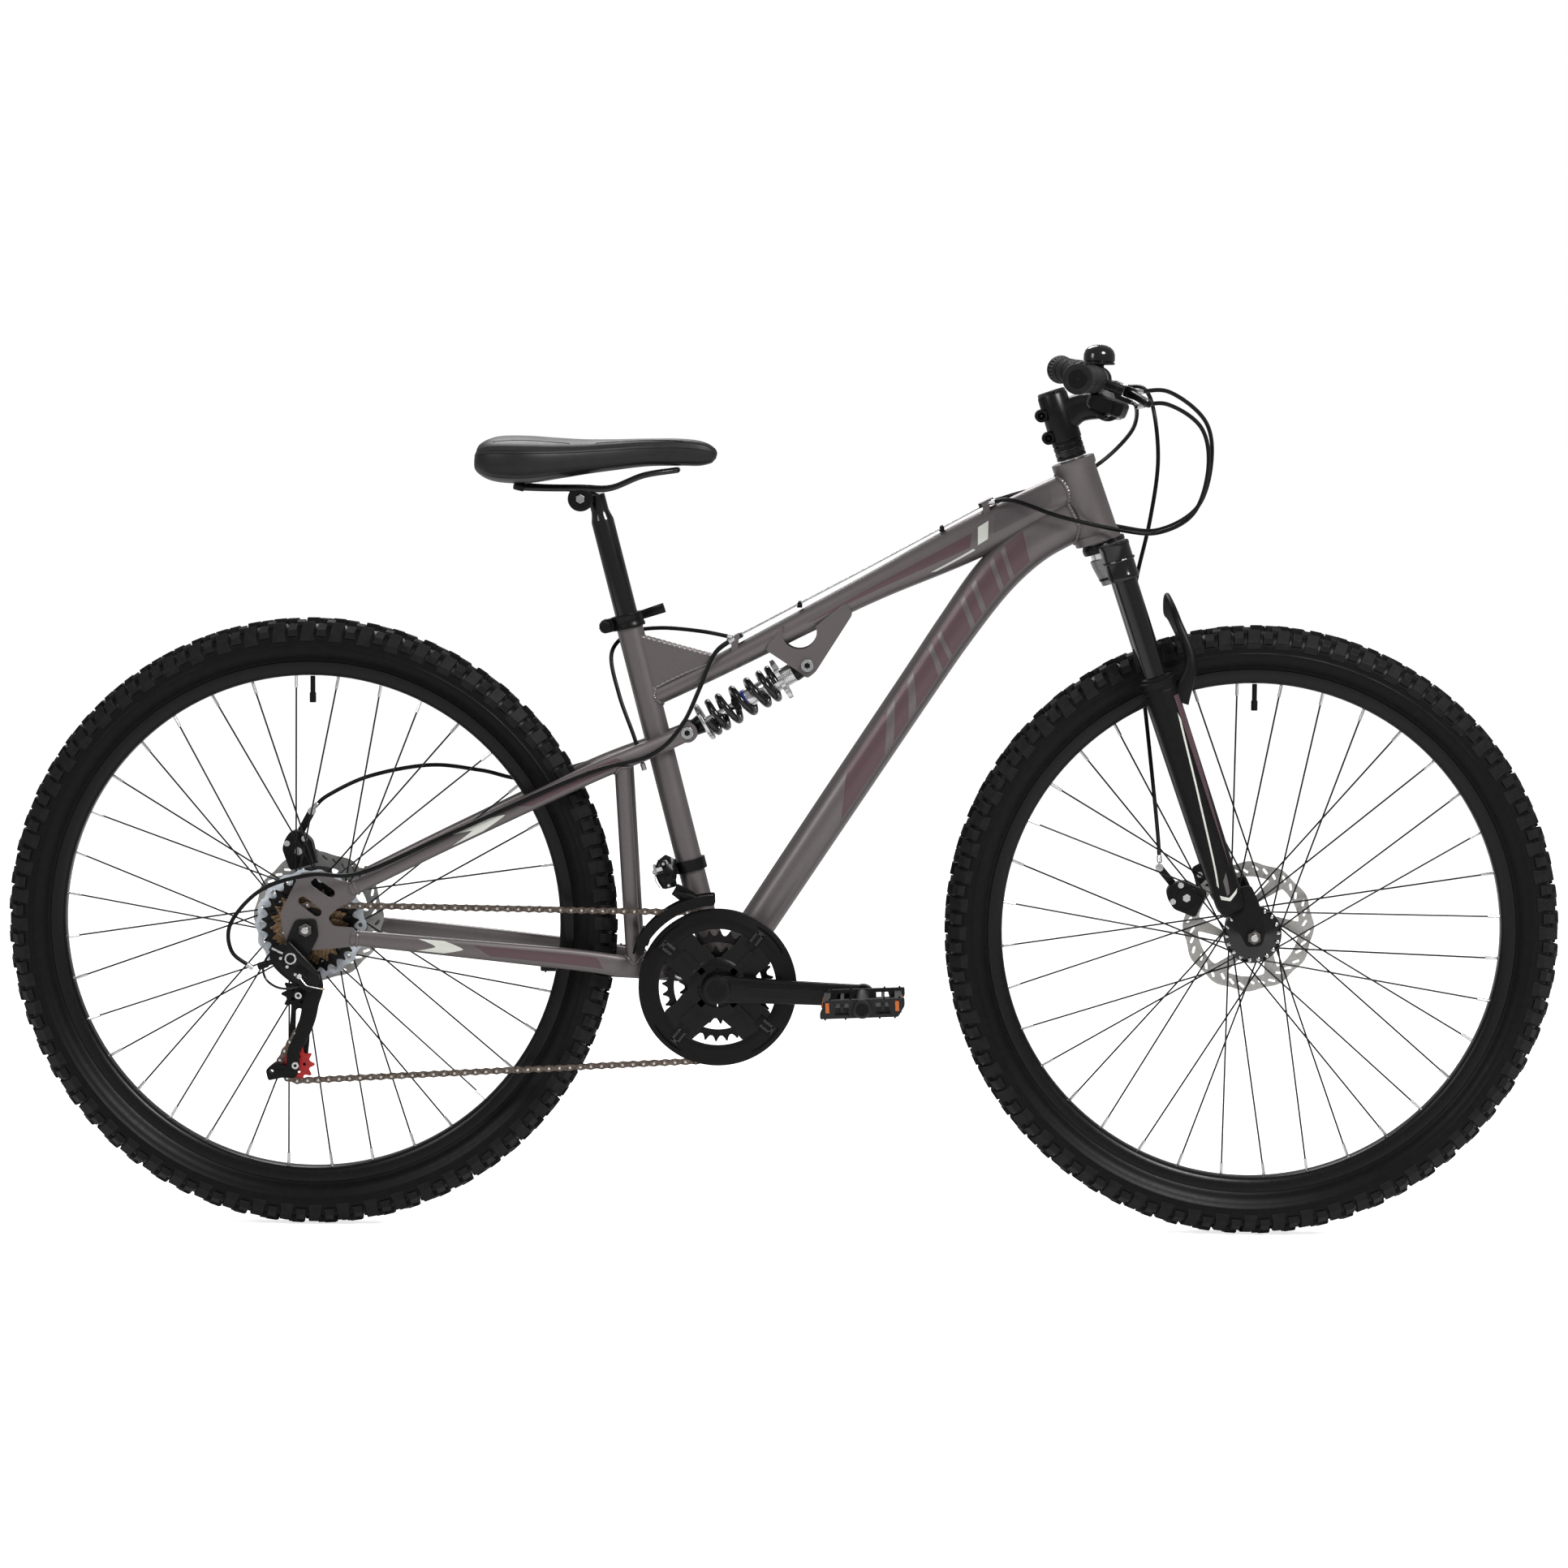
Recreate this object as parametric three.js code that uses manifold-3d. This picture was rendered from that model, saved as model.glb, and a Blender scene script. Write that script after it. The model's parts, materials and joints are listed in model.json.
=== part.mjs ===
// A full-suspension 29 inch mountain bike, as separate solids.
// Millimetres. +X is forward, +Y is the rider's left, +Z is up. The origin is on the
// ground, midway between the axles. The chain is on the right, at negative Y.

import * as THREE from 'three';
import { mergeVertices } from 'three/addons/utils/BufferGeometryUtils.js';
import Module from 'manifold-3d';

const wasm = await Module();
wasm.setup();

const V = (x, y, z) => new THREE.Vector3(x, y, z);
const RIGHT = -1;
const LEFT = 1;
const GAP = 0.4;

// ---------------------------------------------------------------- driving dimensions

const WHEELBASE = 1135;
const TYRE_RADIUS = 370;
const RIM_INNER_RADIUS = 300;
const WHEEL_SIDES = 32;
const REAR_AXLE = V(-WHEELBASE / 2, 0, TYRE_RADIUS);
const FRONT_AXLE = V(WHEELBASE / 2, 0, TYRE_RADIUS);
const AXLE_RADIUS = 4.8;
const BORE_RADIUS = 5.3;

const HEAD_CENTRE = V(361.8, 0, 887.4);
const HEAD_TILT = THREE.MathUtils.degToRad(18.3);
const HEAD_UP = V(-Math.sin(HEAD_TILT), 0, Math.cos(HEAD_TILT));
const HEAD_FORWARD = V(Math.cos(HEAD_TILT), 0, Math.sin(HEAD_TILT));
const HEAD_HALF_LENGTH = 52;
const STEERER_RADIUS = 14.2;

const BOTTOM_BRACKET = V(-74, 0, 303.5);
const SEAT_TILT = THREE.MathUtils.degToRad(14.5);
const SEAT_UP = V(-Math.sin(SEAT_TILT), 0, Math.cos(SEAT_TILT));
const SEAT_TUBE_LENGTH = 455;
const SEAT_TUBE_RADIUS = 15.9;
const SEATPOST_RADIUS = 13.6;

const PIVOT = V(-118, 0, 322);
const SHOCK_LOWER = V(-113.5, 0, 606);
const SHOCK_UPPER = V(30, 0, 688);

const LEG_Y = 62;
const LEG_TOP = V(397.2, 0, 827);
const LEG_OFFSET_LOW = 3;
const STANCHION_RADIUS = 14.2;

const CRANK_LENGTH = 175;
const CRANK_DROP = THREE.MathUtils.degToRad(1.8);
const PEDAL_TILT = THREE.MathUtils.degToRad(2.5);
const CHAIN_PITCH = 12.7;
const CHAINRING_TEETH = 44;
const COG_TEETH = [28, 24, 22, 20, 18, 16, 14];
const COG_SPACING = 5;
const PULLEY_TEETH = 10;
const CHAINRING_Y = -57.5;
const SMALL_COG_Y = -63;
const GUIDE_PULLEY = V(-577, SMALL_COG_Y, 290);
const TENSION_PULLEY = V(-581, SMALL_COG_Y, 205);
const CHAIN_HALF_HEIGHT = 4;
const CHAIN_HALF_WIDTH = 3.4;

const ROTOR_RADIUS = 80;
const FRONT_ROTOR_Y = 39;
const REAR_ROTOR_Y = 52;

const pitchRadius = (teeth) => CHAIN_PITCH / 2 / Math.sin(Math.PI / teeth);

// ---------------------------------------------------------------- materials

const finish = (color, roughness, metalness) =>
  new THREE.MeshStandardMaterial({ color, roughness, metalness });

const framePaint = finish(0x6a6263, 0.42, 0.55);
const blackPaint = finish(0x121212, 0.3, 0.3);
const blackPlastic = finish(0x1b1b1b, 0.55, 0);
const blackRubber = finish(0x161616, 0.85, 0);
const silverSteel = finish(0xb4b2ad, 0.3, 0.95);
const bronzeSteel = finish(0x6f6254, 0.42, 0.9);
const blackSteel = finish(0x1d1c1b, 0.45, 0.8);
const redPlastic = finish(0xa81c22, 0.45, 0);
const clearPlastic = finish(0xdfe4e8, 0.2, 0);
const saddleSkin = finish(0x202022, 0.6, 0);

// ---------------------------------------------------------------- solid helpers

// A closed geometry as a solid, turned right side out.
function solid(geometry) {
  const bare = geometry.clone();
  bare.deleteAttribute('normal');
  bare.deleteAttribute('uv');
  const merged = mergeVertices(bare, 1e-4);
  const position = merged.attributes.position;
  const index = merged.index.array;
  const triangles = [];
  let volume = 0;
  for (let i = 0; i < index.length; i += 3) {
    const [a, b, c] = [index[i], index[i + 1], index[i + 2]];
    if (a === b || b === c || c === a) continue;
    const [p, q, r] = [a, b, c].map((k) => V().fromBufferAttribute(position, k));
    volume += p.dot(q.cross(r));
    triangles.push(a, b, c);
  }
  if (volume < 0) triangles.reverse();
  const vertProperties = Float32Array.from(position.array);
  const triVerts = Uint32Array.from(triangles);
  return new wasm.Manifold(new wasm.Mesh({ numProp: 3, vertProperties, triVerts }));
}

const join = (...parts) => parts.reduce((all, part) => all.add(part));
const cut = (body, ...tools) => tools.reduce((rest, tool) => rest.subtract(tool), body);

function geometryOf(body) {
  const { vertProperties, triVerts } = body.getMesh();
  const geometry = new THREE.BufferGeometry();
  geometry.setAttribute('position', new THREE.BufferAttribute(vertProperties, 3));
  geometry.setIndex(new THREE.BufferAttribute(triVerts, 1));
  return geometry;
}

// The left-hand copy of a right-hand geometry, or the other way round.
function mirrored(geometry) {
  const copy = geometry.clone().scale(1, -1, 1);
  copy.index.array.reverse();
  return copy;
}

// A round bar or cone between two points.
function rod(from, to, radius, sides = 10, endRadius = radius) {
  const direction = to.clone().sub(from);
  const length = direction.length();
  const shape = new THREE.CylinderGeometry(endRadius, radius, length, sides);
  const turn = new THREE.Quaternion().setFromUnitVectors(V(0, 1, 0), direction.normalize());
  const middle = from.clone().add(to).multiplyScalar(0.5);
  return solid(shape.applyQuaternion(turn).translate(middle.x, middle.y, middle.z));
}

// A round bar along Y, centred on the point given in the XZ plane.
const cross = (at, y0, y1, radius, sides = 10) =>
  rod(V(at.x, y0, at.z), V(at.x, y1, at.z), radius, sides);

// A flat plate in the XZ plane between two values of Y. Points are [x, z].
function plate(points, y0, y1, holes = []) {
  const outline = points.map(([x, z]) => new THREE.Vector2(x, z));
  if (THREE.ShapeUtils.isClockWise(outline)) outline.reverse();
  const shape = new THREE.Shape(outline);
  for (const hole of holes) {
    shape.holes.push(new THREE.Path(hole.map(([x, z]) => new THREE.Vector2(x, z))));
  }
  const flat = new THREE.ExtrudeGeometry(shape, { depth: y1 - y0, bevelEnabled: false });
  return solid(flat.rotateX(Math.PI / 2).translate(0, y1, 0));
}

// The corners of a regular polygon, or of part of a circle, as [x, z].
function arc(x, z, radius, start, end, steps) {
  const points = [];
  for (let i = 0; i <= steps; i += 1) {
    const angle = start + ((end - start) * i) / steps;
    points.push([x + radius * Math.cos(angle), z + radius * Math.sin(angle)]);
  }
  return points;
}

const circle = (x, z, radius, sides) => arc(x, z, radius, 0, 2 * Math.PI, sides).slice(0, sides);

// A ring about Y, from a closed outline of [radius, y] points.
function ring(outline, sides, centre = V(0, 0, 0)) {
  const points = [...outline, outline[0]].map(([r, y]) => new THREE.Vector2(r, y));
  return solid(new THREE.LatheGeometry(points, sides).translate(centre.x, centre.y, centre.z));
}

const hoop = (inner, outer, y0, y1, sides, centre) =>
  ring([[inner, y0], [outer, y0], [outer, y1], [inner, y1]], sides, centre);

// A closed skin over rings of points. A looped skin joins its last ring to its first.
function skin(rings, looped = false) {
  const sides = rings[0].length;
  const positions = rings.flat().flatMap((p) => [p.x, p.y, p.z]);
  const index = [];
  const spans = looped ? rings.length : rings.length - 1;
  for (let i = 0; i < spans; i += 1) {
    const next = (i + 1) % rings.length;
    for (let k = 0; k < sides; k += 1) {
      const k2 = (k + 1) % sides;
      const [a, b, c, d] = [i * sides + k, i * sides + k2, next * sides + k2, next * sides + k];
      index.push(a, b, c, a, c, d);
    }
  }
  const last = (rings.length - 1) * sides;
  for (let k = 1; !looped && k < sides - 1; k += 1) {
    index.push(0, k + 1, k, last, last + k, last + k + 1);
  }
  const geometry = new THREE.BufferGeometry();
  geometry.setAttribute('position', new THREE.Float32BufferAttribute(positions, 3));
  geometry.setIndex(index);
  return solid(geometry);
}

// An oval tube through stations {at, tall, wide}; its wide side lies along the across vector.
function ovalTube(stations, sides = 8, across = V(0, 1, 0)) {
  const curve = new THREE.CatmullRomCurve3(stations.map((s) => s.at), false, 'centripetal');
  const rings = stations.map(({ tall, wide }, i) => {
    const t = i / (stations.length - 1);
    const tangent = curve.getTangent(t);
    const up = tangent.clone().cross(across).normalize();
    const side = up.clone().cross(tangent).normalize();
    const centre = curve.getPoint(t);
    const outline = [];
    for (let k = 0; k < sides; k += 1) {
      const angle = (2 * Math.PI * (k + 0.5)) / sides;
      const offset = up.clone().multiplyScalar((tall / 2) * Math.cos(angle));
      offset.addScaledVector(side, (wide / 2) * Math.sin(angle));
      outline.push(centre.clone().add(offset));
    }
    return outline;
  });
  return skin(rings);
}

// A round tube along a smooth curve through points.
function tube(points, radius, steps, sides = 8) {
  const outline = new THREE.Shape(
    circle(0, 0, radius, sides).map(([x, y]) => new THREE.Vector2(x, y)),
  );
  const extrudePath = new THREE.CatmullRomCurve3(points, false, 'centripetal');
  return solid(new THREE.ExtrudeGeometry(outline, { steps, extrudePath, bevelEnabled: false }));
}

// A box whose long side runs between two points, turned so that its width is along Y.
function bar(from, to, tall, wide) {
  const length = from.distanceTo(to);
  const shape = new THREE.BoxGeometry(length, wide, tall);
  const angle = Math.atan2(to.z - from.z, to.x - from.x);
  const middle = from.clone().add(to).multiplyScalar(0.5);
  return solid(shape.rotateY(-angle).translate(middle.x, middle.y, middle.z));
}

const block = (low, high) => {
  const size = high.clone().sub(low);
  const middle = low.clone().add(high).multiplyScalar(0.5);
  const shape = new THREE.BoxGeometry(size.x, size.y, size.z);
  return solid(shape.translate(middle.x, middle.y, middle.z));
};

const steerPoint = (up, forward = 0, y = 0) =>
  HEAD_CENTRE.clone().addScaledVector(HEAD_UP, up).addScaledVector(HEAD_FORWARD, forward).setY(y);
const seatPoint = (up, forward = 0, y = 0) =>
  BOTTOM_BRACKET.clone()
    .addScaledVector(SEAT_UP, up)
    .addScaledVector(V(Math.cos(SEAT_TILT), 0, Math.sin(SEAT_TILT)), forward)
    .setY(y);
const legPoint = (down, y, forward = 0) =>
  LEG_TOP.clone().addScaledVector(HEAD_UP, -down).addScaledVector(HEAD_FORWARD, forward).setY(y);

// ---------------------------------------------------------------- frame

function mainFrame() {
  const headTube = cut(
    rod(steerPoint(-HEAD_HALF_LENGTH), steerPoint(HEAD_HALF_LENGTH), 28, 14, 24.5),
    rod(steerPoint(-60), steerPoint(60), 17, 10),
  );
  const topTube = ovalTube([
    { at: V(-152, 0, 649), tall: 24, wide: 26 },
    { at: V(-76, 0, 686), tall: 26, wide: 28 },
    { at: V(48, 0, 751), tall: 31, wide: 30 },
    { at: V(118, 0, 787), tall: 36, wide: 32 },
    { at: V(229, 0, 842), tall: 50, wide: 36 },
    { at: V(345, 0, 902), tall: 44, wide: 38 },
  ]);
  const downTube = ovalTube([
    { at: BOTTOM_BRACKET, tall: 44, wide: 44 },
    { at: V(59.5, 0, 507.7), tall: 46, wide: 44 },
    { at: V(162.5, 0, 664.5), tall: 47, wide: 44 },
    { at: V(208, 0, 733), tall: 49, wide: 44 },
    { at: V(254, 0, 796), tall: 53, wide: 44 },
    { at: V(299, 0, 838), tall: 54, wide: 44 },
    { at: V(352, 0, 866), tall: 52, wide: 44 },
  ], 10);
  const seatTube = rod(BOTTOM_BRACKET, seatPoint(SEAT_TUBE_LENGTH), SEAT_TUBE_RADIUS, 12);
  const shell = cross(BOTTOM_BRACKET, -34, 34, 21, 14);
  const gusset = plate([[-176, 722], [-82, 698], [-108, 684], [-160, 656]], -11, 11);
  const barrel = cross(PIVOT, -26, 26, 15, 12);
  const barrelWeb = plate([[-122, 335], [-86, 338], [-64, 300], [-95, 286], [-122, 309]], -19, 19);
  const notch = arc(20, 728, 21, 0.3, -2.9, 4);
  const bracketOutline = [[-16, 716], [-20, 706], [20, 680], [30, 672], [40, 680], [84, 750], [76, 764]];
  const brackets = [RIGHT, LEFT].map((side) => {
    const faces = side < 0 ? [-16.4, -12.2] : [12.2, 16.4];
    return cut(plate(bracketOutline, ...faces), plate(notch, faces[0] - 1, faces[1] + 1));
  });
  const shockBolt = cross(SHOCK_UPPER, -23, 23, AXLE_RADIUS, 8);
  const solids = join(
    seatTube, downTube, topTube, shell, gusset, barrel, barrelWeb, ...brackets, shockBolt,
  );
  return join(
    cut(
      solids,
      rod(steerPoint(-60), steerPoint(60), 17, 10),
      rod(seatPoint(166), seatPoint(SEAT_TUBE_LENGTH + 5), SEATPOST_RADIUS + 1.5 * GAP, 12),
      cross(BOTTOM_BRACKET, -40, 40, 8.6, 8),
      cross(PIVOT, -30, 30, 6.8, 8),
    ),
    headTube,
  );
}

function seatCollar() {
  const at = SEAT_TUBE_LENGTH;
  const outer = rod(seatPoint(at - 14), seatPoint(at + 3), 19.8, 12);
  const ears = bar(seatPoint(at - 5.5, -35), seatPoint(at - 5.5, -14), 13, 14);
  return cut(
    join(outer, ears),
    rod(seatPoint(at - 20), seatPoint(at + 8), SEAT_TUBE_RADIUS + 2 * GAP, 12),
    bar(seatPoint(at - 5.5, -38), seatPoint(at - 5.5, -12), 40, 3),
    rod(seatPoint(at - 5.5, -28, -20), seatPoint(at - 5.5, -28, 20), 3.4, 10),
  );
}

// The quick-release skewer, its nut on the right and its folded lever on the left.
function seatLever() {
  const height = SEAT_TUBE_LENGTH - 5.5;
  const skewer = rod(seatPoint(height, -28, -15), seatPoint(height, -28, 19), 2.6, 8);
  const nut = rod(seatPoint(height, -28, -15), seatPoint(height, -28, -7.6), 7, 8);
  const cam = rod(seatPoint(height, -28, 7.6), seatPoint(height, -28, 21), 8, 10);
  const handle = tube([
    seatPoint(height, -26, 17), seatPoint(height + 1, -6, 24), seatPoint(height + 2, 20, 24),
    seatPoint(height + 4, 44, 19),
  ], 4.2, 6, 6);
  return join(skewer, nut, cam, handle);
}

function pivotBolt() {
  const shank = cross(PIVOT, -40, 40, 6, 8);
  const head = cross(PIVOT, -40.6, -37.4, 8, 6);
  const nut = cross(PIVOT, 37.4, 40.6, 8, 6);
  return join(shank, head, nut);
}

// ---------------------------------------------------------------- swingarm

function dropout(side) {
  const [x, z] = [REAR_AXLE.x, REAR_AXLE.z];
  const outline = [
    [x - 34, z + 10], [x - 25, z + 38], [x - 10, z + 60], [x + 8, z + 69], [x + 28, z + 64],
    [x + 66, z + 53], [x + 58, z + 36], [x + 38, z + 26], [x + 26, z + 14], [x + 32, z + 4],
    [x + 58, z + 2], [x + 60, z - 20], [x + 22, z - 24], [x - 8, z - 26], [x - 26, z - 10],
  ];
  const upperSlot = [[x + 11, z + 44], [x + 14, z + 51], [x + 31, z + 41], [x + 27, z + 35]];
  const lowerSlot = [[x - 8, z + 26], [x - 4, z + 33], [x + 13, z + 20], [x + 9, z + 14]];
  const faces = side < 0 ? [-73.5, -67.5] : [67.5, 73.5];
  return cut(
    plate(outline, ...faces, [upperSlot, lowerSlot]),
    cross(REAR_AXLE, -80, 80, BORE_RADIUS + 0.3, 8),
  );
}

function swingarmSide(side) {
  const seatstay = ovalTube([
    { at: V(-514, 70.2 * side, 418), tall: 17, wide: 12 },
    { at: V(-390, 61 * side, 480), tall: 19, wide: 15 },
    { at: V(-235, 46 * side, 554.4), tall: 22, wide: 16 },
    { at: V(-158, 29.5 * side, 586.5), tall: 22, wide: 15 },
    { at: V(-113.5, 20.2 * side, 606), tall: 20, wide: 10 },
  ]);
  const chainstay = ovalTube([
    { at: V(-514, 70.2 * side, 360), tall: 18, wide: 12 },
    { at: V(-390, 61 * side, 348), tall: 22, wide: 15 },
    { at: V(-250, 45.5 * side, 333), tall: 26, wide: 14 },
    { at: V(-180, 38 * side, 323), tall: 25, wide: 12.5 },
    { at: V(-150, 35 * side, 320), tall: 23, wide: 10 },
    { at: V(-118, 31 * side, 322), tall: 22, wide: 7.5 },
  ]);
  const strut = rod(V(-191, 37.5 * side, 566), V(-176, 34.5 * side, 328), 9.5, 8);
  const pivotLug = cross(PIVOT, 26.6 * side, 34.5 * side, 15);
  const shockLug = cross(SHOCK_LOWER, 15 * side, 25 * side, 12);
  return join(seatstay, chainstay, strut, pivotLug, shockLug, dropout(side));
}

function swingarm() {
  const bridge = rod(V(-226, -50, 557), V(-226, 50, 557), 8, 6);
  const lowerBridge = rod(V(-176, -44, 324), V(-176, 44, 324), 8, 6);
  const shockBolt = cross(SHOCK_LOWER, -28, 28, AXLE_RADIUS, 8);
  const caliperTab = plate([[-590, 420], [-560, 432], [-575, 470], [-612, 452]], 60.5, 68.5);
  const all = join(
    swingarmSide(RIGHT), swingarmSide(LEFT), bridge, lowerBridge, shockBolt, caliperTab,
  );
  return cut(all, cross(PIVOT, -45, 45, 6.8, 8));
}

function rearAxle() {
  const nuts = [RIGHT, LEFT].map((side) => cross(REAR_AXLE, 77 * side, 84 * side, 9, 6));
  return join(cross(REAR_AXLE, -88, 88, AXLE_RADIUS, 8), ...nuts);
}

// ---------------------------------------------------------------- wheels, centred on their hub

function tyre() {
  const outer = [[312.5, 12], [318.4, 12], [336, 27], [360, 24], [TYRE_RADIUS, 11]];
  const inner = [[356, 17], [312.5, 8.5]];
  const flip = ([r, y]) => [r, -y];
  return ring(
    [...outer.map(flip), ...[...outer].reverse(), ...[...inner].reverse(), ...inner.map(flip)],
    WHEEL_SIDES,
  );
}

function rim() {
  const half = [[RIM_INNER_RADIUS, 11], [317.5, 15], [317.5, 12.4], [307, 12.4]];
  const flip = ([r, y]) => [r, -y];
  return ring([...half.map(flip), ...[...half].reverse()], WHEEL_SIDES);
}

// One side's eighteen spokes, three-cross. Their heads make a ring at the flange, with a
// narrow facet for each spoke; leading spokes leave its lower row and trailing its upper.
function spokes(side, flangeY, headRadius, phase) {
  const count = 18;
  const crossAngle = THREE.MathUtils.degToRad(60);
  const half = 1.1;
  const rows = [0.5, 2.2, 3.9].map((depth) => -Math.abs(flangeY) - depth);
  const outer = headRadius + 1.5;
  const inner = headRadius - 1.5;
  const positions = [];
  const index = [];
  const corner = (radius, angle, y) => {
    positions.push(radius * Math.cos(angle), y, radius * Math.sin(angle));
    return positions.length / 3 - 1;
  };
  const quad = (p, q, r, t) => index.push(p, q, r, p, r, t);
  const columns = [];
  for (let i = 0; i < 2 * count; i += 1) {
    const middle = phase + (2 * Math.PI * Math.floor(i / 2)) / count;
    const angle = middle + (i % 2 === 0 ? -half : half) / outer;
    const wall = rows.map((y) => corner(outer, angle, y));
    columns.push([...wall, corner(inner, angle, rows[2]), corner(inner, angle, rows[0])]);
  }
  columns.forEach((column, i) => {
    const next = columns[(i + 1) % columns.length];
    const spokeRow = i % 4 === 0 ? 0 : 1;
    column.forEach((vertex, k) => {
      const k2 = (k + 1) % column.length;
      if (i % 2 === 1 || k !== spokeRow) {
        quad(vertex, next[k], next[k2], column[k2]);
        return;
      }
      const leading = spokeRow === 0;
      const rimAngle = phase + (Math.PI * i) / count + (leading ? crossAngle : -crossAngle);
      const turn = half / RIM_INNER_RADIUS;
      const y = leading ? -3 : -4.9;
      const end = RIM_INNER_RADIUS - 4.5;
      const tip = [
        corner(end, rimAngle - turn, y + 0.8), corner(end, rimAngle + turn, y + 0.8),
        corner(end, rimAngle + turn, y - 0.8), corner(end, rimAngle - turn, y - 0.8),
      ];
      const root = [vertex, next[k], next[k2], column[k2]];
      root.forEach((from, n) => {
        const n2 = (n + 1) % 4;
        quad(from, root[n2], tip[n2], tip[n]);
      });
      quad(tip[0], tip[1], tip[2], tip[3]);
    });
  });
  const geometry = new THREE.BufferGeometry();
  geometry.setAttribute('position', new THREE.Float32BufferAttribute(positions, 3));
  geometry.setIndex(index);
  const right = solid(geometry);
  return side < 0 ? right : solid(mirrored(geometryOf(right)));
}

function frontHub() {
  return ring([
    [BORE_RADIUS, -49.5], [11, -49.5], [12, -37], [22, -33.6], [35, -33.6], [35, -31], [14, -27], [14, 18],
    [29, 21], [29, 24], [21, 24], [21, FRONT_ROTOR_Y - 1.4], [16.5, FRONT_ROTOR_Y - 1.4],
    [16.5, 44], [11, 49.5], [BORE_RADIUS, 49.5],
  ], 12);
}

function rearHub() {
  return ring([
    [BORE_RADIUS, -66.5], [10, -66.5], [16.5, -64], [16.5, -23.5], [33, -23.5],
    [33, -20.5], [16, -16], [16, 28], [33, 31], [33, 33.6], [21, 33.6], [21, REAR_ROTOR_Y - 1.4],
    [16.5, REAR_ROTOR_Y - 1.4], [16.5, 57], [10, 66.5], [BORE_RADIUS, 66.5],
  ], 12);
}

function rotor(y) {
  const windows = [];
  for (let i = 0; i < 6; i += 1) {
    const start = (i * Math.PI) / 3;
    const outer = arc(0, 0, 63, start, start + 0.85, 2);
    const inner = arc(0, 0, 26, start + 0.95, start + 0.3, 1);
    windows.push([...outer, ...inner]);
  }
  windows.push(circle(0, 0, 17.6, 12));
  return plate(circle(0, 0, ROTOR_RADIUS, 24), y - 1, y + 1, windows);
}

const spokeProtector = () => hoop(18.5, 68, -29, -28, 18);

// Seven cogs, each a step as wide as the cog spacing; the smallest has the chain on it.
function freewheel() {
  const outline = [[17.1, -29.6]];
  COG_TEETH.forEach((teeth, k) => {
    const isSmallest = k === COG_TEETH.length - 1;
    const radius = pitchRadius(teeth) + (isSmallest ? -CHAIN_HALF_HEIGHT - GAP : 2);
    const face = -33 - COG_SPACING * k;
    outline.push([radius, k === 0 ? -29.6 : face + 3.7], [radius, face - 1.3]);
  });
  outline.push([17.1, -64.3]);
  return ring(outline, 16);
}

// ---------------------------------------------------------------- drivetrain

// The point of contact where a straight run of chain leaves one wheel for the next. Each
// wheel is {at, radius, turn}; turn is 1 when the chain drives its top forward, else -1.
function tangentPoints(a, b) {
  const gap = V(b.at.x - a.at.x, 0, b.at.z - a.at.z);
  const distance = gap.length();
  const heading = Math.atan2(gap.z, gap.x);
  const lean = Math.asin((a.turn * a.radius - b.turn * b.radius) / distance);
  const normal = heading + Math.PI / 2 - lean;
  const touch = (w) => normal + (w.turn < 0 ? Math.PI : 0);
  return [touch(a), touch(b)];
}

function chain() {
  const wheels = [
    { at: V(BOTTOM_BRACKET.x, CHAINRING_Y, BOTTOM_BRACKET.z), radius: pitchRadius(CHAINRING_TEETH), turn: 1, steps: 14 },
    { at: TENSION_PULLEY, radius: pitchRadius(PULLEY_TEETH), turn: 1, steps: 7 },
    { at: GUIDE_PULLEY, radius: pitchRadius(PULLEY_TEETH), turn: -1, steps: 6 },
    { at: V(REAR_AXLE.x, SMALL_COG_Y, REAR_AXLE.z), radius: pitchRadius(14), turn: 1, steps: 8 },
  ];
  const leaving = [];
  const arriving = [];
  wheels.forEach((wheel, i) => {
    const next = (i + 1) % wheels.length;
    const [out, into] = tangentPoints(wheel, wheels[next]);
    leaving[i] = out;
    arriving[next] = into;
  });
  const rings = [];
  wheels.forEach((wheel, i) => {
    const full = 2 * Math.PI;
    let sweep = (arriving[i] - leaving[i]) * wheel.turn;
    sweep = ((sweep % full) + full) % full;
    for (let k = 0; k <= wheel.steps; k += 1) {
      const angle = arriving[i] - (wheel.turn * sweep * k) / wheel.steps;
      const out = V(Math.cos(angle), 0, Math.sin(angle));
      const corner = (height, y) =>
        wheel.at.clone().addScaledVector(out, wheel.radius + wheel.turn * height).add(V(0, y, 0));
      rings.push([
        corner(CHAIN_HALF_HEIGHT, -CHAIN_HALF_WIDTH), corner(CHAIN_HALF_HEIGHT, CHAIN_HALF_WIDTH),
        corner(-CHAIN_HALF_HEIGHT, CHAIN_HALF_WIDTH), corner(-CHAIN_HALF_HEIGHT, -CHAIN_HALF_WIDTH),
      ]);
    }
  });
  return skin(rings, true);
}

// The three chainrings, held apart by five rivets between each pair. Built about the crank axis.
function chainrings() {
  const big = pitchRadius(CHAINRING_TEETH) - CHAIN_HALF_HEIGHT - 3 * GAP;
  const parts = [
    hoop(60, big, CHAINRING_Y - 1, CHAINRING_Y + 1, 24),
    hoop(43, 66, CHAINRING_Y + 6, CHAINRING_Y + 8, 18),
    hoop(27, 46, CHAINRING_Y + 13, CHAINRING_Y + 15, 14),
  ];
  for (let i = 0; i < 4; i += 1) {
    const angle = Math.PI / 4 + (i * Math.PI) / 2;
    const at = (r) => V(r * Math.cos(angle), 0, r * Math.sin(angle));
    parts.push(cross(at(63), CHAINRING_Y, CHAINRING_Y + 7, 3.5, 4));
    parts.push(cross(at(44.5), CHAINRING_Y + 7, CHAINRING_Y + 14, 3.5, 4));
  }
  return join(...parts);
}

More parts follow.
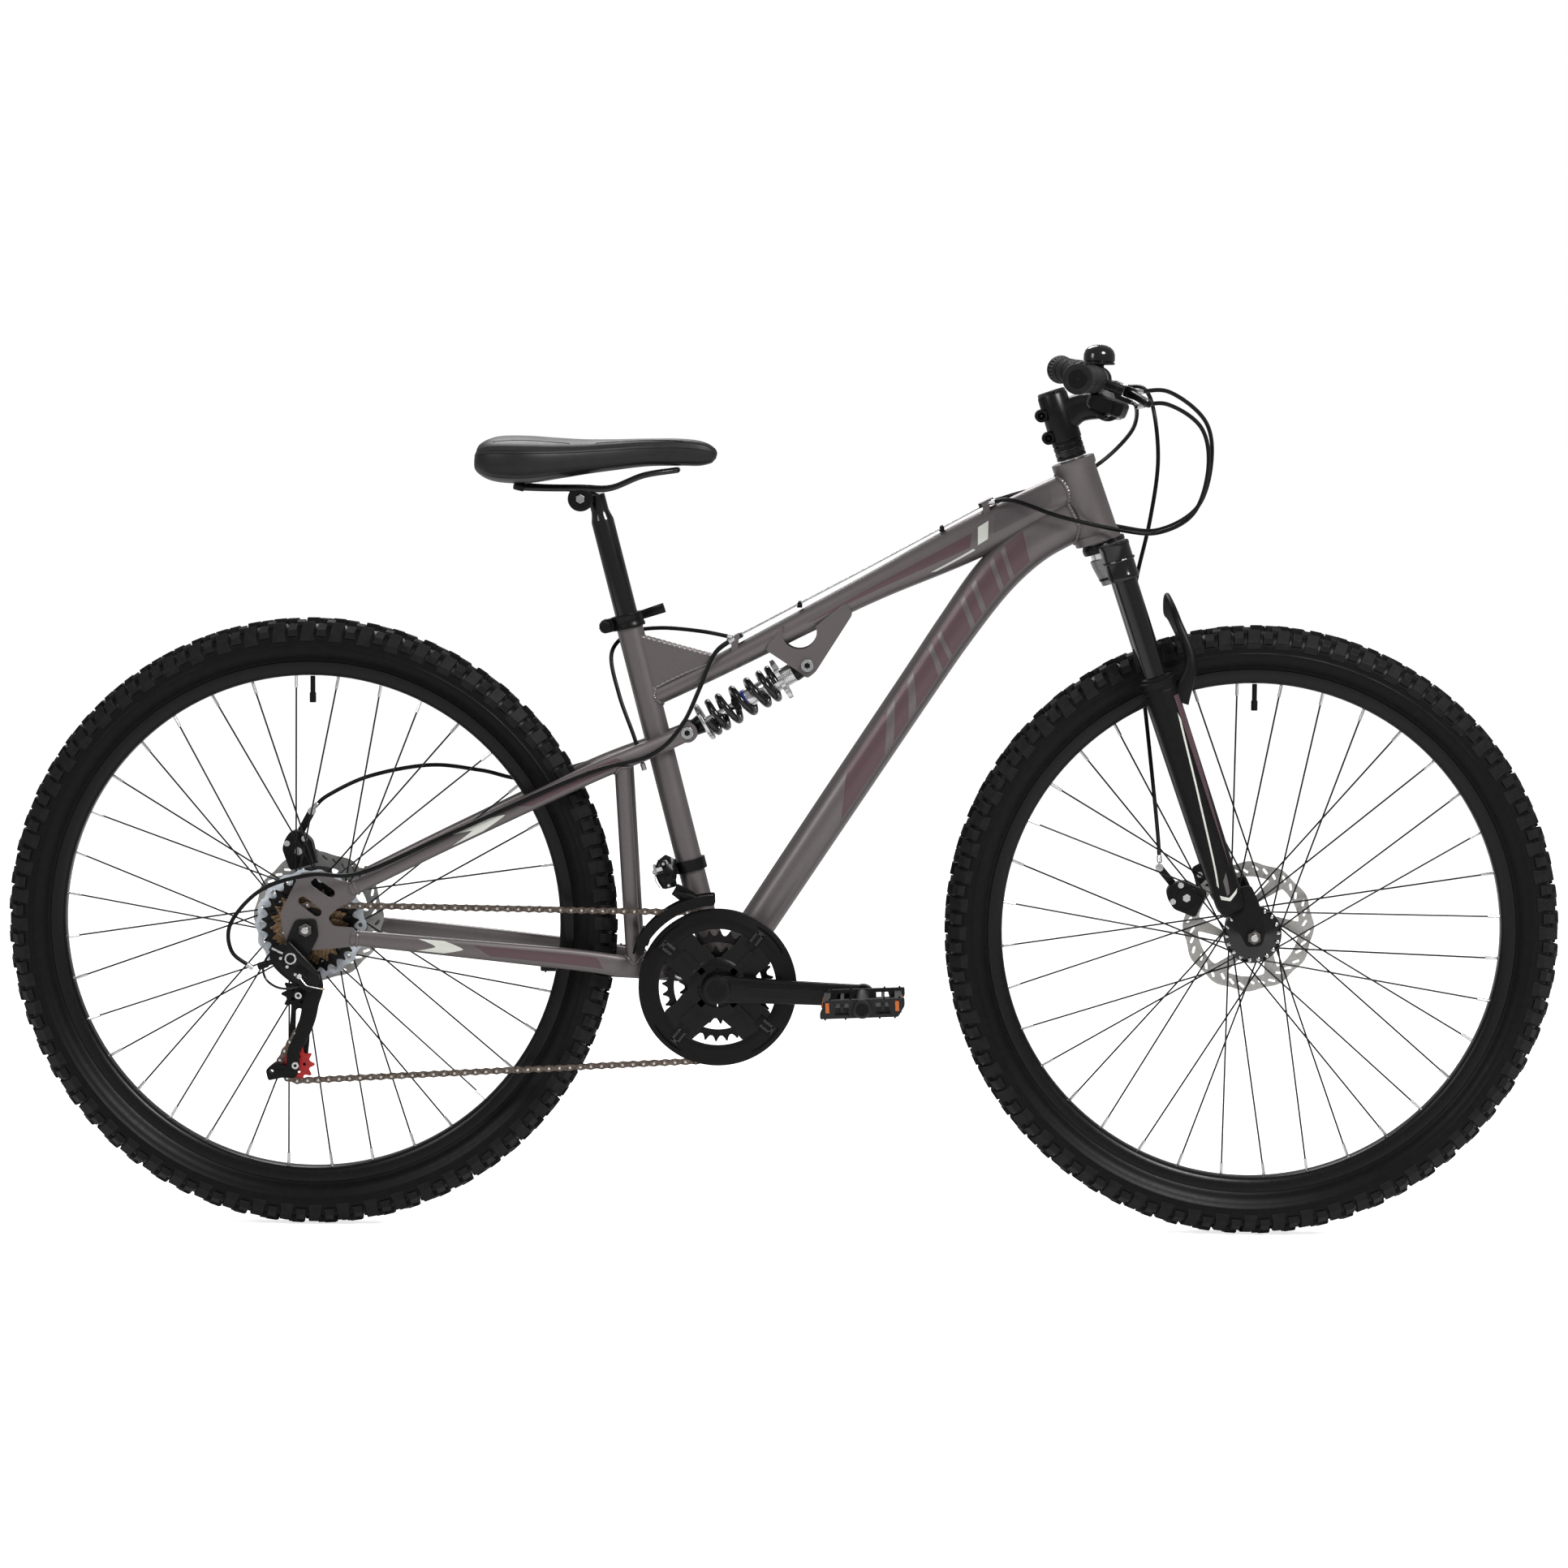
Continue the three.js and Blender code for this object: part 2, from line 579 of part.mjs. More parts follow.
function chainGuard() {
  const parts = [hoop(70, 95.3, -65, -61.4, 24)];
  for (let i = 0; i < 4; i += 1) {
    const angle = Math.PI / 4 + (i * Math.PI) / 2;
    const [c, s] = [Math.cos(angle), Math.sin(angle)];
    parts.push(rod(V(60 * c, -63.4, 60 * s), V(74 * c, -63.4, 74 * s), 1.6, 4));
  }
  return join(...parts);
}

// A crank arm and its pedal axle, about the crank axis, on the right and pointing forward.
function crankArm(withSpider) {
  const tip = V(CRANK_LENGTH * Math.cos(CRANK_DROP), 0, -CRANK_LENGTH * Math.sin(CRANK_DROP));
  const boss = rod(V(0, withSpider ? -59 : -64, 0), V(0, -88, 0), 20, 12, 16);
  const arm = skin([[0, 15, -68, -84], [90, 12, -74, -87], [175, 13, -78, -90]].map(([x, h, inner, outer]) => {
    const at = tip.clone().multiplyScalar(x / CRANK_LENGTH);
    return [[-h, outer + 3], [-h, inner], [h, inner], [h, outer + 3], [h - 4, outer], [4 - h, outer]]
      .map(([dz, y]) => V(at.x, y, at.z + dz));
  }));
  const eye = rod(tip.clone().setY(-76), tip.clone().setY(-91), 14, 10);
  const axle = rod(tip.clone().setY(-90), tip.clone().setY(-190), AXLE_RADIUS, 8);
  const parts = [boss, arm, eye, axle];
  for (let i = 0; withSpider && i < 4; i += 1) {
    const angle = Math.PI / 4 + (i * Math.PI) / 2;
    const end = V(66 * Math.cos(angle), -60, 66 * Math.sin(angle));
    parts.push(bar(V(0, -60, 0), end, 15, 2));
  }
  return cut(join(...parts), cross(V(0, 0, 0), -92, -55, 8.2, 8));
}

// A cage pedal about its own axle, on the right.
function pedal() {
  const barrel = cut(
    join(cross(V(0, 0, 0), -194, -93, 10.5), cross(V(0, 0, 0), -197, -190, 12)),
    cross(V(0, 0, 0), -191, -90, BORE_RADIUS + 0.3, 8),
  );
  const sides = [-1, 1].map((end) => block(V(44 * end, -189, -11), V(44 * end + 6 * end, -97, 11)));
  const plates = [[-103, -96], [-189, -182]].map(([y0, y1]) =>
    cut(plate([[-50, -11], [50, -11], [50, 11], [0, 14], [-50, 11]], y0, y1),
      cross(V(0, 0, 0), y0 - 1, y1 + 1, BORE_RADIUS + 0.3, 8)));
  return join(barrel, ...sides, ...plates);
}

function pulley(at) {
  return hoop(3.6, pitchRadius(PULLEY_TEETH) - CHAIN_HALF_HEIGHT - GAP, -2.5, 2.5, 12, at);
}

// The hanger round the axle, the bolt and the body of the rear derailleur.
function rearDerailleur() {
  const [x, z] = [REAR_AXLE.x, REAR_AXLE.z];
  const hanger = plate(
    [[x - 12, z + 12], [x + 12, z + 12], [x + 14, z - 8], [x - 6, z - 46], [x - 28, z - 42], [x - 22, z - 10]],
    -76.6, -73.9,
  );
  const knuckle = cross(V(-584, 0, 337), -92, -76.6, 13, 10);
  const body = skin([[-584, 337, 13, -91, -79], [-570, 322, 15, -90, -74.5], [-561, 311, 12, -88, -73]]
    .map(([bx, bz, h, outer, inner]) => [
      V(bx - 0.7 * h, outer, bz - 0.7 * h), V(bx + 0.7 * h, outer, bz + 0.7 * h),
      V(bx + 0.7 * h, inner, bz + 0.7 * h), V(bx - 0.7 * h, inner, bz - 0.7 * h),
    ]));
  const pivot = cross(V(-561, 0, 311), -88, -73, 11, 12);
  return cut(join(hanger, knuckle, body, pivot), cross(REAR_AXLE, -80, -70, BORE_RADIUS + 0.3, 8));
}

// Two plates that carry the guide and tension pulleys on their bolts.
function derailleurCage() {
  const { x: gx, z: gz } = GUIDE_PULLEY;
  const { x: tx, z: tz } = TENSION_PULLEY;
  const outline = [
    [-552, 316], [-561, 321], [-571, 315], [gx - 9, gz - 2], [gx - 4, gz - 28], [tx - 11, tz + 12],
    [tx - 11, tz - 8], [tx + 2, tz - 12], [tx + 11, tz - 2], [tx + 10, tz + 20], [gx + 16, gz - 24],
    [gx + 14, gz - 2], [-551, 305],
  ];
  const outer = plate(outline, -72.4, -70);
  const inner = plate(outline.slice(3, 12), -58.4, -56.6);
  const bolts = [GUIDE_PULLEY, TENSION_PULLEY].map((at) => cross(at, -72, -57, 3.1, 6));
  return join(outer, inner, ...bolts);
}

function frontDerailleur() {
  const band = cut(
    rod(seatPoint(138), seatPoint(152), 20.4, 12),
    rod(seatPoint(130), seatPoint(160), SEAT_TUBE_RADIUS + 2 * GAP, 12),
  );
  const body = bar(seatPoint(146, -32, -18), seatPoint(146, -15, -18), 34, 20);
  const arm = rod(seatPoint(138, -26, -24), seatPoint(138, -26, -46), 5, 10);
  return join(band, body, arm);
}

function frontDerailleurCage() {
  const { x, z } = BOTTOM_BRACKET;
  const from = THREE.MathUtils.degToRad(92);
  const to = THREE.MathUtils.degToRad(155);
  const cheek = [...arc(x, z, 99, from, to, 5), ...arc(x, z, 117, to, from, 5)];
  const inner = plate(cheek, -52, -50);
  const outer = plate(cheek, -65, -63.4);
  const back = plate([...arc(x, z, 113, from, from + 0.4, 3), ...arc(x, z, 117, from + 0.4, from, 3)], -64, -50.5);
  const tail = bar(V(x - 96, -57.5, z + 55), V(x - 99, -57.5, z + 47), 3, 13.5);
  const arm = bar(seatPoint(124, -20, -48.5), seatPoint(112, -8, -48.5), 12, 3.2);
  return join(inner, outer, back, tail, arm);
}

// ---------------------------------------------------------------- shock

const shockAxis = SHOCK_UPPER.clone().sub(SHOCK_LOWER).normalize();
const shockPoint = (along) => SHOCK_LOWER.clone().addScaledVector(shockAxis, along);
const SHOCK_LENGTH = SHOCK_LOWER.distanceTo(SHOCK_UPPER);

function shockBody() {
  const eye = cross(SHOCK_UPPER, -11.6, 11.6, 11.5);
  const body = rod(shockPoint(72), shockPoint(SHOCK_LENGTH - 6), 12, 10);
  const collar = rod(shockPoint(126), shockPoint(132), 26, 12);
  return cut(
    join(eye, body, collar),
    cross(SHOCK_UPPER, -30, 30, BORE_RADIUS + 0.3, 8),
    rod(shockPoint(60), shockPoint(140), 5.8, 8),
  );
}

function shockShaft() {
  const eye = cut(cross(SHOCK_LOWER, -13, 13, 12.5), cross(SHOCK_LOWER, -30, 30, 7.6, 8));
  const seat = rod(shockPoint(20), shockPoint(26), 24, 12);
  return join(
    eye, seat,
    rod(shockPoint(10), shockPoint(24), 9, 8),
    rod(shockPoint(22), shockPoint(96), 4.6, 6),
  );
}

function shockSpring() {
  const turns = 6;
  const stepsPerTurn = 8;
  const side = V(0, 1, 0);
  const up = shockAxis.clone().cross(side);
  const points = [];
  for (let i = 0; i <= turns * stepsPerTurn; i += 1) {
    const angle = (2 * Math.PI * i) / stepsPerTurn;
    const along = THREE.MathUtils.lerp(30, 122, i / (turns * stepsPerTurn));
    points.push(shockPoint(along)
      .addScaledVector(side, 19 * Math.cos(angle))
      .addScaledVector(up, 19 * Math.sin(angle)));
  }
  return tube(points, 3.4, turns * stepsPerTurn, 5);
}

// ---------------------------------------------------------------- fork

function forkCrown() {
  const steerer = rod(steerPoint(-72), steerPoint(132), STEERER_RADIUS, 10);
  const race = rod(steerPoint(-64), steerPoint(-HEAD_HALF_LENGTH - 1), 22, 12);
  const bridge = bar(steerPoint(-74, 2), steerPoint(-74, 20), 24, 96);
  const boss = rod(steerPoint(-104), steerPoint(-72), 12, 8, 17);
  const parts = [steerer, race, bridge, boss];
  for (const side of [RIGHT, LEFT]) {
    const y = LEG_Y * side;
    parts.push(rod(legPoint(-14, y), legPoint(32, y), 18.5, 10));
    parts.push(rod(legPoint(30, y), legPoint(290, y), STANCHION_RADIUS, 10));
  }
  return join(...parts);
}

function forkLeg(side) {
  const y = LEG_Y * side;
  const shell = cut(
    join(
      rod(legPoint(152, y), legPoint(166, y), 22, 10, 21),
      rod(legPoint(166, y, 1), legPoint(445, y, LEG_OFFSET_LOW), 20, 10, 17),
    ),
    rod(legPoint(140, y), legPoint(385, y), STANCHION_RADIUS + GAP, 10),
  );
  const [x, z] = [FRONT_AXLE.x, FRONT_AXLE.z];
  const faces = side < 0 ? [-57, -50.3] : [50.3, 57];
  const dropoutPlate = cut(
    plate([[x - 30, z + 50], [x + 2, z + 48], [x + 14, z + 4], [x + 9, z - 11], [x - 8, z - 12], [x - 16, z + 6]], ...faces),
    cross(FRONT_AXLE, -60, 60, BORE_RADIUS + 0.3, 8),
  );
  return join(shell, dropoutPlate);
}

function forkLowers() {
  const arch = ovalTube([
    { at: V(473, -LEG_Y, 652), tall: 16, wide: 26 },
    { at: V(487, -60, 700), tall: 18, wide: 14 },
    { at: V(470, -42, 746), tall: 24, wide: 11 },
    { at: V(461, 0, 763), tall: 30, wide: 10 },
    { at: V(470, 42, 746), tall: 24, wide: 11 },
    { at: V(487, 60, 700), tall: 18, wide: 14 },
    { at: V(473, LEG_Y, 652), tall: 16, wide: 26 },
  ], 6, V(1, 0, 0));
  const caliperTab = plate([[500, 440], [520, 452], [530, 420], [506, 412]], 44.9, 52);
  const bores = [RIGHT, LEFT].map((side) =>
    rod(legPoint(140, LEG_Y * side), legPoint(385, LEG_Y * side), STANCHION_RADIUS + GAP, 10));
  return cut(join(forkLeg(RIGHT), forkLeg(LEFT), arch, caliperTab), ...bores);
}

function frontAxle() {
  const nuts = [RIGHT, LEFT].map((side) => cross(FRONT_AXLE, 57.4 * side, 65 * side, 9, 6));
  return join(cross(FRONT_AXLE, -70, 70, AXLE_RADIUS, 8), ...nuts);
}

// ---------------------------------------------------------------- brakes

// A caliper over a rotor. The heading is the direction from the axle to the caliper.
function caliper(axle, headingDegrees, rotorY, inner, outer) {
  const heading = THREE.MathUtils.degToRad(headingDegrees);
  const at = (r, across = 0) => [
    axle.x + r * Math.cos(heading) - across * Math.sin(heading),
    axle.z + r * Math.sin(heading) + across * Math.cos(heading),
  ];
  const body = plate([at(64, -17), at(64, 17), at(100, 19), at(110, 0), at(100, -19)], inner, outer);
  const pot = cross({ x: at(84)[0], z: at(84)[1] }, inner - 2, inner + 1, 13, 10);
  return cut(
    join(body, pot),
    ring([[50, rotorY - 2.2], [82.5, rotorY - 2.2], [82.5, rotorY + 2.2], [50, rotorY + 2.2]], 24, axle),
  );
}

function caliperArm(centre, towards, y0, y1) {
  return join(
    cross(centre, y0, y1, 9, 8),
    bar(V(centre.x, (y0 + y1) / 2, centre.z), V(towards.x, (y0 + y1) / 2, towards.z), 8, y1 - y0 - 0.6),
    cross(towards, y0, y1, 5, 6),
  );
}

// ---------------------------------------------------------------- cockpit

const BAR_RADIUS = 11.1;
const BAR_CLAMP = V(386, 0, 1001);
const GRIP_START = V(361.5, -190, 1036);
const GRIP_OUT = V(340.5, -314, 1038.5).sub(GRIP_START).normalize();
const gripPoint = (out) => GRIP_START.clone().addScaledVector(GRIP_OUT, out);
const BAR_POINTS = [
  ...[125, 60, 0, -30, -58].map(gripPoint),
  V(376, -100, 1022), V(384, -60, 1003.5), V(386, -26, 1001), BAR_CLAMP,
];

function handlebar() {
  const left = BAR_POINTS.slice(0, -1).reverse().map((p) => V(p.x, -p.y, p.z));
  return tube([...BAR_POINTS, ...left], BAR_RADIUS, 22, 8);
}

function stem() {
  const body = rod(steerPoint(76), steerPoint(134), 19, 12, 18);
  const spacers = rod(steerPoint(58), steerPoint(77), 18, 10);
  const cap = rod(steerPoint(133), steerPoint(138), 17, 10, 14);
  const clampBlock = bar(steerPoint(92, 12), steerPoint(103, 44), 30, 34);
  const barClamp = cross(BAR_CLAMP, -24, 24, 18, 12);
  const pinch = [85, 113].map((up) => rod(steerPoint(up, -20, -15), steerPoint(up, -20, 15), 8, 8));
  return cut(
    join(body, spacers, cap, clampBlock, barClamp, ...pinch),
    rod(steerPoint(40), steerPoint(132.4), STEERER_RADIUS + GAP, 10),
    cross(BAR_CLAMP, -30, 30, BAR_RADIUS + 2.2, 8),
  );
}

function grip() {
  const outer = join(
    rod(gripPoint(4), gripPoint(124), 16, 12),
    rod(gripPoint(122), gripPoint(131.5), 18, 12, 17),
  );
  return cut(outer, rod(gripPoint(0), gripPoint(126.5), BAR_RADIUS + 3 * GAP, 8));
}

// The handlebar's own directions at the right grip: outward, forward and down, and up.
const controlBase = gripPoint(-14);
const controlForward = V(Math.cos(0.36), 0, -Math.sin(0.36));
controlForward.addScaledVector(GRIP_OUT, -controlForward.dot(GRIP_OUT)).normalize();
const controlUp = GRIP_OUT.clone().cross(controlForward).normalize();
const controlPoint = (out, forward, up) =>
  controlBase.clone()
    .addScaledVector(GRIP_OUT, out)
    .addScaledVector(controlForward, forward)
    .addScaledVector(controlUp, up);

// A box in the control's own directions.
function controlBlock(low, high) {
  const ends = [low[0], high[0]].map((out) => [
    controlPoint(out, low[1], low[2]), controlPoint(out, high[1], low[2]),
    controlPoint(out, high[1], high[2]), controlPoint(out, low[1], high[2]),
  ]);
  return skin(ends);
}

function controls() {
  const collar = rod(gripPoint(-24), gripPoint(-4), 16, 10);
  const perch = controlBlock([-9, 10, -7], [7, 36, 6]);
  const fork = controlBlock([-8, 30, -11], [4, 50, -6.6]);
  const pod = join(
    controlBlock([-28, -4, -34], [6, 40, -13.5]),
    controlBlock([-40, 6, -32], [-26, 30, -16]),
  );
  const barrel = rod(controlPoint(-8, 28, 0), controlPoint(-30, 40, 1), 5, 8);
  return cut(
    join(collar, perch, fork, pod, barrel),
    rod(gripPoint(-60), gripPoint(0), BAR_RADIUS + 3 * GAP, 8),
  );
}

function brakeLever() {
  const pivotEye = rod(controlPoint(-2, 44, -5.8), controlPoint(-2, 44, 7), 7, 8);
  const blade = tube([
    controlPoint(-2, 44, 0), controlPoint(20, 56, 0), controlPoint(50, 68, 0), controlPoint(84, 76, 1),
    controlPoint(112, 82, 2),
  ], 5, 5, 6);
  return join(pivotEye, blade);
}

function shiftLever() {
  const hub = rod(controlPoint(-14, 22, -39), controlPoint(-14, 22, -34.6), 8, 8);
  const paddle = controlBlock([-10, 20, -39], [26, 31, -35]);
  return join(hub, paddle);
}

// The bell stands on a strap round the right side of the handlebar.
function bell() {
  const at = gripPoint(-49);
  const strap = cut(
    rod(gripPoint(-55), gripPoint(-43), 15.2, 10),
    rod(gripPoint(-60), gripPoint(-30), BAR_RADIUS + 4 * GAP, 8),
  );
  const up = V(0.03, 0, 1).normalize();
  const at2 = (height) => at.clone().addScaledVector(up, height);
  return join(
    strap,
    rod(at2(13.6), at2(18), 6, 8),
    rod(at2(17), at2(34), 18.5, 12, 17.5),
    rod(at2(34), at2(41), 17.5, 12, 12),
  );
}

// ---------------------------------------------------------------- saddle

const SADDLE_PIVOT = V(-243, 0, 886);

function seatpost() {
  return join(
    rod(seatPoint(250), seatPoint(574), SEATPOST_RADIUS, 12),
    rod(seatPoint(574), seatPoint(586), SEATPOST_RADIUS, 12, 10.5),
    rod(seatPoint(586), seatPoint(606), 10.5, 12),
    cut(cross(SADDLE_PIVOT, -12, 12, 10), cross(SADDLE_PIVOT, -13, 13, 4.4, 8)),
    bar(V(-236, 0, 888), V(-222, 0, 886), 12, 16),
  );
}

function saddleRails() {
  const parts = [cross(SADDLE_PIVOT, -26, 26, 3.4, 6)];
  for (const side of [RIGHT, LEFT]) {
    parts.push(cross(SADDLE_PIVOT, 12.6 * side, 25 * side, 15.5, 12));
    parts.push(tube([
      V(-318, 34 * side, 899.4), V(-287, 24 * side, 898), V(-245, 22 * side, 898), V(-208, 22 * side, 898.5),
      V(-168, 18 * side, 914), V(-128, 7 * side, 920.5),
    ], 3.5, 8, 6));
  }
  parts.push(rod(V(-128, -9, 920.5), V(-128, 9, 920.5), 3.5, 6));
  return join(...parts);
}

// Stations along the saddle: x, half width, bottom and top.
function saddle() {
  const stations = [
    [-369.5, 30, 926, 941], [-364, 58, 915, 951], [-345, 74, 906, 959], [-310, 80, 904, 960],
    [-275, 72, 909, 958], [-240, 55, 915, 956.5], [-205, 38, 920, 957], [-165, 27, 925, 958.5],
    [-125, 22, 926, 959], [-100, 19, 926, 956], [-86, 14, 929, 949], [-81, 7, 934, 942],
  ];
  const sides = 12;
  return skin(stations.map(([x, wide, low, high]) => {
    const outline = [];
    for (let k = 0; k < sides; k += 1) {
      const angle = (2 * Math.PI * (k + 0.5)) / sides;
      const [c, s] = [Math.cos(angle), Math.sin(angle)];
      const round = (v) => Math.sign(v) * Math.abs(v) ** 0.7;
      outline.push(V(x, wide * round(c), (low + high) / 2 + ((high - low) / 2) * round(s)));
    }
    return outline;
  }));
}

// ---------------------------------------------------------------- cables

const CABLE_RADIUS = 2.5;

// From the left brake lever, in front of the head tube, down the left leg to the caliper arm.
function frontBrakeCable() {
  return tube([
    V(413, 150, 1021), V(436, 118, 1019), V(447, 92, 990), V(452, 84, 930), V(443, 82, 860),
    V(428, 84, 790), V(424, 87, 740), V(437, 90, 660), V(449, 82, 560), V(457, 60, 480), V(459, 47, 446),
  ], CABLE_RADIUS, 24);
}

// The two gear cables and the rear brake cable, held side by side on top of the top tube.
function rearCables() {
  const alongTopTube = (y) => [V(243, y, 883), V(111, y, 810.5), V(20, y, 761.5), V(-60, y, 718.5)];
  const rearGear = tube([
    V(414, -150, 1004), V(452, -120, 1006), V(494, -80, 978), V(505, -48, 930), V(490, -34, 876),
    V(450, -31, 846), V(404, -34, 849), V(330, -34, 870), V(275, -22, 888), ...alongTopTube(-8),
    V(-82, -17, 700), V(-99, -22, 660), V(-122, -31, 612), V(-158, -43, 580), V(-235, -58.5, 558),
    V(-390, -72.5, 489), V(-500, -82, 440), V(-560, -90, 438), V(-618, -92, 420), V(-655, -92, 380),
    V(-655, -90, 345), V(-630, -86, 324),
  ], CABLE_RADIUS, 38);
  const rearBrake = tube([
    V(414, -146, 1021), V(455, -112, 1020), V(500, -60, 985), V(511, -10, 935), V(497, 22, 880),
    V(452, 32, 846), V(404, 34, 850), V(330, 34, 872), V(275, 22, 889), ...alongTopTube(8),
    V(-82, 17, 700), V(-99, 22, 660), V(-122, 31, 612), V(-158, 43, 580), V(-235, 58.5, 562),
    V(-312, 66, 540), V(-370, 64, 550), V(-432, 62, 556), V(-505, 62, 542), V(-570, 67, 507),
  ], CABLE_RADIUS, 36);
  const frontGear = tube([
    V(412, 150, 1003), V(426, 118, 998), V(420, 80, 970), V(385, 46, 935), V(340, 38, 908),
    V(285, 16, 896), ...alongTopTube(0), V(-100, 14, 726), V(-150, 21, 729), V(-186, 23, 722),
    V(-207, 10, 698), V(-197, -4, 650), V(-178, -16, 600), V(-165, -20, 560),
  ], CABLE_RADIUS, 26);
  const clips = [V(190, 0, 854), V(20, 0, 761.5)].map((at) => cross(at, -8, 8, 2.2, 6));
  return join(rearGear, rearBrake, frontGear, ...clips);
}

// ---------------------------------------------------------------- assembly

const bike = new THREE.Group();

// Adds a named piece to a group. The piece is a solid or a geometry.
function add(group, name, piece, material) {
  const geometry = piece.isBufferGeometry ? piece : geometryOf(piece);
  const mesh = new THREE.Mesh(geometry, material);
  mesh.name = name;
  group.add(mesh);
}

function groupAt(point) {
  const group = new THREE.Group();
  group.position.copy(point);
  bike.add(group);
  return group;
}

function addWheel(name, axle, hub, rotorY, flanges) {
  const wheel = groupAt(axle);
  add(wheel, `${name}_tyre`, tyre(), blackRubber);
  add(wheel, `${name}_rim`, rim(), blackPaint);
  add(wheel, `${name}_hub`, hub, blackPaint);
  const phase = THREE.MathUtils.degToRad(4);
  add(wheel, `${name}_spokes_right`, spokes(RIGHT, flanges.right, flanges.rightRadius, phase), blackSteel);
  const leftPhase = phase + THREE.MathUtils.degToRad(10);
  add(wheel, `${name}_spokes_left`, spokes(LEFT, flanges.left, flanges.leftRadius, leftPhase), blackSteel);
  add(wheel, `${name}_rotor`, rotor(rotorY), silverSteel);
  return wheel;
}

add(bike, 'main_frame', mainFrame(), framePaint);
add(bike, 'seat_collar', seatCollar(), blackPlastic);
add(bike, 'seat_lever', seatLever(), blackPlastic);
add(bike, 'pivot_bolt', pivotBolt(), silverSteel);
add(bike, 'swingarm', swingarm(), framePaint);
add(bike, 'rear_axle', rearAxle(), silverSteel);

const rearWheel = addWheel('rear', REAR_AXLE, rearHub(), REAR_ROTOR_Y,
  { right: -23.5, rightRadius: 29, left: 34, leftRadius: 29 });
add(rearWheel, 'spoke_protector', spokeProtector(), clearPlastic);
add(rearWheel, 'freewheel', freewheel(), bronzeSteel);
addWheel('front', FRONT_AXLE, frontHub(), FRONT_ROTOR_Y,
  { right: -34, rightRadius: 31, left: 24, leftRadius: 25.5 });

const crankset = groupAt(BOTTOM_BRACKET);
add(crankset, 'bb_spindle', cross(V(0, 0, 0), -84, 84, 7.4, 12), blackSteel);
add(crankset, 'crank_right', crankArm(true), blackPaint);
add(crankset, 'chainrings', chainrings(), blackSteel);
add(crankset, 'chain_guard', chainGuard(), blackPlastic);
const leftArm = new THREE.Group();
leftArm.rotation.set(0, 2 * CRANK_DROP, Math.PI);
crankset.add(leftArm);
add(leftArm, 'crank_left', crankArm(false), blackPaint);
for (const [name, arm] of [['pedal_right', crankset], ['pedal_left', leftArm]]) {
  const place = new THREE.Group();
  place.position.set(CRANK_LENGTH * Math.cos(CRANK_DROP), 0, -CRANK_LENGTH * Math.sin(CRANK_DROP));
  place.rotation.y = arm === crankset ? -PEDAL_TILT : -2 * CRANK_DROP;
  arm.add(place);
  add(place, name, pedal(), blackPlastic);
}

add(bike, 'chain', chain(), bronzeSteel);
add(bike, 'rear_derailleur', rearDerailleur(), blackPaint);
add(bike, 'derailleur_cage', derailleurCage(), blackPaint);
add(bike, 'guide_pulley', pulley(GUIDE_PULLEY), redPlastic);
add(bike, 'tension_pulley', pulley(TENSION_PULLEY), redPlastic);
add(bike, 'front_derailleur', frontDerailleur(), blackPaint);
add(bike, 'front_derailleur_cage', frontDerailleurCage(), blackPaint);

add(bike, 'shock_body', shockBody(), silverSteel);
add(bike, 'shock_shaft', shockShaft(), silverSteel);
add(bike, 'shock_spring', shockSpring(), blackPaint);

add(bike, 'fork_crown', forkCrown(), blackPaint);
add(bike, 'fork_lowers', forkLowers(), blackPaint);
add(bike, 'front_axle', frontAxle(), silverSteel);
add(bike, 'front_caliper', caliper(FRONT_AXLE, 155, FRONT_ROTOR_Y, 27, 44.6), blackPaint);
add(bike, 'front_caliper_arm', caliperArm(V(484, 0, 410), V(459, 0, 440), 45, 49), blackPaint);
add(bike, 'rear_caliper', caliper(REAR_AXLE, 106, REAR_ROTOR_Y, 41, 60.2), blackPaint);
add(bike, 'rear_caliper_arm', caliperArm(V(-597, 0, 462), V(-578, 0, 497), 68.9, 73), blackPaint);

add(bike, 'stem', stem(), blackPaint);
add(bike, 'handlebar', handlebar(), blackPaint);
for (const [name, piece, material] of [
  ['grip', grip(), blackRubber], ['controls', controls(), blackPlastic],
  ['brake_lever', brakeLever(), blackPaint], ['shift_lever', shiftLever(), blackPlastic],
]) {
  add(bike, `${name}_right`, piece, material);
  add(bike, `${name}_left`, mirrored(geometryOf(piece)), material);
}
add(bike, 'bell', bell(), blackPaint);

add(bike, 'seatpost', seatpost(), blackPaint);
add(bike, 'saddle_rails', saddleRails(), blackPaint);
add(bike, 'saddle', saddle(), saddleSkin);
add(bike, 'front_brake_cable', frontBrakeCable(), blackRubber);
add(bike, 'rear_cables', rearCables(), blackRubber);

export default bike;
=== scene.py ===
"""The looks of a full-suspension mountain bike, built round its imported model.

Sizes are in millimetres, in the model's own frame: +X forward, +Y to the rider's left, +Z up. A piece's
mesh is turned into metres when it is made. Where a joint gives a place, the place is taken from it.
"""

import json
import math

import bmesh
import bpy
from mathutils import Matrix, Vector, geometry
from mathutils.bvhtree import BVHTree


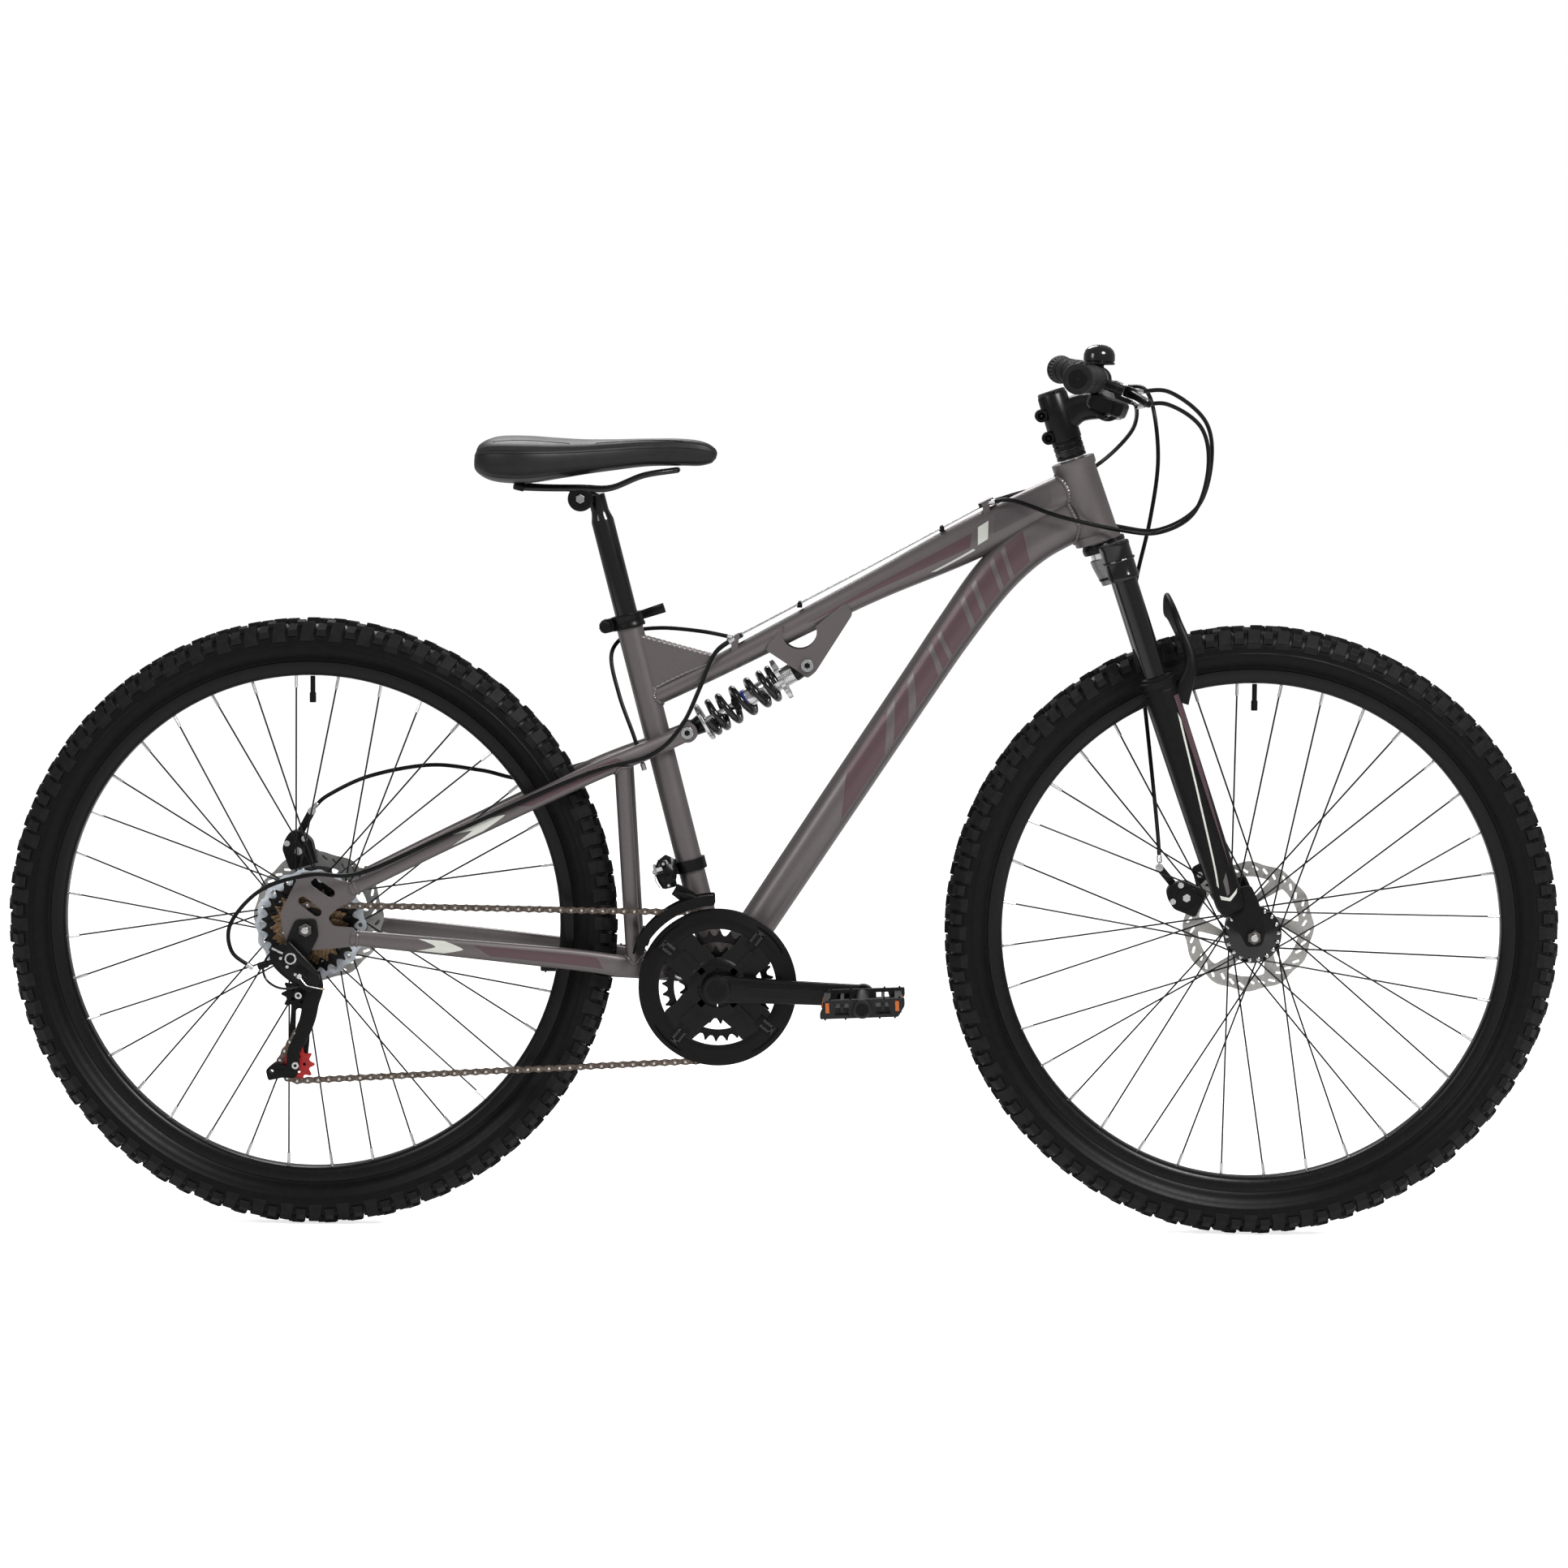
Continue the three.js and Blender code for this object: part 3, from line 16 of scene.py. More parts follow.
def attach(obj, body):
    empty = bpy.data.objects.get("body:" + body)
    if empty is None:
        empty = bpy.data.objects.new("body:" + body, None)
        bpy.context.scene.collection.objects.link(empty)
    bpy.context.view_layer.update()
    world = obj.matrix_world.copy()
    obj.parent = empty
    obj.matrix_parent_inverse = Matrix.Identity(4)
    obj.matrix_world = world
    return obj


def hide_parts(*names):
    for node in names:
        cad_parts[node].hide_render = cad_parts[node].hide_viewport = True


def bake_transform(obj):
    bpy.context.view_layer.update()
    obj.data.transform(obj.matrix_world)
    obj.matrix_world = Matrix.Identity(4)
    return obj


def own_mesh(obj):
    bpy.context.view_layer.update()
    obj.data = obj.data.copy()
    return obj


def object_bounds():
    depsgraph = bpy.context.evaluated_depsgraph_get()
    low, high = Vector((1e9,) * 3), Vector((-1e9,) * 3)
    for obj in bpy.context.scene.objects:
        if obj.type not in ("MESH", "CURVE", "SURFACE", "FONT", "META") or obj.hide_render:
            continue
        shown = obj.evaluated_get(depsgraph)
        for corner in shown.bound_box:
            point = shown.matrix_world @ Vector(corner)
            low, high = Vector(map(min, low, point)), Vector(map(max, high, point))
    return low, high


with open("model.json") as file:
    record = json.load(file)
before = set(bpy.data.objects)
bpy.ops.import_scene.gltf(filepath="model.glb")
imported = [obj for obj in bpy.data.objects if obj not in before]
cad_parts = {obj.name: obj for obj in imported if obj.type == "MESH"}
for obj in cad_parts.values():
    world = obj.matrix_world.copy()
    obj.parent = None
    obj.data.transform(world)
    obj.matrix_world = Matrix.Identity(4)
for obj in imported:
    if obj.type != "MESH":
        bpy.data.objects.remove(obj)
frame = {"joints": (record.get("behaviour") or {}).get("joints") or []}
bounds_at_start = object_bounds()

MM = 0.001
X, Y, Z = Vector((1, 0, 0)), Vector((0, 1, 0)), Vector((0, 0, 1))
RIGHT, LEFT = -1, 1
TURN = 2 * math.pi
JOINTS = {joint["name"]: joint for joint in frame["joints"]}


def pivot(joint):
    return Vector(JOINTS[joint]["pos_m"]) / MM


def direction(joint):
    return Vector(JOINTS[joint]["axis"]).normalized()


def at_y(point, y):
    return Vector((point[0], y, point[-1]))


REAR_AXLE = pivot("rear_wheel_spin")
FRONT_AXLE = pivot("front_wheel_spin")
CRANK = pivot("crank_spin")
SWING_PIVOT = pivot("swingarm_pivot")
SHOCK_UPPER = pivot("shock_swing")
SHOCK_LENGTH = 165.3
SHOCK_UP = direction("shock_stroke")
SHOCK_LOWER = SHOCK_UPPER - SHOCK_UP * SHOCK_LENGTH
SADDLE_PIVOT = pivot("saddle_tilt")
GUIDE_PULLEY = pivot("guide_pulley_spin")
TENSION_PULLEY = pivot("tension_pulley_spin")
PEDAL_RIGHT = pivot("pedal_right_spin")
PEDAL_LEFT = pivot("pedal_left_spin")

HEAD_CENTRE = pivot("steering_turn")
HEAD_UP = direction("steering_turn")
HEAD_FORWARD = Y.cross(HEAD_UP)
SEAT_UP = direction("seatpost_height")
SEAT_FORWARD = Y.cross(SEAT_UP)

TYRE_RADIUS = 370
LEG_Y = 62
LEG_TOP = Vector((397.2, 0, 827))
STANCHION_RADIUS = 14.2
SEAT_TUBE_LENGTH = 455
SEAT_TUBE_RADIUS = 15.9
CHAIN_PITCH = 12.7
PEDAL_TILT = math.radians(2.5)
RING_TEETH, RING_FACES = (44, 32, 22), (-57.5, -50.5, -43.5)
COG_TEETH, COG_SPACING, BIG_COG_Y = (28, 24, 22, 20, 18, 16, 14), 5, -33
SMALL_COG_Y = GUIDE_PULLEY.y
PULLEY_TEETH = 10


def steer_point(up, forward=0, y=0):
    return at_y(HEAD_CENTRE + HEAD_UP * up + HEAD_FORWARD * forward, y)


def seat_point(up, forward=0, y=0):
    return at_y(CRANK + SEAT_UP * up + SEAT_FORWARD * forward, y)


def leg_point(down, y, forward=0):
    return at_y(LEG_TOP - HEAD_UP * down + HEAD_FORWARD * forward, y)


def shock_point(up, out=0, y=0):
    return at_y(SHOCK_LOWER + SHOCK_UP * up + SHOCK_UP.cross(Y) * out, y)


def angles(count, start=0.0):
    """Evenly spaced angles round a circle."""
    return [start + TURN * k / count for k in range(count)]


def radial(radius, angle, y=0):
    """A step away from a wheel's axis; the angle is measured from +X towards +Z."""
    return Vector((radius * math.cos(angle), y, radius * math.sin(angle)))


def turned_axes(angle):
    """The X and Z directions turned by an angle about Y."""
    return Vector((math.cos(angle), 0, math.sin(angle))), Vector((-math.sin(angle), 0, math.cos(angle)))


def pitch_radius(teeth):
    return CHAIN_PITCH / (2 * math.sin(math.pi / teeth))


# ---------------------------------------------------------------- camera

CAMERA_PLACE = Vector((150, -5826, 1140))
CAMERA_DOWN, CAMERA_YAW, CAMERA_ROLL = (math.radians(a) for a in (5.85, -1.45, 0.38))
CAMERA_LENS = 111.4
SENSOR_WIDTH = 36


def add_camera():
    forward = Vector((
        math.sin(CAMERA_YAW) * math.cos(CAMERA_DOWN),
        math.cos(CAMERA_YAW) * math.cos(CAMERA_DOWN),
        -math.sin(CAMERA_DOWN),
    ))
    level = forward.cross(Z).normalized()
    upright = level.cross(forward)
    right = level * math.cos(CAMERA_ROLL) + upright * math.sin(CAMERA_ROLL)
    up = upright * math.cos(CAMERA_ROLL) - level * math.sin(CAMERA_ROLL)
    camera = bpy.data.objects.new("camera", bpy.data.cameras.new("camera"))
    bpy.context.scene.collection.objects.link(camera)
    turned = Matrix((right, up, -forward)).transposed().to_4x4()
    camera.matrix_world = Matrix.Translation(CAMERA_PLACE * MM) @ turned
    camera.data.lens = CAMERA_LENS
    camera.data.sensor_width = SENSOR_WIDTH
    bpy.context.scene.camera = camera


add_camera()

# ---------------------------------------------------------------- materials


class Finish:
    """A node material: a surface whose colour, roughness and height vary by noise."""

    def __init__(self, name, color, roughness, metallic=0.0, coat=0.0, shine=0.5):
        self.material = bpy.data.materials.new(name)
        self.material.use_nodes = True
        self.tree = self.material.node_tree
        self.surface = self.tree.nodes["Principled BSDF"]
        self.set("Base Color", (*color, 1))
        self.set("Roughness", roughness)
        self.set("Metallic", metallic)
        self.set("Coat Weight", coat)
        self.set("Coat Roughness", 0.12)
        self.set("Specular IOR Level", shine)
        self.color, self.roughness = color, roughness
        self.place = self.tree.nodes.new("ShaderNodeTexCoord").outputs["Object"]
        self.height = None

    def set(self, socket, value):
        self.surface.inputs[socket].default_value = value

    def node(self, kind, **settings):
        node = self.tree.nodes.new(kind)
        for key, value in settings.items():
            if hasattr(node, key):
                setattr(node, key, value)
            else:
                node.inputs[key.replace("_", " ")].default_value = value
        return node

    def noise(self, size, detail=3.0, stretch=(1, 1, 1)):
        """Noise whose features are about size millimetres across."""
        mapping = self.node("ShaderNodeMapping")
        mapping.inputs["Scale"].default_value = stretch
        self.tree.links.new(self.place, mapping.inputs["Vector"])
        noise = self.node("ShaderNodeTexNoise", Scale=1 / (size * MM), Detail=detail)
        self.tree.links.new(mapping.outputs["Vector"], noise.inputs["Vector"])
        return noise.outputs["Fac"]

    def ramp(self, value, low, high, start=0.35, end=0.65):
        ramp = self.node("ShaderNodeValToRGB")
        ramp.color_ramp.elements[0].position = start
        ramp.color_ramp.elements[1].position = end
        ramp.color_ramp.elements[0].color = low
        ramp.color_ramp.elements[1].color = high
        self.tree.links.new(value, ramp.inputs["Fac"])
        return ramp.outputs["Color"]

    def mottle(self, size, spread, stretch=(1, 1, 1)):
        """Varies the colour by the share spread, lighter and darker."""
        dark = [c * (1 - spread) for c in self.color]
        light = [min(1, c * (1 + spread)) for c in self.color]
        color = self.ramp(self.noise(size, stretch=stretch), (*dark, 1), (*light, 1))
        self.tree.links.new(color, self.surface.inputs["Base Color"])
        return self

    def uneven(self, size, spread, stretch=(1, 1, 1)):
        """Varies the roughness by spread, up and down."""
        low, high = max(0.02, self.roughness - spread), min(1, self.roughness + spread)
        value = self.node("ShaderNodeMapRange")
        value.inputs["To Min"].default_value = low
        value.inputs["To Max"].default_value = high
        self.tree.links.new(self.noise(size, stretch=stretch), value.inputs["Value"])
        self.tree.links.new(value.outputs["Result"], self.surface.inputs["Roughness"])
        return self

    def bumpy(self, size, depth, stretch=(1, 1, 1), strength=0.5):
        """Adds bumps of size across and depth high, both in millimetres."""
        bump = self.node("ShaderNodeBump", Distance=depth * MM, Strength=strength)
        self.tree.links.new(self.noise(size, stretch=stretch), bump.inputs["Height"])
        if self.height:
            self.tree.links.new(self.height, bump.inputs["Normal"])
        self.height = bump.outputs["Normal"]
        self.tree.links.new(self.height, self.surface.inputs["Normal"])
        return self


def frame_paint():
    return (Finish("frame_paint", (0.138, 0.121, 0.122), 0.40, metallic=0.6, coat=0.12, shine=0.35)
            .mottle(0.6, 0.12).uneven(30, 0.05).bumpy(0.9, 0.02).material)


def weld_paint():
    return (Finish("weld_paint", (0.165, 0.146, 0.146), 0.38, metallic=0.6, coat=0.12, shine=0.35)
            .mottle(2, 0.1).bumpy(1.6, 0.12).material)


def decal(name, color):
    return (Finish(name, color, 0.38, metallic=0.2, coat=0.12, shine=0.35)
            .mottle(1.2, 0.06).uneven(14, 0.04).material)


def gloss_paint():
    return (Finish("gloss_black", (0.004, 0.004, 0.0045), 0.14, coat=0.2, shine=0.4)
            .uneven(20, 0.05).bumpy(4, 0.03, strength=0.25).material)


def satin_paint():
    return (Finish("satin_black", (0.0035, 0.0035, 0.0036), 0.3, shine=0.22)
            .mottle(3, 0.2).uneven(6, 0.08).bumpy(0.8, 0.03).material)


def matte_paint():
    return (Finish("matte_black", (0.004, 0.004, 0.0041), 0.42, shine=0.16)
            .mottle(5, 0.18).uneven(10, 0.07).bumpy(0.6, 0.03).material)


def plastic():
    return (Finish("moulded_black", (0.0036, 0.0036, 0.0037), 0.4, shine=0.16)
            .mottle(4, 0.15).uneven(3, 0.08).bumpy(0.45, 0.035).material)


def pedal_plastic():
    return (Finish("pedal_plastic", (0.009, 0.009, 0.0093), 0.42, shine=0.3)
            .mottle(3, 0.3).uneven(2, 0.12).bumpy(0.6, 0.06).material)


def soft_rubber(name, color, roughness, grain, depth):
    return (Finish(name, color, roughness, shine=0.14).mottle(9, 0.22).uneven(5, 0.08)
            .bumpy(grain, depth).bumpy(5, 0.05, strength=0.3).material)


def saddle_cover():
    return (Finish("saddle_cover", (0.009, 0.009, 0.0091), 0.48, shine=0.3)
            .mottle(12, 0.12).uneven(8, 0.05).bumpy(0.7, 0.09, strength=0.7).bumpy(9, 0.1, strength=0.2)
            .material)


def steel(name, color, roughness, stretch=(1, 1, 1)):
    return (Finish(name, color, roughness, metallic=1.0)
            .mottle(2.5, 0.1, stretch).uneven(1.2, 0.1, stretch).bumpy(0.5, 0.012, stretch).material)


def oiled_bronze(name, color):
    return (Finish(name, color, 0.34, metallic=0.9)
            .mottle(3, 0.45).uneven(2, 0.14).bumpy(0.6, 0.03).material)


def clear_plastic():
    finish = Finish("clear_plastic", (0.74, 0.79, 0.84), 0.16).uneven(12, 0.06).bumpy(6, 0.05)
    finish.set("Transmission Weight", 0.55)
    finish.set("IOR", 1.25)
    return finish.material


def reflector():
    finish = Finish("amber_reflector", (0.6, 0.13, 0.008), 0.2, coat=0.3).bumpy(1.6, 0.5)
    finish.set("Transmission Weight", 0.25)
    return finish.material


PAINT, WELD = frame_paint(), weld_paint()
MAROON = decal("decal_maroon", (0.088, 0.052, 0.060))
PALE = decal("decal_pale", (0.60, 0.61, 0.56))
DUSK = decal("decal_dusk", (0.100, 0.086, 0.088))
GLOSS, SATIN, MATTE, PLASTIC, PEDAL_BLACK = (
    gloss_paint(), satin_paint(), matte_paint(), plastic(), pedal_plastic())
TREAD = soft_rubber("tread_rubber", (0.008, 0.008, 0.0083), 0.5, 1.1, 0.12)
SIDEWALL = soft_rubber("sidewall_rubber", (0.0028, 0.0028, 0.0029), 0.42, 0.7, 0.06)
GRIP_RUBBER = soft_rubber("grip_rubber", (0.011, 0.011, 0.0112), 0.5, 0.6, 0.06)
HOUSING = soft_rubber("cable_housing", (0.005, 0.005, 0.0052), 0.3, 0.8, 0.02)
SEAL = soft_rubber("seal_rubber", (0.005, 0.005, 0.005), 0.36, 0.8, 0.03)
GREY = (Finish("grey_casting", (0.2, 0.195, 0.195), 0.35, metallic=0.6)
        .mottle(4, 0.1).bumpy(1, 0.03).material)
STEEL = steel("bright_steel", (0.62, 0.62, 0.63), 0.24)
ROTOR_STEEL = steel("disc_steel", (0.46, 0.45, 0.43), 0.34, (1, 0.2, 1))
CHROME = steel("chrome", (0.78, 0.78, 0.80), 0.09)
WIRE = steel("bare_wire", (0.5, 0.5, 0.5), 0.3)
DARK_STEEL = steel("dark_steel", (0.022, 0.021, 0.021), 0.36)
NUT_STEEL = steel("nut_steel", (0.13, 0.12, 0.11), 0.34)
BRONZE = oiled_bronze("bronze", (0.19, 0.125, 0.07))
CHAIN_STEEL = oiled_bronze("chain_steel", (0.135, 0.105, 0.085))
BRASS = steel("nipple_brass", (0.55, 0.47, 0.33), 0.3)
RED = Finish("red_plastic", (0.36, 0.006, 0.007), 0.35).mottle(3, 0.15).bumpy(0.6, 0.04).material
BLUE = Finish("blue_anodised", (0.03, 0.06, 0.42), 0.3, metallic=0.7).uneven(3, 0.08).material
CLEAR, AMBER = clear_plastic(), reflector()
SADDLE = saddle_cover()

# ---------------------------------------------------------------- building meshes


class Piece:
    """A mesh made part by part, in millimetres; each part has its own material."""

    def __init__(self, name):
        self.name = name
        self.points, self.faces, self.finish, self.materials = [], [], [], []

    def add(self, points, faces, material):
        first = len(self.points)
        self.points.extend(Vector(p) for p in points)
        self.faces.extend([first + i for i in face] for face in faces)
        if material not in self.materials:
            self.materials.append(material)
        self.finish.extend([self.materials.index(material)] * len(faces))

    def mesh(self):
        mesh = bpy.data.meshes.new(self.name)
        mesh.from_pydata([p * MM for p in self.points], [], self.faces)
        for material in self.materials:
            mesh.materials.append(material)
        mesh.polygons.foreach_set("material_index", self.finish)
        made = bmesh.new()
        made.from_mesh(mesh)
        bmesh.ops.recalc_face_normals(made, faces=made.faces)
        made.to_mesh(mesh)
        made.free()
        return mesh

    def build(self, body, slot, *nodes, bevel=0, crease=38):
        mesh = self.mesh()
        mesh.polygons.foreach_set("use_smooth", [True] * len(mesh.polygons))
        mesh.set_sharp_from_angle(angle=math.radians(crease))
        piece = bpy.data.objects.new(self.name, mesh)
        bpy.context.scene.collection.objects.link(piece)
        if bevel:
            soften = piece.modifiers.new("soften", "BEVEL")
            soften.width = bevel * MM
            soften.segments = 2
            soften.limit_method = "ANGLE"
            soften.angle_limit = math.radians(crease)
            soften.harden_normals = True
        if nodes:
            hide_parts(*nodes)
        if body:
            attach(piece, body)
        return piece


def between(a, b, t):
    return a + (b - a) * t


def smooth_value(values, t):
    """Catmull-Rom through evenly spaced values, t from 0 to 1."""
    place = min(max(t, 0), 1) * (len(values) - 1)
    i = min(int(place), len(values) - 2)
    f = place - i
    p1, p2 = values[i], values[i + 1]
    p0 = values[i - 1] if i > 0 else p1 * 2 - p2
    p3 = values[i + 2] if i + 2 < len(values) else p2 * 2 - p1
    return (p1 * 2 + (p2 - p0) * f + (p0 * 2 - p1 * 5 + p2 * 4 - p3) * f * f
            + (p1 * 3 - p0 - p2 * 3 + p3) * f * f * f) * 0.5


def smooth_line(points, steps):
    """Evenly spaced points along a smooth line through points."""
    places = [Vector(p) for p in points]
    fine = [smooth_value(places, i / (8 * steps)) for i in range(8 * steps + 1)]
    reach = [0]
    for a, b in zip(fine, fine[1:]):
        reach.append(reach[-1] + (b - a).length)
    line, k = [], 0
    for i in range(steps + 1):
        wanted = reach[-1] * i / steps
        while k < len(fine) - 2 and reach[k + 1] < wanted:
            k += 1
        share = (wanted - reach[k]) / max(reach[k + 1] - reach[k], 1e-9)
        line.append(between(fine[k], fine[k + 1], share))
    return line


def skin(piece, rings, material, looped=False, caps=True):
    """Joins rings of equally many points; the ends are capped unless they meet."""
    count = len(rings[0])
    faces = []
    for i in range(len(rings) if looped else len(rings) - 1):
        a, b = i * count, ((i + 1) % len(rings)) * count
        for k in range(count):
            n = (k + 1) % count
            faces.append([a + k, a + n, b + n, b + k])
    if caps and not looped:
        faces.append(list(range(count)))
        faces.append([(len(rings) - 1) * count + k for k in range(count)])
    piece.add([p for ring in rings for p in ring], faces, material)


def crosswise(axis):
    first = axis.cross(X if abs(axis.x) < 0.8 else Z).normalized()
    return first, axis.cross(first).normalized()


def lathe(piece, origin, axis, profile, material, sides=48, looped=False, start=0):
    """Turns a profile of (distance along the axis, radius) about it."""
    axis = axis.normalized()
    u, v = crosswise(axis)
    rings = []
    for along, radius in profile:
        centre = origin + axis * along
        rings.append([
            centre + (u * math.cos(a) + v * math.sin(a)) * max(radius, 0.01)
            for a in angles(sides, start)
        ])
    skin(piece, rings, material, looped)


def band(piece, origin, axis, ends, radii, material, sides):
    """A plain ring: where it starts and ends along the axis, and its inner and outer radius."""
    (low, high), (inner, outer) = ends, radii
    profile = [(low, inner), (low, outer), (high, outer), (high, inner)]
    lathe(piece, origin, axis, profile, material, sides, looped=True)


def rod(piece, a, b, radius, material, end_radius=None, sides=24, chamfer=0.4):
    """A round bar with small chamfers; six sides make a hexagon."""
    end = radius if end_radius is None else end_radius
    length = (b - a).length
    edge = min(chamfer, length / 3, radius / 2, end / 2)
    profile = [(0, radius - edge), (edge, radius), (length - edge, end), (length, end - edge)]
    lathe(piece, a, b - a, profile, material, sides)


def cross_bar(piece, at, y0, y1, radius, material, sides=24, chamfer=0.4):
    rod(piece, at_y(at, y0), at_y(at, y1), radius, material, sides=sides, chamfer=chamfer)


def bolt(piece, at, axis, radius, height, material, sides=24, socket=0.5):
    """A bolt head with a thin dark hexagon laid on its top: painted shade that stands for a hexagonal
    socket, which is not cut.
    """
    rod(piece, at, at + axis * height, radius, material, sides=sides)
    if socket:
        # No socket is sunk: this thin dark hexagon just above the head paints the shade of one.
        lathe(piece, at + axis * (height + 0.05), axis,
              [(0, radius * socket), (0.02, radius * socket * 0.98)], DARK_STEEL, 6)


def sweep(piece, line, radius, material, sides=10, looped=False, flat=1.0):
    """A tube along a line of points. The radius may be a function of 0..1 along it."""
    size = radius if callable(radius) else (lambda t: radius)
    count = len(line)
    rings, up = [], None
    for i, point in enumerate(line):
        before = line[i - 1] if i or looped else line[0]
        after = line[(i + 1) % count] if i + 1 < count or looped else line[-1]
        tangent = (after - before).normalized()
        if up is None:
            up = crosswise(tangent)[0]
        up = (up - tangent * up.dot(tangent)).normalized()
        side = tangent.cross(up)
        r = size(i / (count - 1))
        rings.append([
            point + up * (r * math.cos(a)) + side * (r * flat * math.sin(a))
            for a in angles(sides)
        ])
    skin(piece, rings, material, looped)


def circle(x, z, radius, sides=24, start=0.0):
    return [(x + radius * math.cos(a), z + radius * math.sin(a)) for a in angles(sides, start)]


def arc(x, z, radius, start, end, steps=10):
    return [(x + radius * math.cos(start + (end - start) * k / steps),
             z + radius * math.sin(start + (end - start) * k / steps)) for k in range(steps + 1)]


def stadium(ax, az, bx, bz, radius, steps=6):
    """The outline of a slot with round ends."""
    angle = math.atan2(bz - az, bx - ax)
    return (arc(bx, bz, radius, angle - math.pi / 2, angle + math.pi / 2, steps)
            + arc(ax, az, radius, angle + math.pi / 2, angle + 3 * math.pi / 2, steps))


def rounded(outline, radius, steps=3):
    """The outline with its corners cut round."""
    result = []
    for i, corner in enumerate(outline):
        here = Vector(corner)
        before, after = Vector(outline[i - 1]), Vector(outline[(i + 1) % len(outline)])
        r = min(radius, (before - here).length * 0.45, (after - here).length * 0.45)
        a = here + (before - here).normalized() * r
        b = here + (after - here).normalized() * r
        for k in range(steps + 1):
            t = k / steps
            result.append(tuple(a * (1 - t) ** 2 + here * (2 * t * (1 - t)) + b * t * t))
    return result


def plate(piece, outline, y0, y1, material, holes=(), place=None):
    """A flat plate between two heights, with holes. It lies in X and Z unless place says else."""
    where = place or (lambda x, z, y: Vector((x, y, z)))
    loops = [list(outline), *[list(hole) for hole in holes]]
    flat = [Vector((x, z, 0)) for loop in loops for x, z in loop]
    triangles = geometry.tessellate_polygon([[Vector((x, z, 0)) for x, z in loop] for loop in loops])
    count = len(flat)
    points = [where(p.x, p.y, y0) for p in flat] + [where(p.x, p.y, y1) for p in flat]
    faces = [list(t) for t in triangles] + [[i + count for i in reversed(t)] for t in triangles]
    first = 0
    for loop in loops:
        n = len(loop)
        for k in range(n):
            a, b = first + k, first + (k + 1) % n
            faces.append([a, b, b + count, a + count])
        first += n
    piece.add(points, faces, material)


def polar(x, z, shape):
    return [(x + r * math.cos(a), z + r * math.sin(a)) for r, a in shape]


def gear(x, z, teeth, depth=4.2, phase=0.0):
    """A chain wheel's outline: a hollow for each roller with a narrow tooth between."""
    radius = pitch_radius(teeth)
    step = TURN / teeth
    shape = []
    for k in range(teeth):
        a = phase + k * step
        shape += [(radius - 3.9, a - 0.12 * step), (radius - 3.9, a + 0.12 * step),
                  (radius - 1.2, a + 0.3 * step), (radius + depth - 0.8, a + 0.43 * step),
                  (radius + depth - 0.8, a + 0.57 * step), (radius - 1.2, a + 0.7 * step)]
    return polar(x, z, shape)


def box(piece, low, high, material, place=None):
    where = place or (lambda x, y, z: Vector((x, y, z)))
    corners = [where(x, y, z) for x in (low[0], high[0]) for y in (low[1], high[1])
               for z in (low[2], high[2])]
    faces = [[0, 1, 3, 2], [4, 6, 7, 5], [0, 4, 5, 1], [2, 3, 7, 6], [0, 2, 6, 4], [1, 5, 7, 3]]
    piece.add(corners, faces, material)


class Tube:
    """An oval tube along a smooth line through stations of (place, height, width)."""

    def __init__(self, stations, across=Y, power=1.0):
        self.places = [Vector(s[0]) for s in stations]
        self.tall = [float(s[1]) for s in stations]
        self.wide = [float(s[2]) for s in stations]
        self.across, self.power = across, power

    def surface(self, t, angle, lift=0.0):
        centre = smooth_value(self.places, t)
        ahead = smooth_value(self.places, min(1, t + 0.01)) - smooth_value(self.places, max(0, t - 0.01))
        tangent = ahead.normalized()
        up = tangent.cross(self.across).normalized()
        side = up.cross(tangent).normalized()
        c, s = math.cos(angle), math.sin(angle)
        c = math.copysign(abs(c) ** self.power, c)
        s = math.copysign(abs(s) ** self.power, s)
        return (centre + up * (c * (smooth_value(self.tall, t) / 2 + lift))
                + side * (s * (smooth_value(self.wide, t) / 2 + lift)))

    def loft(self, piece, material, steps=32, sides=32, start=0.0, end=1.0):
        rings = [[self.surface(start + (end - start) * i / steps, TURN * k / sides) for k in range(sides)]
                 for i in range(steps + 1)]
        skin(piece, rings, material)

    def patch(self, piece, corners, material, side, lift=0.22, steps=8):
        """A thin decal on one side. Its corners are (along, height), height from -1 to 1."""
        (a, b, c, d) = corners
        points = []
        for i in range(steps + 1):
            for k in range(steps + 1):
                u, v = i / steps, k / steps
                t = (a[0] * (1 - u) + b[0] * u) * (1 - v) + (d[0] * (1 - u) + c[0] * u) * v
                h = (a[1] * (1 - u) + b[1] * u) * (1 - v) + (d[1] * (1 - u) + c[1] * u) * v
                angle = math.acos(max(-1, min(1, h)))
                points.append(self.surface(t, angle, lift) if side > 0 else self.surface(t, -angle, lift))
        row = steps + 1
        faces = [[i * row + k, i * row + k + 1, (i + 1) * row + k + 1, (i + 1) * row + k]
                 for i in range(steps) for k in range(steps)]
        piece.add(points, faces, material)


def solid_tree(parts):
    """A search tree of the surface of what the function draws into a piece."""
    piece = Piece("target")
    parts(piece)
    mesh = piece.mesh()
    made = bmesh.new()
    made.from_mesh(mesh)
    tree = BVHTree.FromBMesh(made)
    made.free()
    bpy.data.meshes.remove(mesh)
    return tree


# How often weld() halves the gap to find where its tube comes out of the other surface.
WELD_HALVINGS = 14


def rippled(radius, count, share=0.16):
    """The radius of a weld bead along it: a ripple for every four of its points."""
    return lambda t: radius * (1 + share * math.sin(t * count * TURN / 4))


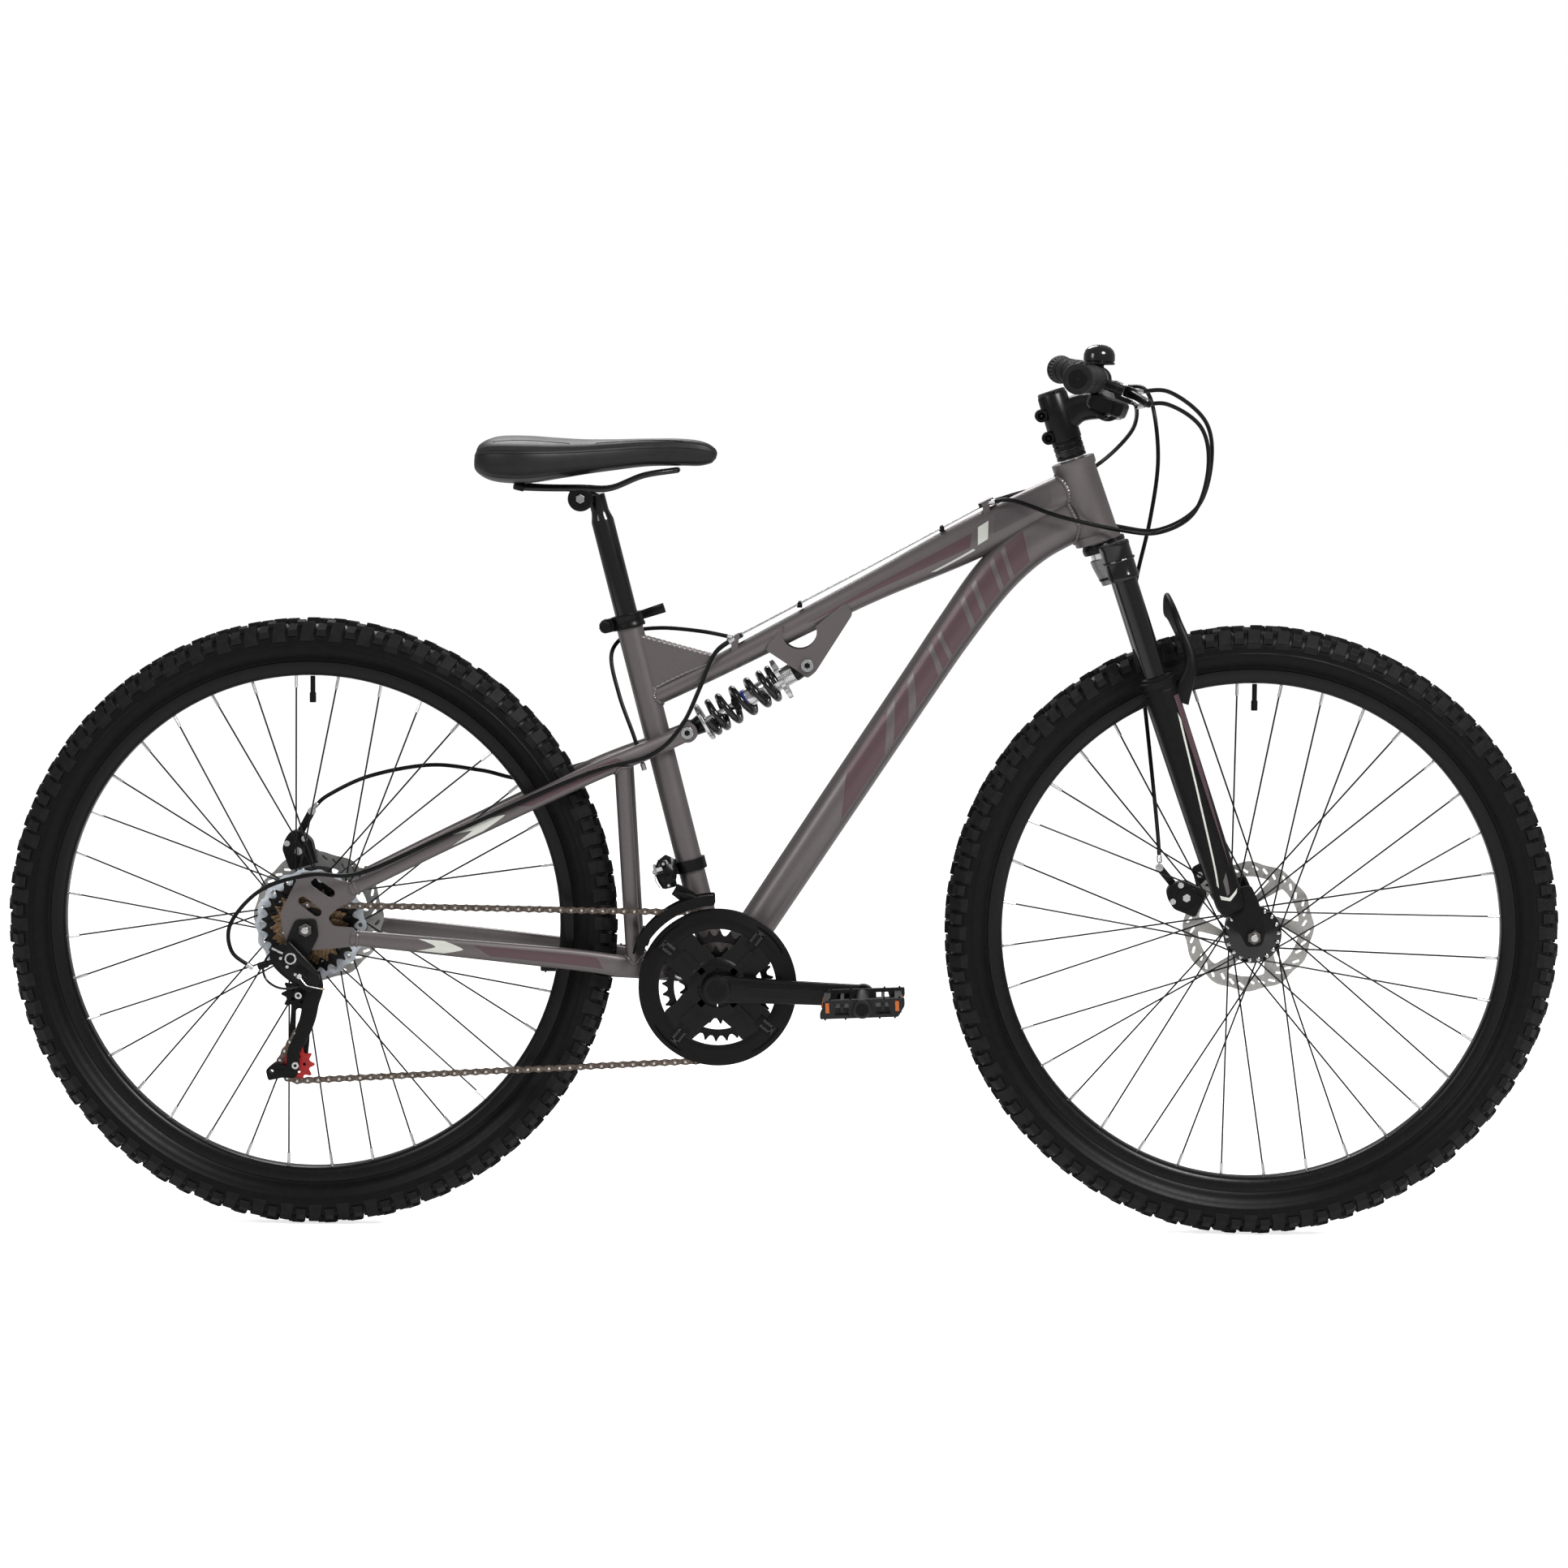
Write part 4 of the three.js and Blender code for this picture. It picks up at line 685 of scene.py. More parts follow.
def weld(piece, tube, inside, outside, tree, radius=2.3, count=150):
    """A rippled bead where a tube comes out of another surface, between two places along it."""
    def hidden(point):
        near, normal, _, _ = tree.find_nearest(point * MM)
        return (point * MM - near).dot(normal) < 0
    line = []
    for k in range(count):
        angle = TURN * k / count
        low, high = inside, outside
        for _ in range(WELD_HALVINGS):
            middle = (low + high) / 2
            if hidden(tube.surface(middle, angle)):
                low = middle
            else:
                high = middle
        line.append(tube.surface((low + high) / 2, angle))
    sweep(piece, line, rippled(radius, count), WELD, 8, looped=True)

# ---------------------------------------------------------------- wheels

KNOB_PITCHES = 64
# A knob's corners across the tyre: (distance from the middle, foot radius, top radius).
CENTRE_KNOB = ((1.5, 362, 369.8), (9.5, 361, 369.4))
MIDDLE_KNOB = ((10.5, 360, 368.6), (16, 357, 365.6))
LONG_SHOULDER = ((15.5, 358, 366), (27.2, 343, 352))
SHORT_SHOULDER = ((18.5, 356, 364), (27.2, 349, 357))


def knob(piece, centre, side, section, angle, length, lean=0.0):
    """A tapered rubber block; length is in millimetres round the tyre."""
    corners = []
    for y, foot, top in section:
        for radius, share in ((foot, 1.0), (top, 0.78)):
            out = y if share == 1.0 else y + (0.6 if y > 20 else 0)
            for end in (-1, 1):
                a = angle + end * share * length / (2 * TYRE_RADIUS) + lean * y / TYRE_RADIUS
                corners.append(centre + radial(radius, a, side * out))
    faces = [[0, 1, 3, 2], [4, 6, 7, 5], [0, 4, 5, 1], [2, 3, 7, 6], [0, 2, 6, 4], [1, 5, 7, 3]]
    piece.add(corners, faces, TREAD)


def tyre(name, centre, body):
    piece = Piece(name)
    half = [(312, 11), (317, 13.4), (322, 16.5), (324, 20), (331, 24.2), (335.5, 25.6), (336.2, 26.4),
            (337.4, 26.5), (338.2, 25.9), (343, 26.3), (348, 25.8), (353, 24), (357.5, 20.5), (361, 15),
            (362.6, 8)]
    profile = [(-y, r) for r, y in half] + [(0, 363)] + [(y, r) for r, y in reversed(half)]
    lathe(piece, centre, Y, profile, SIDEWALL, 160, looped=True)
    step = TURN / KNOB_PITCHES
    for k in range(KNOB_PITCHES):
        for side in (RIGHT, LEFT):
            angle = k * step + (step / 2 if side > 0 else 0)
            knob(piece, centre, side, LONG_SHOULDER, angle, 19, 0.15)
            knob(piece, centre, side, SHORT_SHOULDER, angle + step / 2, 13.5, 0.15)
            knob(piece, centre, side, MIDDLE_KNOB, angle + step * 0.25, 13, 0.2)
            knob(piece, centre, side, CENTRE_KNOB, angle + step * (0.5 if k % 2 else 0.62), 17, -0.2)
    piece.build(body, "tyre_rubber", name, bevel=0.7)


def rim(name, centre, body):
    piece = Piece(name)
    half = [(300.2, 6), (301, 10), (304, 13), (309, 14.6), (317.4, 14.8), (317.6, 13.2), (311, 12.6),
            (308, 9)]
    profile = [(-y, r) for r, y in half] + [(y, r) for r, y in reversed(half)]
    lathe(piece, centre, Y, profile, SATIN, 160, looped=True)
    valve = centre + Vector((0, 0, 1)) * 299
    rod(piece, valve, valve - Z * 24, 3, DARK_STEEL, sides=12)
    rod(piece, valve - Z * 20, valve - Z * 32, 3.9, PLASTIC, sides=12)
    piece.build(body, "black_rim", name)


SPOKES_PER_SIDE = 18
SPOKE_RADIUS = 1.05
SPOKE_END_RADIUS = 296


def spokes(name, centre, body, side, flange_y, head_radius, phase):
    """Eighteen spokes of one side, crossed three times, each with its head and its nipple."""
    piece = Piece(name)
    crossing = math.radians(60)
    for i in range(SPOKES_PER_SIDE):
        leading = i % 2 == 0
        head_angle = phase + TURN * i / SPOKES_PER_SIDE
        rim_angle = head_angle + (crossing if leading else -crossing)
        face = side * (abs(flange_y) + (1.3 if leading else 2.9))
        head = centre + radial(head_radius, head_angle, face)
        end_y = side * (3 if leading else 4.9)
        end = centre + radial(SPOKE_END_RADIUS, rim_angle, end_y)
        heading = (end - head).normalized()
        rod(piece, head, end, SPOKE_RADIUS, SATIN, sides=8, chamfer=0.1)
        lathe(piece, head - Y * side * 0.6, Y * side, [(0, 2.1), (0.8, 2.3), (1.5, 1.2)], STEEL, 10)
        rod(piece, end - heading * 11, end + heading * 4.5, 1.9, STEEL, sides=8, chamfer=0.5)
    piece.build(body, "black_spokes", name)


def front_hub():
    piece = Piece("front_hub")
    profile = [(-49.5, 11), (-45, 11.6), (-37, 12.5), (-34.5, 21), (-33.6, 35), (-30.9, 35), (-29, 26),
               (-26, 15), (-10, 13), (10, 13), (18, 14), (20.8, 29), (24, 29), (24.2, 21.2), (37.4, 21.2),
               (37.5, 16.5), (44, 16.5), (49.5, 11)]
    lathe(piece, FRONT_AXLE, Y, profile, GLOSS, 64)
    # Eighteen flat dark discs on the right flange's face stand for its holes, which are not cut: their dark
    # is painted shade.
    for k in range(18):
        angle = TURN * (k + 0.5) / 18
        at = FRONT_AXLE + radial(26, angle, -34.1)
        rod(piece, at, at + Y * 0.8, 1.7, DARK_STEEL, sides=10)
    piece.build("front_wheel", "black_hub", "front_hub", bevel=0.3)


def rear_hub():
    piece = Piece("rear_hub")
    profile = [(-66.3, 10), (-64, 16), (-24, 16.4), (-23.5, 33), (-20.7, 33), (-18, 22), (-15, 15),
               (10, 14), (27, 16), (30.7, 33), (33.5, 33), (33.8, 21.2), (50.4, 21.2), (50.5, 16.5),
               (57, 16), (66.3, 10)]
    lathe(piece, REAR_AXLE, Y, profile, GLOSS, 64)
    piece.build("rear_wheel", "black_hub", "rear_hub", bevel=0.3)


DISC_HALF_THICKNESS = 0.9
DISC_RADIUS, DISC_WAVE, DISC_WAVES = 78.6, 1.3, 12
DISC_ARMS, DISC_SLOTS = 6, 36


def brake_disc(name, centre, y, body):
    """A wavy disc: six swept arms from the carrier to a ring with slots."""
    piece = Piece(name)
    x, z = centre.x, centre.z
    outline = polar(x, z, [(DISC_RADIUS + DISC_WAVE * math.cos(DISC_WAVES * a), a) for a in angles(216)])
    holes = [circle(x, z, 17.5, 32)]
    for k in range(DISC_ARMS):
        a = TURN * k / DISC_ARMS
        window = arc(0, 0, 61.5, a + 0.10, a + 0.86, 8) + arc(0, 0, 29, a + 1.28, a + 0.52, 6)
        holes.append(rounded([(x + px, z + pz) for px, pz in window], 2.5, 2))
    for k in range(DISC_SLOTS):
        a = TURN * (k + 0.2) / DISC_SLOTS
        near, far = 66.5 + 2 * (k % 3), 70 + 2 * (k % 3)
        lean = 0.07
        holes.append(stadium(x + near * math.cos(a), z + near * math.sin(a),
                             x + far * math.cos(a + lean), z + far * math.sin(a + lean), 1.5, 3))
    plate(piece, outline, y - DISC_HALF_THICKNESS, y + DISC_HALF_THICKNESS, ROTOR_STEEL, holes)
    for k in range(DISC_ARMS):
        a = TURN * k / DISC_ARMS + 0.2
        at = centre + radial(22, a, y + DISC_HALF_THICKNESS)
        bolt(piece, at, Y, 3.4, 1.6, DARK_STEEL, 16)
    piece.build(body, "silver_steel", name, bevel=0.15)


THREAD_PITCH, THREAD_CREST, THREAD_ROOT, THREAD_END = 1.2, 4.8, 4.3, 3.9


def axle(name, centre, half, nut, body):
    """A threaded axle with a washer and a hexagonal nut on each side."""
    piece = Piece(name)
    threads = [(-half, THREAD_END)]
    count = int(2 * half / THREAD_PITCH)
    for k in range(1, count):
        threads.append((-half + 2 * half * k / count, THREAD_CREST if k % 2 else THREAD_ROOT))
    threads.append((half, THREAD_END))
    lathe(piece, centre, Y, threads, STEEL, 20)
    for side in (RIGHT, LEFT):
        a, b = at_y(centre, side * nut), at_y(centre, side * (nut + 1.6))
        rod(piece, a, b, 9.2, DARK_STEEL, sides=28)
        rod(piece, b, at_y(centre, side * (nut + 7.4)), 8.6, NUT_STEEL, sides=6, chamfer=0.8)
    piece.build(body, "silver_steel", name, bevel=0.25)


def spoke_protector():
    piece = Piece("spoke_protector")
    x, z = REAR_AXLE.x, REAR_AXLE.z
    shape = [(66.4 + 1.5 * math.cos(18 * a), a) for a in angles(216)]
    holes = [circle(x, z, 18.6, 32)]
    holes += [circle(x + 60 * math.cos(a), z + 60 * math.sin(a), 2.8, 12)
              for a in angles(18)]
    plate(piece, polar(x, z, shape), -29, -28, CLEAR, holes)
    band(piece, REAR_AXLE, Y, (-29.2, -27.8), (53, 55), CLEAR, 64)
    piece.build("rear_wheel", "clear_plastic", "spoke_protector", bevel=0.2)


def freewheel():
    """Seven toothed cogs on a carrier; the two biggest and the smallest are dark, the rest bronze."""
    piece = Piece("freewheel")
    x, z = REAR_AXLE.x, REAR_AXLE.z
    for k, teeth in enumerate(COG_TEETH):
        y = BIG_COG_Y - k * COG_SPACING
        finish = DARK_STEEL if k < 2 or k == 6 else BRONZE
        holes = [circle(x, z, 17.2, 28)]
        if k < 3:
            ring = pitch_radius(teeth) - 13
            holes += [circle(x + ring * math.cos(a), z + ring * math.sin(a), 3.6, 12)
                      for a in angles(10)]
        plate(piece, gear(x, z, teeth, 3.4, 0.1 * k), y - 1, y + 1, finish, holes)
        if k < 6:
            band(piece, at_y(REAR_AXLE, 0), Y, (y - 3.9, y - 1.1), (17.2, 24), DARK_STEEL, 32)
    piece.build("freewheel", "dark_cogs", "freewheel", bevel=0.15)


# ---------------------------------------------------------------- drivetrain


SPIDER_ANGLES = [math.pi / 4 + k * math.pi / 2 for k in range(4)]
GUARD_TAB_LEAD = 0.12


def chainrings():
    piece = Piece("chainrings")
    x, z = CRANK.x, CRANK.z
    for teeth, y, bore in zip(RING_TEETH, RING_FACES, (71, 53, 33)):
        holes = [circle(x, z, bore, 64)]
        plate(piece, gear(x, z, teeth, 3.4, 0.07), y - 1, y + 1, DARK_STEEL, holes)
        for a in SPIDER_ANGLES:
            tab = [(bore + 1.5, a - 0.13), (bore + 1.5, a + 0.13), (bore - 9, a + 0.16),
                   (bore - 9, a - 0.16)]
            plate(piece, rounded(polar(x, z, tab), 2), y - 1, y + 1, DARK_STEEL)
            at = CRANK + radial((bore - 4), a, y)
            rod(piece, at - Y * 1.6, at + Y * 6.5, 3.4, STEEL, sides=16)
    piece.build("crankset", "dark_cogs", "chainrings", bevel=0.15)


def chain_guard():
    """A stepped plastic ring with four hooked tabs that hold it to the spider."""
    piece = Piece("chain_guard")
    profile = [(-61.5, 70.5), (-64.6, 70.5), (-65.2, 72), (-65.2, 84), (-64, 86), (-64, 93.4), (-63, 95.2),
               (-61.5, 95.2)]
    lathe(piece, CRANK, Y, profile, PLASTIC, 128, looped=True)
    for arm in SPIDER_ANGLES:
        along, across = turned_axes(arm + GUARD_TAB_LEAD)

        def tab(u, y, v, along=along, across=across):
            return CRANK + along * u + across * v + Y * y

        box(piece, (62, -66, -7), (84, -62, 7), PLASTIC, tab)
        for v0, v1 in ((-5.4, -2.2), (2.2, 5.4)):
            box(piece, (68, -67.6, v0), (84, -65, v1), GLOSS, tab)
        box(piece, (81, -67.6, -5.4), (85, -65, 5.4), GLOSS, tab)
    for start in (0.5, 2.1, 3.7, 5.2):
        edge = arc(CRANK.x, CRANK.z, 89.6, start, start + 0.5, 12)
        edge += arc(CRANK.x, CRANK.z, 88.8, start + 0.5, start, 12)
        plate(piece, edge, -65.4, -63, PLASTIC)
    piece.build("crankset", "black_plastic", "chain_guard", bevel=0.5)


def crank_spindle():
    piece = Piece("bb_spindle")
    cross_bar(piece, CRANK, -84, 84, 7.3, DARK_STEEL)
    piece.build("crankset", "black_crank", "bb_spindle")


def crank_arm(name, side, pedal_at):
    """A forged arm: thick at the spindle, waisted, with a round eye for the pedal axle."""
    piece = Piece(name)
    length = (at_y(pedal_at, 0) - CRANK).length
    along = (at_y(pedal_at, 0) - CRANK).normalized()
    upward = along.cross(Y) if along.x > 0 else Y.cross(along)

    def place(u, y, v):
        return CRANK + along * u + upward * v + Y * (side * y)

    sections = [(0, 17, 66, 86), (30, 16, 68, 86.5), (60, 14.8, 71, 87), (95, 14, 73.5, 88),
                (130, 13.6, 75.5, 89), (155, 13.4, 77, 90), (length, 13.4, 78, 90.4)]
    rings = []
    for u, half, inner, outer in sections:
        middle, deep = (inner + outer) / 2, (outer - inner) / 2
        rings.append([
            place(u, middle + deep * math.copysign(abs(math.sin(a)) ** 0.45, math.sin(a)),
                  half * math.copysign(abs(math.cos(a)) ** 0.45, math.cos(a)))
            for a in (TURN * (k + 0.5) / 24 for k in range(24))
        ])
    skin(piece, rings, SATIN)

    def on_face(u, v, y):
        return place(u, y + (u - 40) * 0.018, v)

    plate(piece, stadium(40, 0, 142, 0, 5.2, 8), 86.0, 88.2, SATIN, place=on_face)
    inner_face = 58 if side < 0 else 64
    rod(piece, place(0, inner_face, 0), place(0, 88, 0), 20, SATIN, 17, sides=48, chamfer=1.5)
    rod(piece, place(0, 87.6, 0), place(0, 89.2, 0), 11, PLASTIC, sides=36, chamfer=0.6)
    rod(piece, place(0, 89, 0), place(0, 89.5, 0), 6.5, PLASTIC, sides=36, chamfer=0.2)
    rod(piece, place(length, 76.5, 0), place(length, 91, 0), 14, SATIN, sides=40, chamfer=1.2)
    rod(piece, place(length, 88, 0), place(length, 190, 0), 4.8, STEEL, sides=16)
    rod(piece, place(length, 91, 0), place(length, 93, 0), 8, STEEL, sides=6)
    if side < 0:
        spider(piece)
    piece.build("crankset", "black_crank", name, bevel=0.6)


def spider(piece):
    """Four wide arms from the crank's boss to the rings."""
    half = ((18, 0.78), (34, 0.74), (43, 0.58), (54, 0.42), (65, 0.37), (71, 0.34))
    for a in SPIDER_ANGLES:
        shape = [(r, a - d) for r, d in half] + [(72, a)] + [(r, a + d) for r, d in reversed(half)]
        outline = rounded(polar(CRANK.x, CRANK.z, shape), 4)
        plate(piece, outline, -63.6, -59.4, SATIN)
        ridge = [(24, a - 0.16), (60, a - 0.07), (60, a + 0.07), (24, a + 0.16)]
        plate(piece, rounded(polar(CRANK.x, CRANK.z, ridge), 2), -66, -63, SATIN)
    lathe(piece, CRANK, Y, [(-66, 24), (-66, 31), (-63, 36), (-59.4, 36), (-59.4, 24)], SATIN, 48,
          looped=True)


def pedal(name, side, centre):
    """A resin pedal: a barrel, a web, two slanted plates with pockets, pins, and a reflector at each end."""
    piece = Piece(name)
    tilt = PEDAL_TILT if side < 0 else 0
    along, upward = turned_axes(tilt)
    centre = at_y(centre, 0)

    def place(u, y, v):
        return centre + along * u + upward * v + Y * (side * y)

    def upright(u, v, y):
        return place(u, y, v)

    profile = [(94, 8), (96, 10.4), (104, 10.6), (112, 8.6), (176, 8.6), (182, 11.2), (194.6, 11.2),
               (196.6, 9.4)]
    lathe(piece, centre, Y * side, profile, PEDAL_BLACK, 36)
    rod(piece, place(0, 196, 0), place(0, 197.2, 0), 7.6, PLASTIC, sides=28)
    outline = rounded([(-50, -11), (42, -11), (50, 2), (50, 11), (-42, 11), (-50, -4)], 2)
    inner, outer = (97, 103), (183, 189)
    pockets = [[(-33, -7), (-30, 6.5), (-16, 6.5), (-16, -7)], [(16, -7), (16, 6.5), (30, 6.5), (33, -7)]]
    for y0, y1 in (inner, outer):
        plate(piece, outline, y0, y1, PEDAL_BLACK, pockets, place=upright)
        middle = (y0 + y1) / 2
        for u in (-44, -20, 20, 38):
            rod(piece, place(u, middle, -10.4), place(u, middle, -13), 1.2, DARK_STEEL, sides=10)
            rod(piece, place(u + 6, middle, 10.4), place(u + 6, middle, 13), 1.2, DARK_STEEL, sides=10)
    plate(piece, rounded([(-44, -8), (38, -8), (44, 1), (-38, 1)], 2), inner[1], outer[0], PEDAL_BLACK,
          place=upright)
    for u in (-24, 24):
        box(piece, (u - 2, 100, -4), (u + 2, 186, 7), PEDAL_BLACK, place)
    for end in (-1, 1):
        box(piece, (end * 42 - 4, inner[1], -7), (end * 42 + 4, outer[0], 8), PEDAL_BLACK, place)
        face = end * 46
        box(piece, (min(face, face + end * 1.6), 119, -5), (max(face, face + end * 1.6), 167, 5), AMBER,
            place)
        box(piece, (end * 41 - 2.2, 188.6, -4), (end * 41 + 2.2, 189.8, 8), AMBER, place)
    piece.build(name, "pedal_plastic", name, bevel=0.5)


def chain_route():
    """The chain's pitch line, and where its arc on each of the four wheels starts and ends in it."""
    wheels = [
        (at_y(CRANK, RING_FACES[0]), pitch_radius(RING_TEETH[0]), 1),
        (TENSION_PULLEY, pitch_radius(PULLEY_TEETH), 1),
        (GUIDE_PULLEY, pitch_radius(PULLEY_TEETH), -1),
        (at_y(REAR_AXLE, SMALL_COG_Y), pitch_radius(COG_TEETH[-1]), 1),
    ]
    leaving, arriving = [0] * 4, [0] * 4
    for i, (at, radius, turn) in enumerate(wheels):
        n = (i + 1) % 4
        there, far_radius, far_turn = wheels[n]
        gap = at_y(there - at, 0)
        heading = math.atan2(gap.z, gap.x)
        normal = heading + math.pi / 2 - math.asin((turn * radius - far_turn * far_radius) / gap.length)
        leaving[i] = normal + (math.pi if turn < 0 else 0)
        arriving[n] = normal + (math.pi if far_turn < 0 else 0)
    line, arcs = [], []
    for i, (at, radius, turn) in enumerate(wheels):
        first = len(line)
        sweep_angle = ((arriving[i] - leaving[i]) * turn) % TURN
        steps = max(8, int(radius * sweep_angle / 4))
        for k in range(steps + 1):
            angle = arriving[i] - turn * sweep_angle * k / steps
            line.append(at + Vector((math.cos(angle), 0, math.sin(angle))) * radius)
        arcs.append((first, len(line) - 1))
    return line + line[:1], arcs


# A link's plates lie this far from its middle, outer and inner, and are twice this half thickness.
OUTER_PLATE_Y, INNER_PLATE_Y, PLATE_HALF = 3.1, 2.1, 0.45
ROLLER_RADIUS, CHAIN_PIN_RADIUS = 3.7, 1.7


def chain_link(piece, pin, to, outer):
    """Two side plates with narrow waists, a roller and its pin; outer and inner links take turns."""
    along = (to - pin).normalized()
    upward = along.cross(Y).normalized()
    length = (to - pin).length
    outline = []
    for u0, start in ((length, -math.pi / 2), (0, math.pi / 2)):
        outline += arc(u0, 0, 4.0, start, start + math.pi, 5)
        outline.append((length / 2, 2.7 if start < 0 else -2.7))

    def place(u, v, y):
        return pin + along * u + upward * v + Y * y

    offset = OUTER_PLATE_Y if outer else INNER_PLATE_Y
    for side in (-1, 1):
        plate(piece, outline, side * offset - PLATE_HALF, side * offset + PLATE_HALF, CHAIN_STEEL,
              place=place)
    rod(piece, pin - Y * 1.6, pin + Y * 1.6, ROLLER_RADIUS, CHAIN_STEEL, sides=10, chamfer=0.2)
    rod(piece, pin - Y * 4.0, pin + Y * 4.0, CHAIN_PIN_RADIUS, STEEL, sides=8, chamfer=0.2)


def chain():
    """A roller chain in five lengths; the length on the pulleys rides with the derailleur cage, and the
    other four belong to no body and stay in place.
    """
    line, (ring, tension, guide, cog) = chain_route()
    reach = [0]
    for a, b in zip(line, line[1:]):
        reach.append(reach[-1] + (b - a).length)
    links = 2 * round(reach[-1] / CHAIN_PITCH / 2)
    pins, wheres, k = [], [], 0
    for i in range(links):
        wanted = reach[-1] * i / links
        while reach[k + 1] < wanted:
            k += 1
        pins.append(between(line[k], line[k + 1], (wanted - reach[k]) / (reach[k + 1] - reach[k])))
        wheres.append(wanted)
    off_ring, on_tension, off_guide, on_cog = line[ring[1]], line[tension[0]], line[guide[1]], line[cog[0]]
    middle = between(off_ring, on_tension, 0.5)
    ends = [reach[ring[1]], (reach[ring[1]] + reach[tension[0]]) / 2, reach[tension[0]], reach[guide[1]],
            reach[cog[0]]]
    names = ("chain_top_run", "chain_lower_front", "chain_lower_rear", "chain_on_pulleys", "chain_to_cog")
    lengths = [Piece(name) for name in names]
    for i, where in enumerate(wheres):
        section = sum(where >= end for end in ends) % len(lengths)
        chain_link(lengths[section], pins[i], pins[(i + 1) % links], i % 2 == 0)
    top, lower_front, lower_rear, on_pulleys, to_cog = lengths
    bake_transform(top.build(None, "bronze_chain", "chain"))
    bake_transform(lower_front.build(None, "bronze_chain", "chain"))
    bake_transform(lower_rear.build(None, "bronze_chain", "chain"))
    on_pulleys.build("derailleur_cage", "bronze_chain", "chain")
    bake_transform(to_cog.build(None, "bronze_chain", "chain"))


def jockey_wheel(name, centre, slot, finish):
    piece = Piece(name)
    x, z = centre.x, centre.z
    holes = [circle(x, z, 3.4, 16)]
    holes += [circle(x + 9.5 * math.cos(a), z + 9.5 * math.sin(a), 2.0, 10) for a in angles(5)]
    plate(piece, gear(x, z, PULLEY_TEETH, 2.2, 0.3), centre.y - 1.4, centre.y + 1.4, finish, holes)
    band(piece, at_y(centre, 0), Y, (centre.y - 2.4, centre.y + 2.4), (3.4, 8), finish, 28)
    piece.build(name, slot, name, bevel=0.3)


CAGE_PIVOT = Vector((-561, 0, 311))


def rear_derailleur():
    """The hanger round the axle, the mounting bolt, the sprung body and its cable adjuster."""
    piece = Piece("rear_derailleur")
    x, z = REAR_AXLE.x, REAR_AXLE.z
    hanger = rounded([(x - 13, z + 12), (x + 12, z + 13), (x + 15, z - 8), (x - 4, z - 46),
                      (x - 26, z - 44), (x - 23, z - 12)], 5)
    plate(piece, hanger, -76.6, -73.9, SATIN, [circle(x, z, 5.8, 24)])
    mount, cage = Vector((-584, 0, 337)), CAGE_PIVOT
    cross_bar(piece, mount, -92, -76.6, 12.6, SATIN, 36, 1.2)
    cross_bar(piece, mount, -94.5, -92, 7.2, STEEL, 28, 0.6)
    bolt(piece, at_y(mount, -94.5), -Y, 5, 1.4, DARK_STEEL, 24)
    body = Tube([((-598, -84, 352), 20, 13), ((-594, -85, 340), 34, 14), ((-580, -83, 326), 36, 15),
                 ((-566, -82, 313), 30, 14), ((-555, -81, 301), 20, 12)], power=0.6)
    body.loft(piece, PLASTIC, 20, 20)
    fin = Tube([((-603, -88, 347), 12, 5), ((-588, -90.6, 327), 17, 5), ((-568, -90, 309), 12, 5)],
               power=0.6)
    link = Tube([((-588, -89, 355), 7, 5), ((-572, -91.4, 337), 9, 5), ((-555, -90, 320), 7, 5)], power=0.6)
    link.loft(piece, SATIN, 12, 14)
    fin.loft(piece, SATIN, 12, 14)
    for t in (0.25, 0.5, 0.75):
        at = fin.surface(t, math.pi / 2 + math.pi)
        rod(piece, at, at - Y * 0.7, 2, STEEL, sides=12)
    cross_bar(piece, cage, -89, -73, 11, SATIN, 32, 1)
    adjuster = Vector((-612, -86, 330))
    rod(piece, adjuster, adjuster + Vector((-12, 0, -4)), 4.4, PLASTIC, sides=14, chamfer=0.8)
    rod(piece, Vector((-600, -86, 334)), adjuster, 3, SATIN, sides=12)
    for place in (Vector((-600, -90, 346)), Vector((-593, -92, 343))):
        rod(piece, place, place + Vector((-7, 0, 3)), 1.6, STEEL, sides=10)
    hoop = [(-598, -80, 347), (-611, -82, 340), (-618, -84, 326), (-615, -86, 312), (-604, -88, 303),
            (-590, -89, 300), (-576, -88, 303)]
    sweep(piece, smooth_line(hoop, 36), 1.5, GLOSS, 8)
    tail = [(-574, -93, 316), (-566, -94, 306), (-558, -93.5, 303), (-549, -92, 301)]
    sweep(piece, smooth_line(tail, 16), 0.7, WIRE, 6)
    rod(piece, Vector((-549, -92, 301)), Vector((-543, -91, 300)), 1.1, BRASS, sides=8)
    rod(piece, Vector((-575, -93, 316)), Vector((-573, -96, 316)), 3.6, STEEL, sides=6)
    piece.build("swingarm", "black_anodised", "rear_derailleur", bevel=0.5)


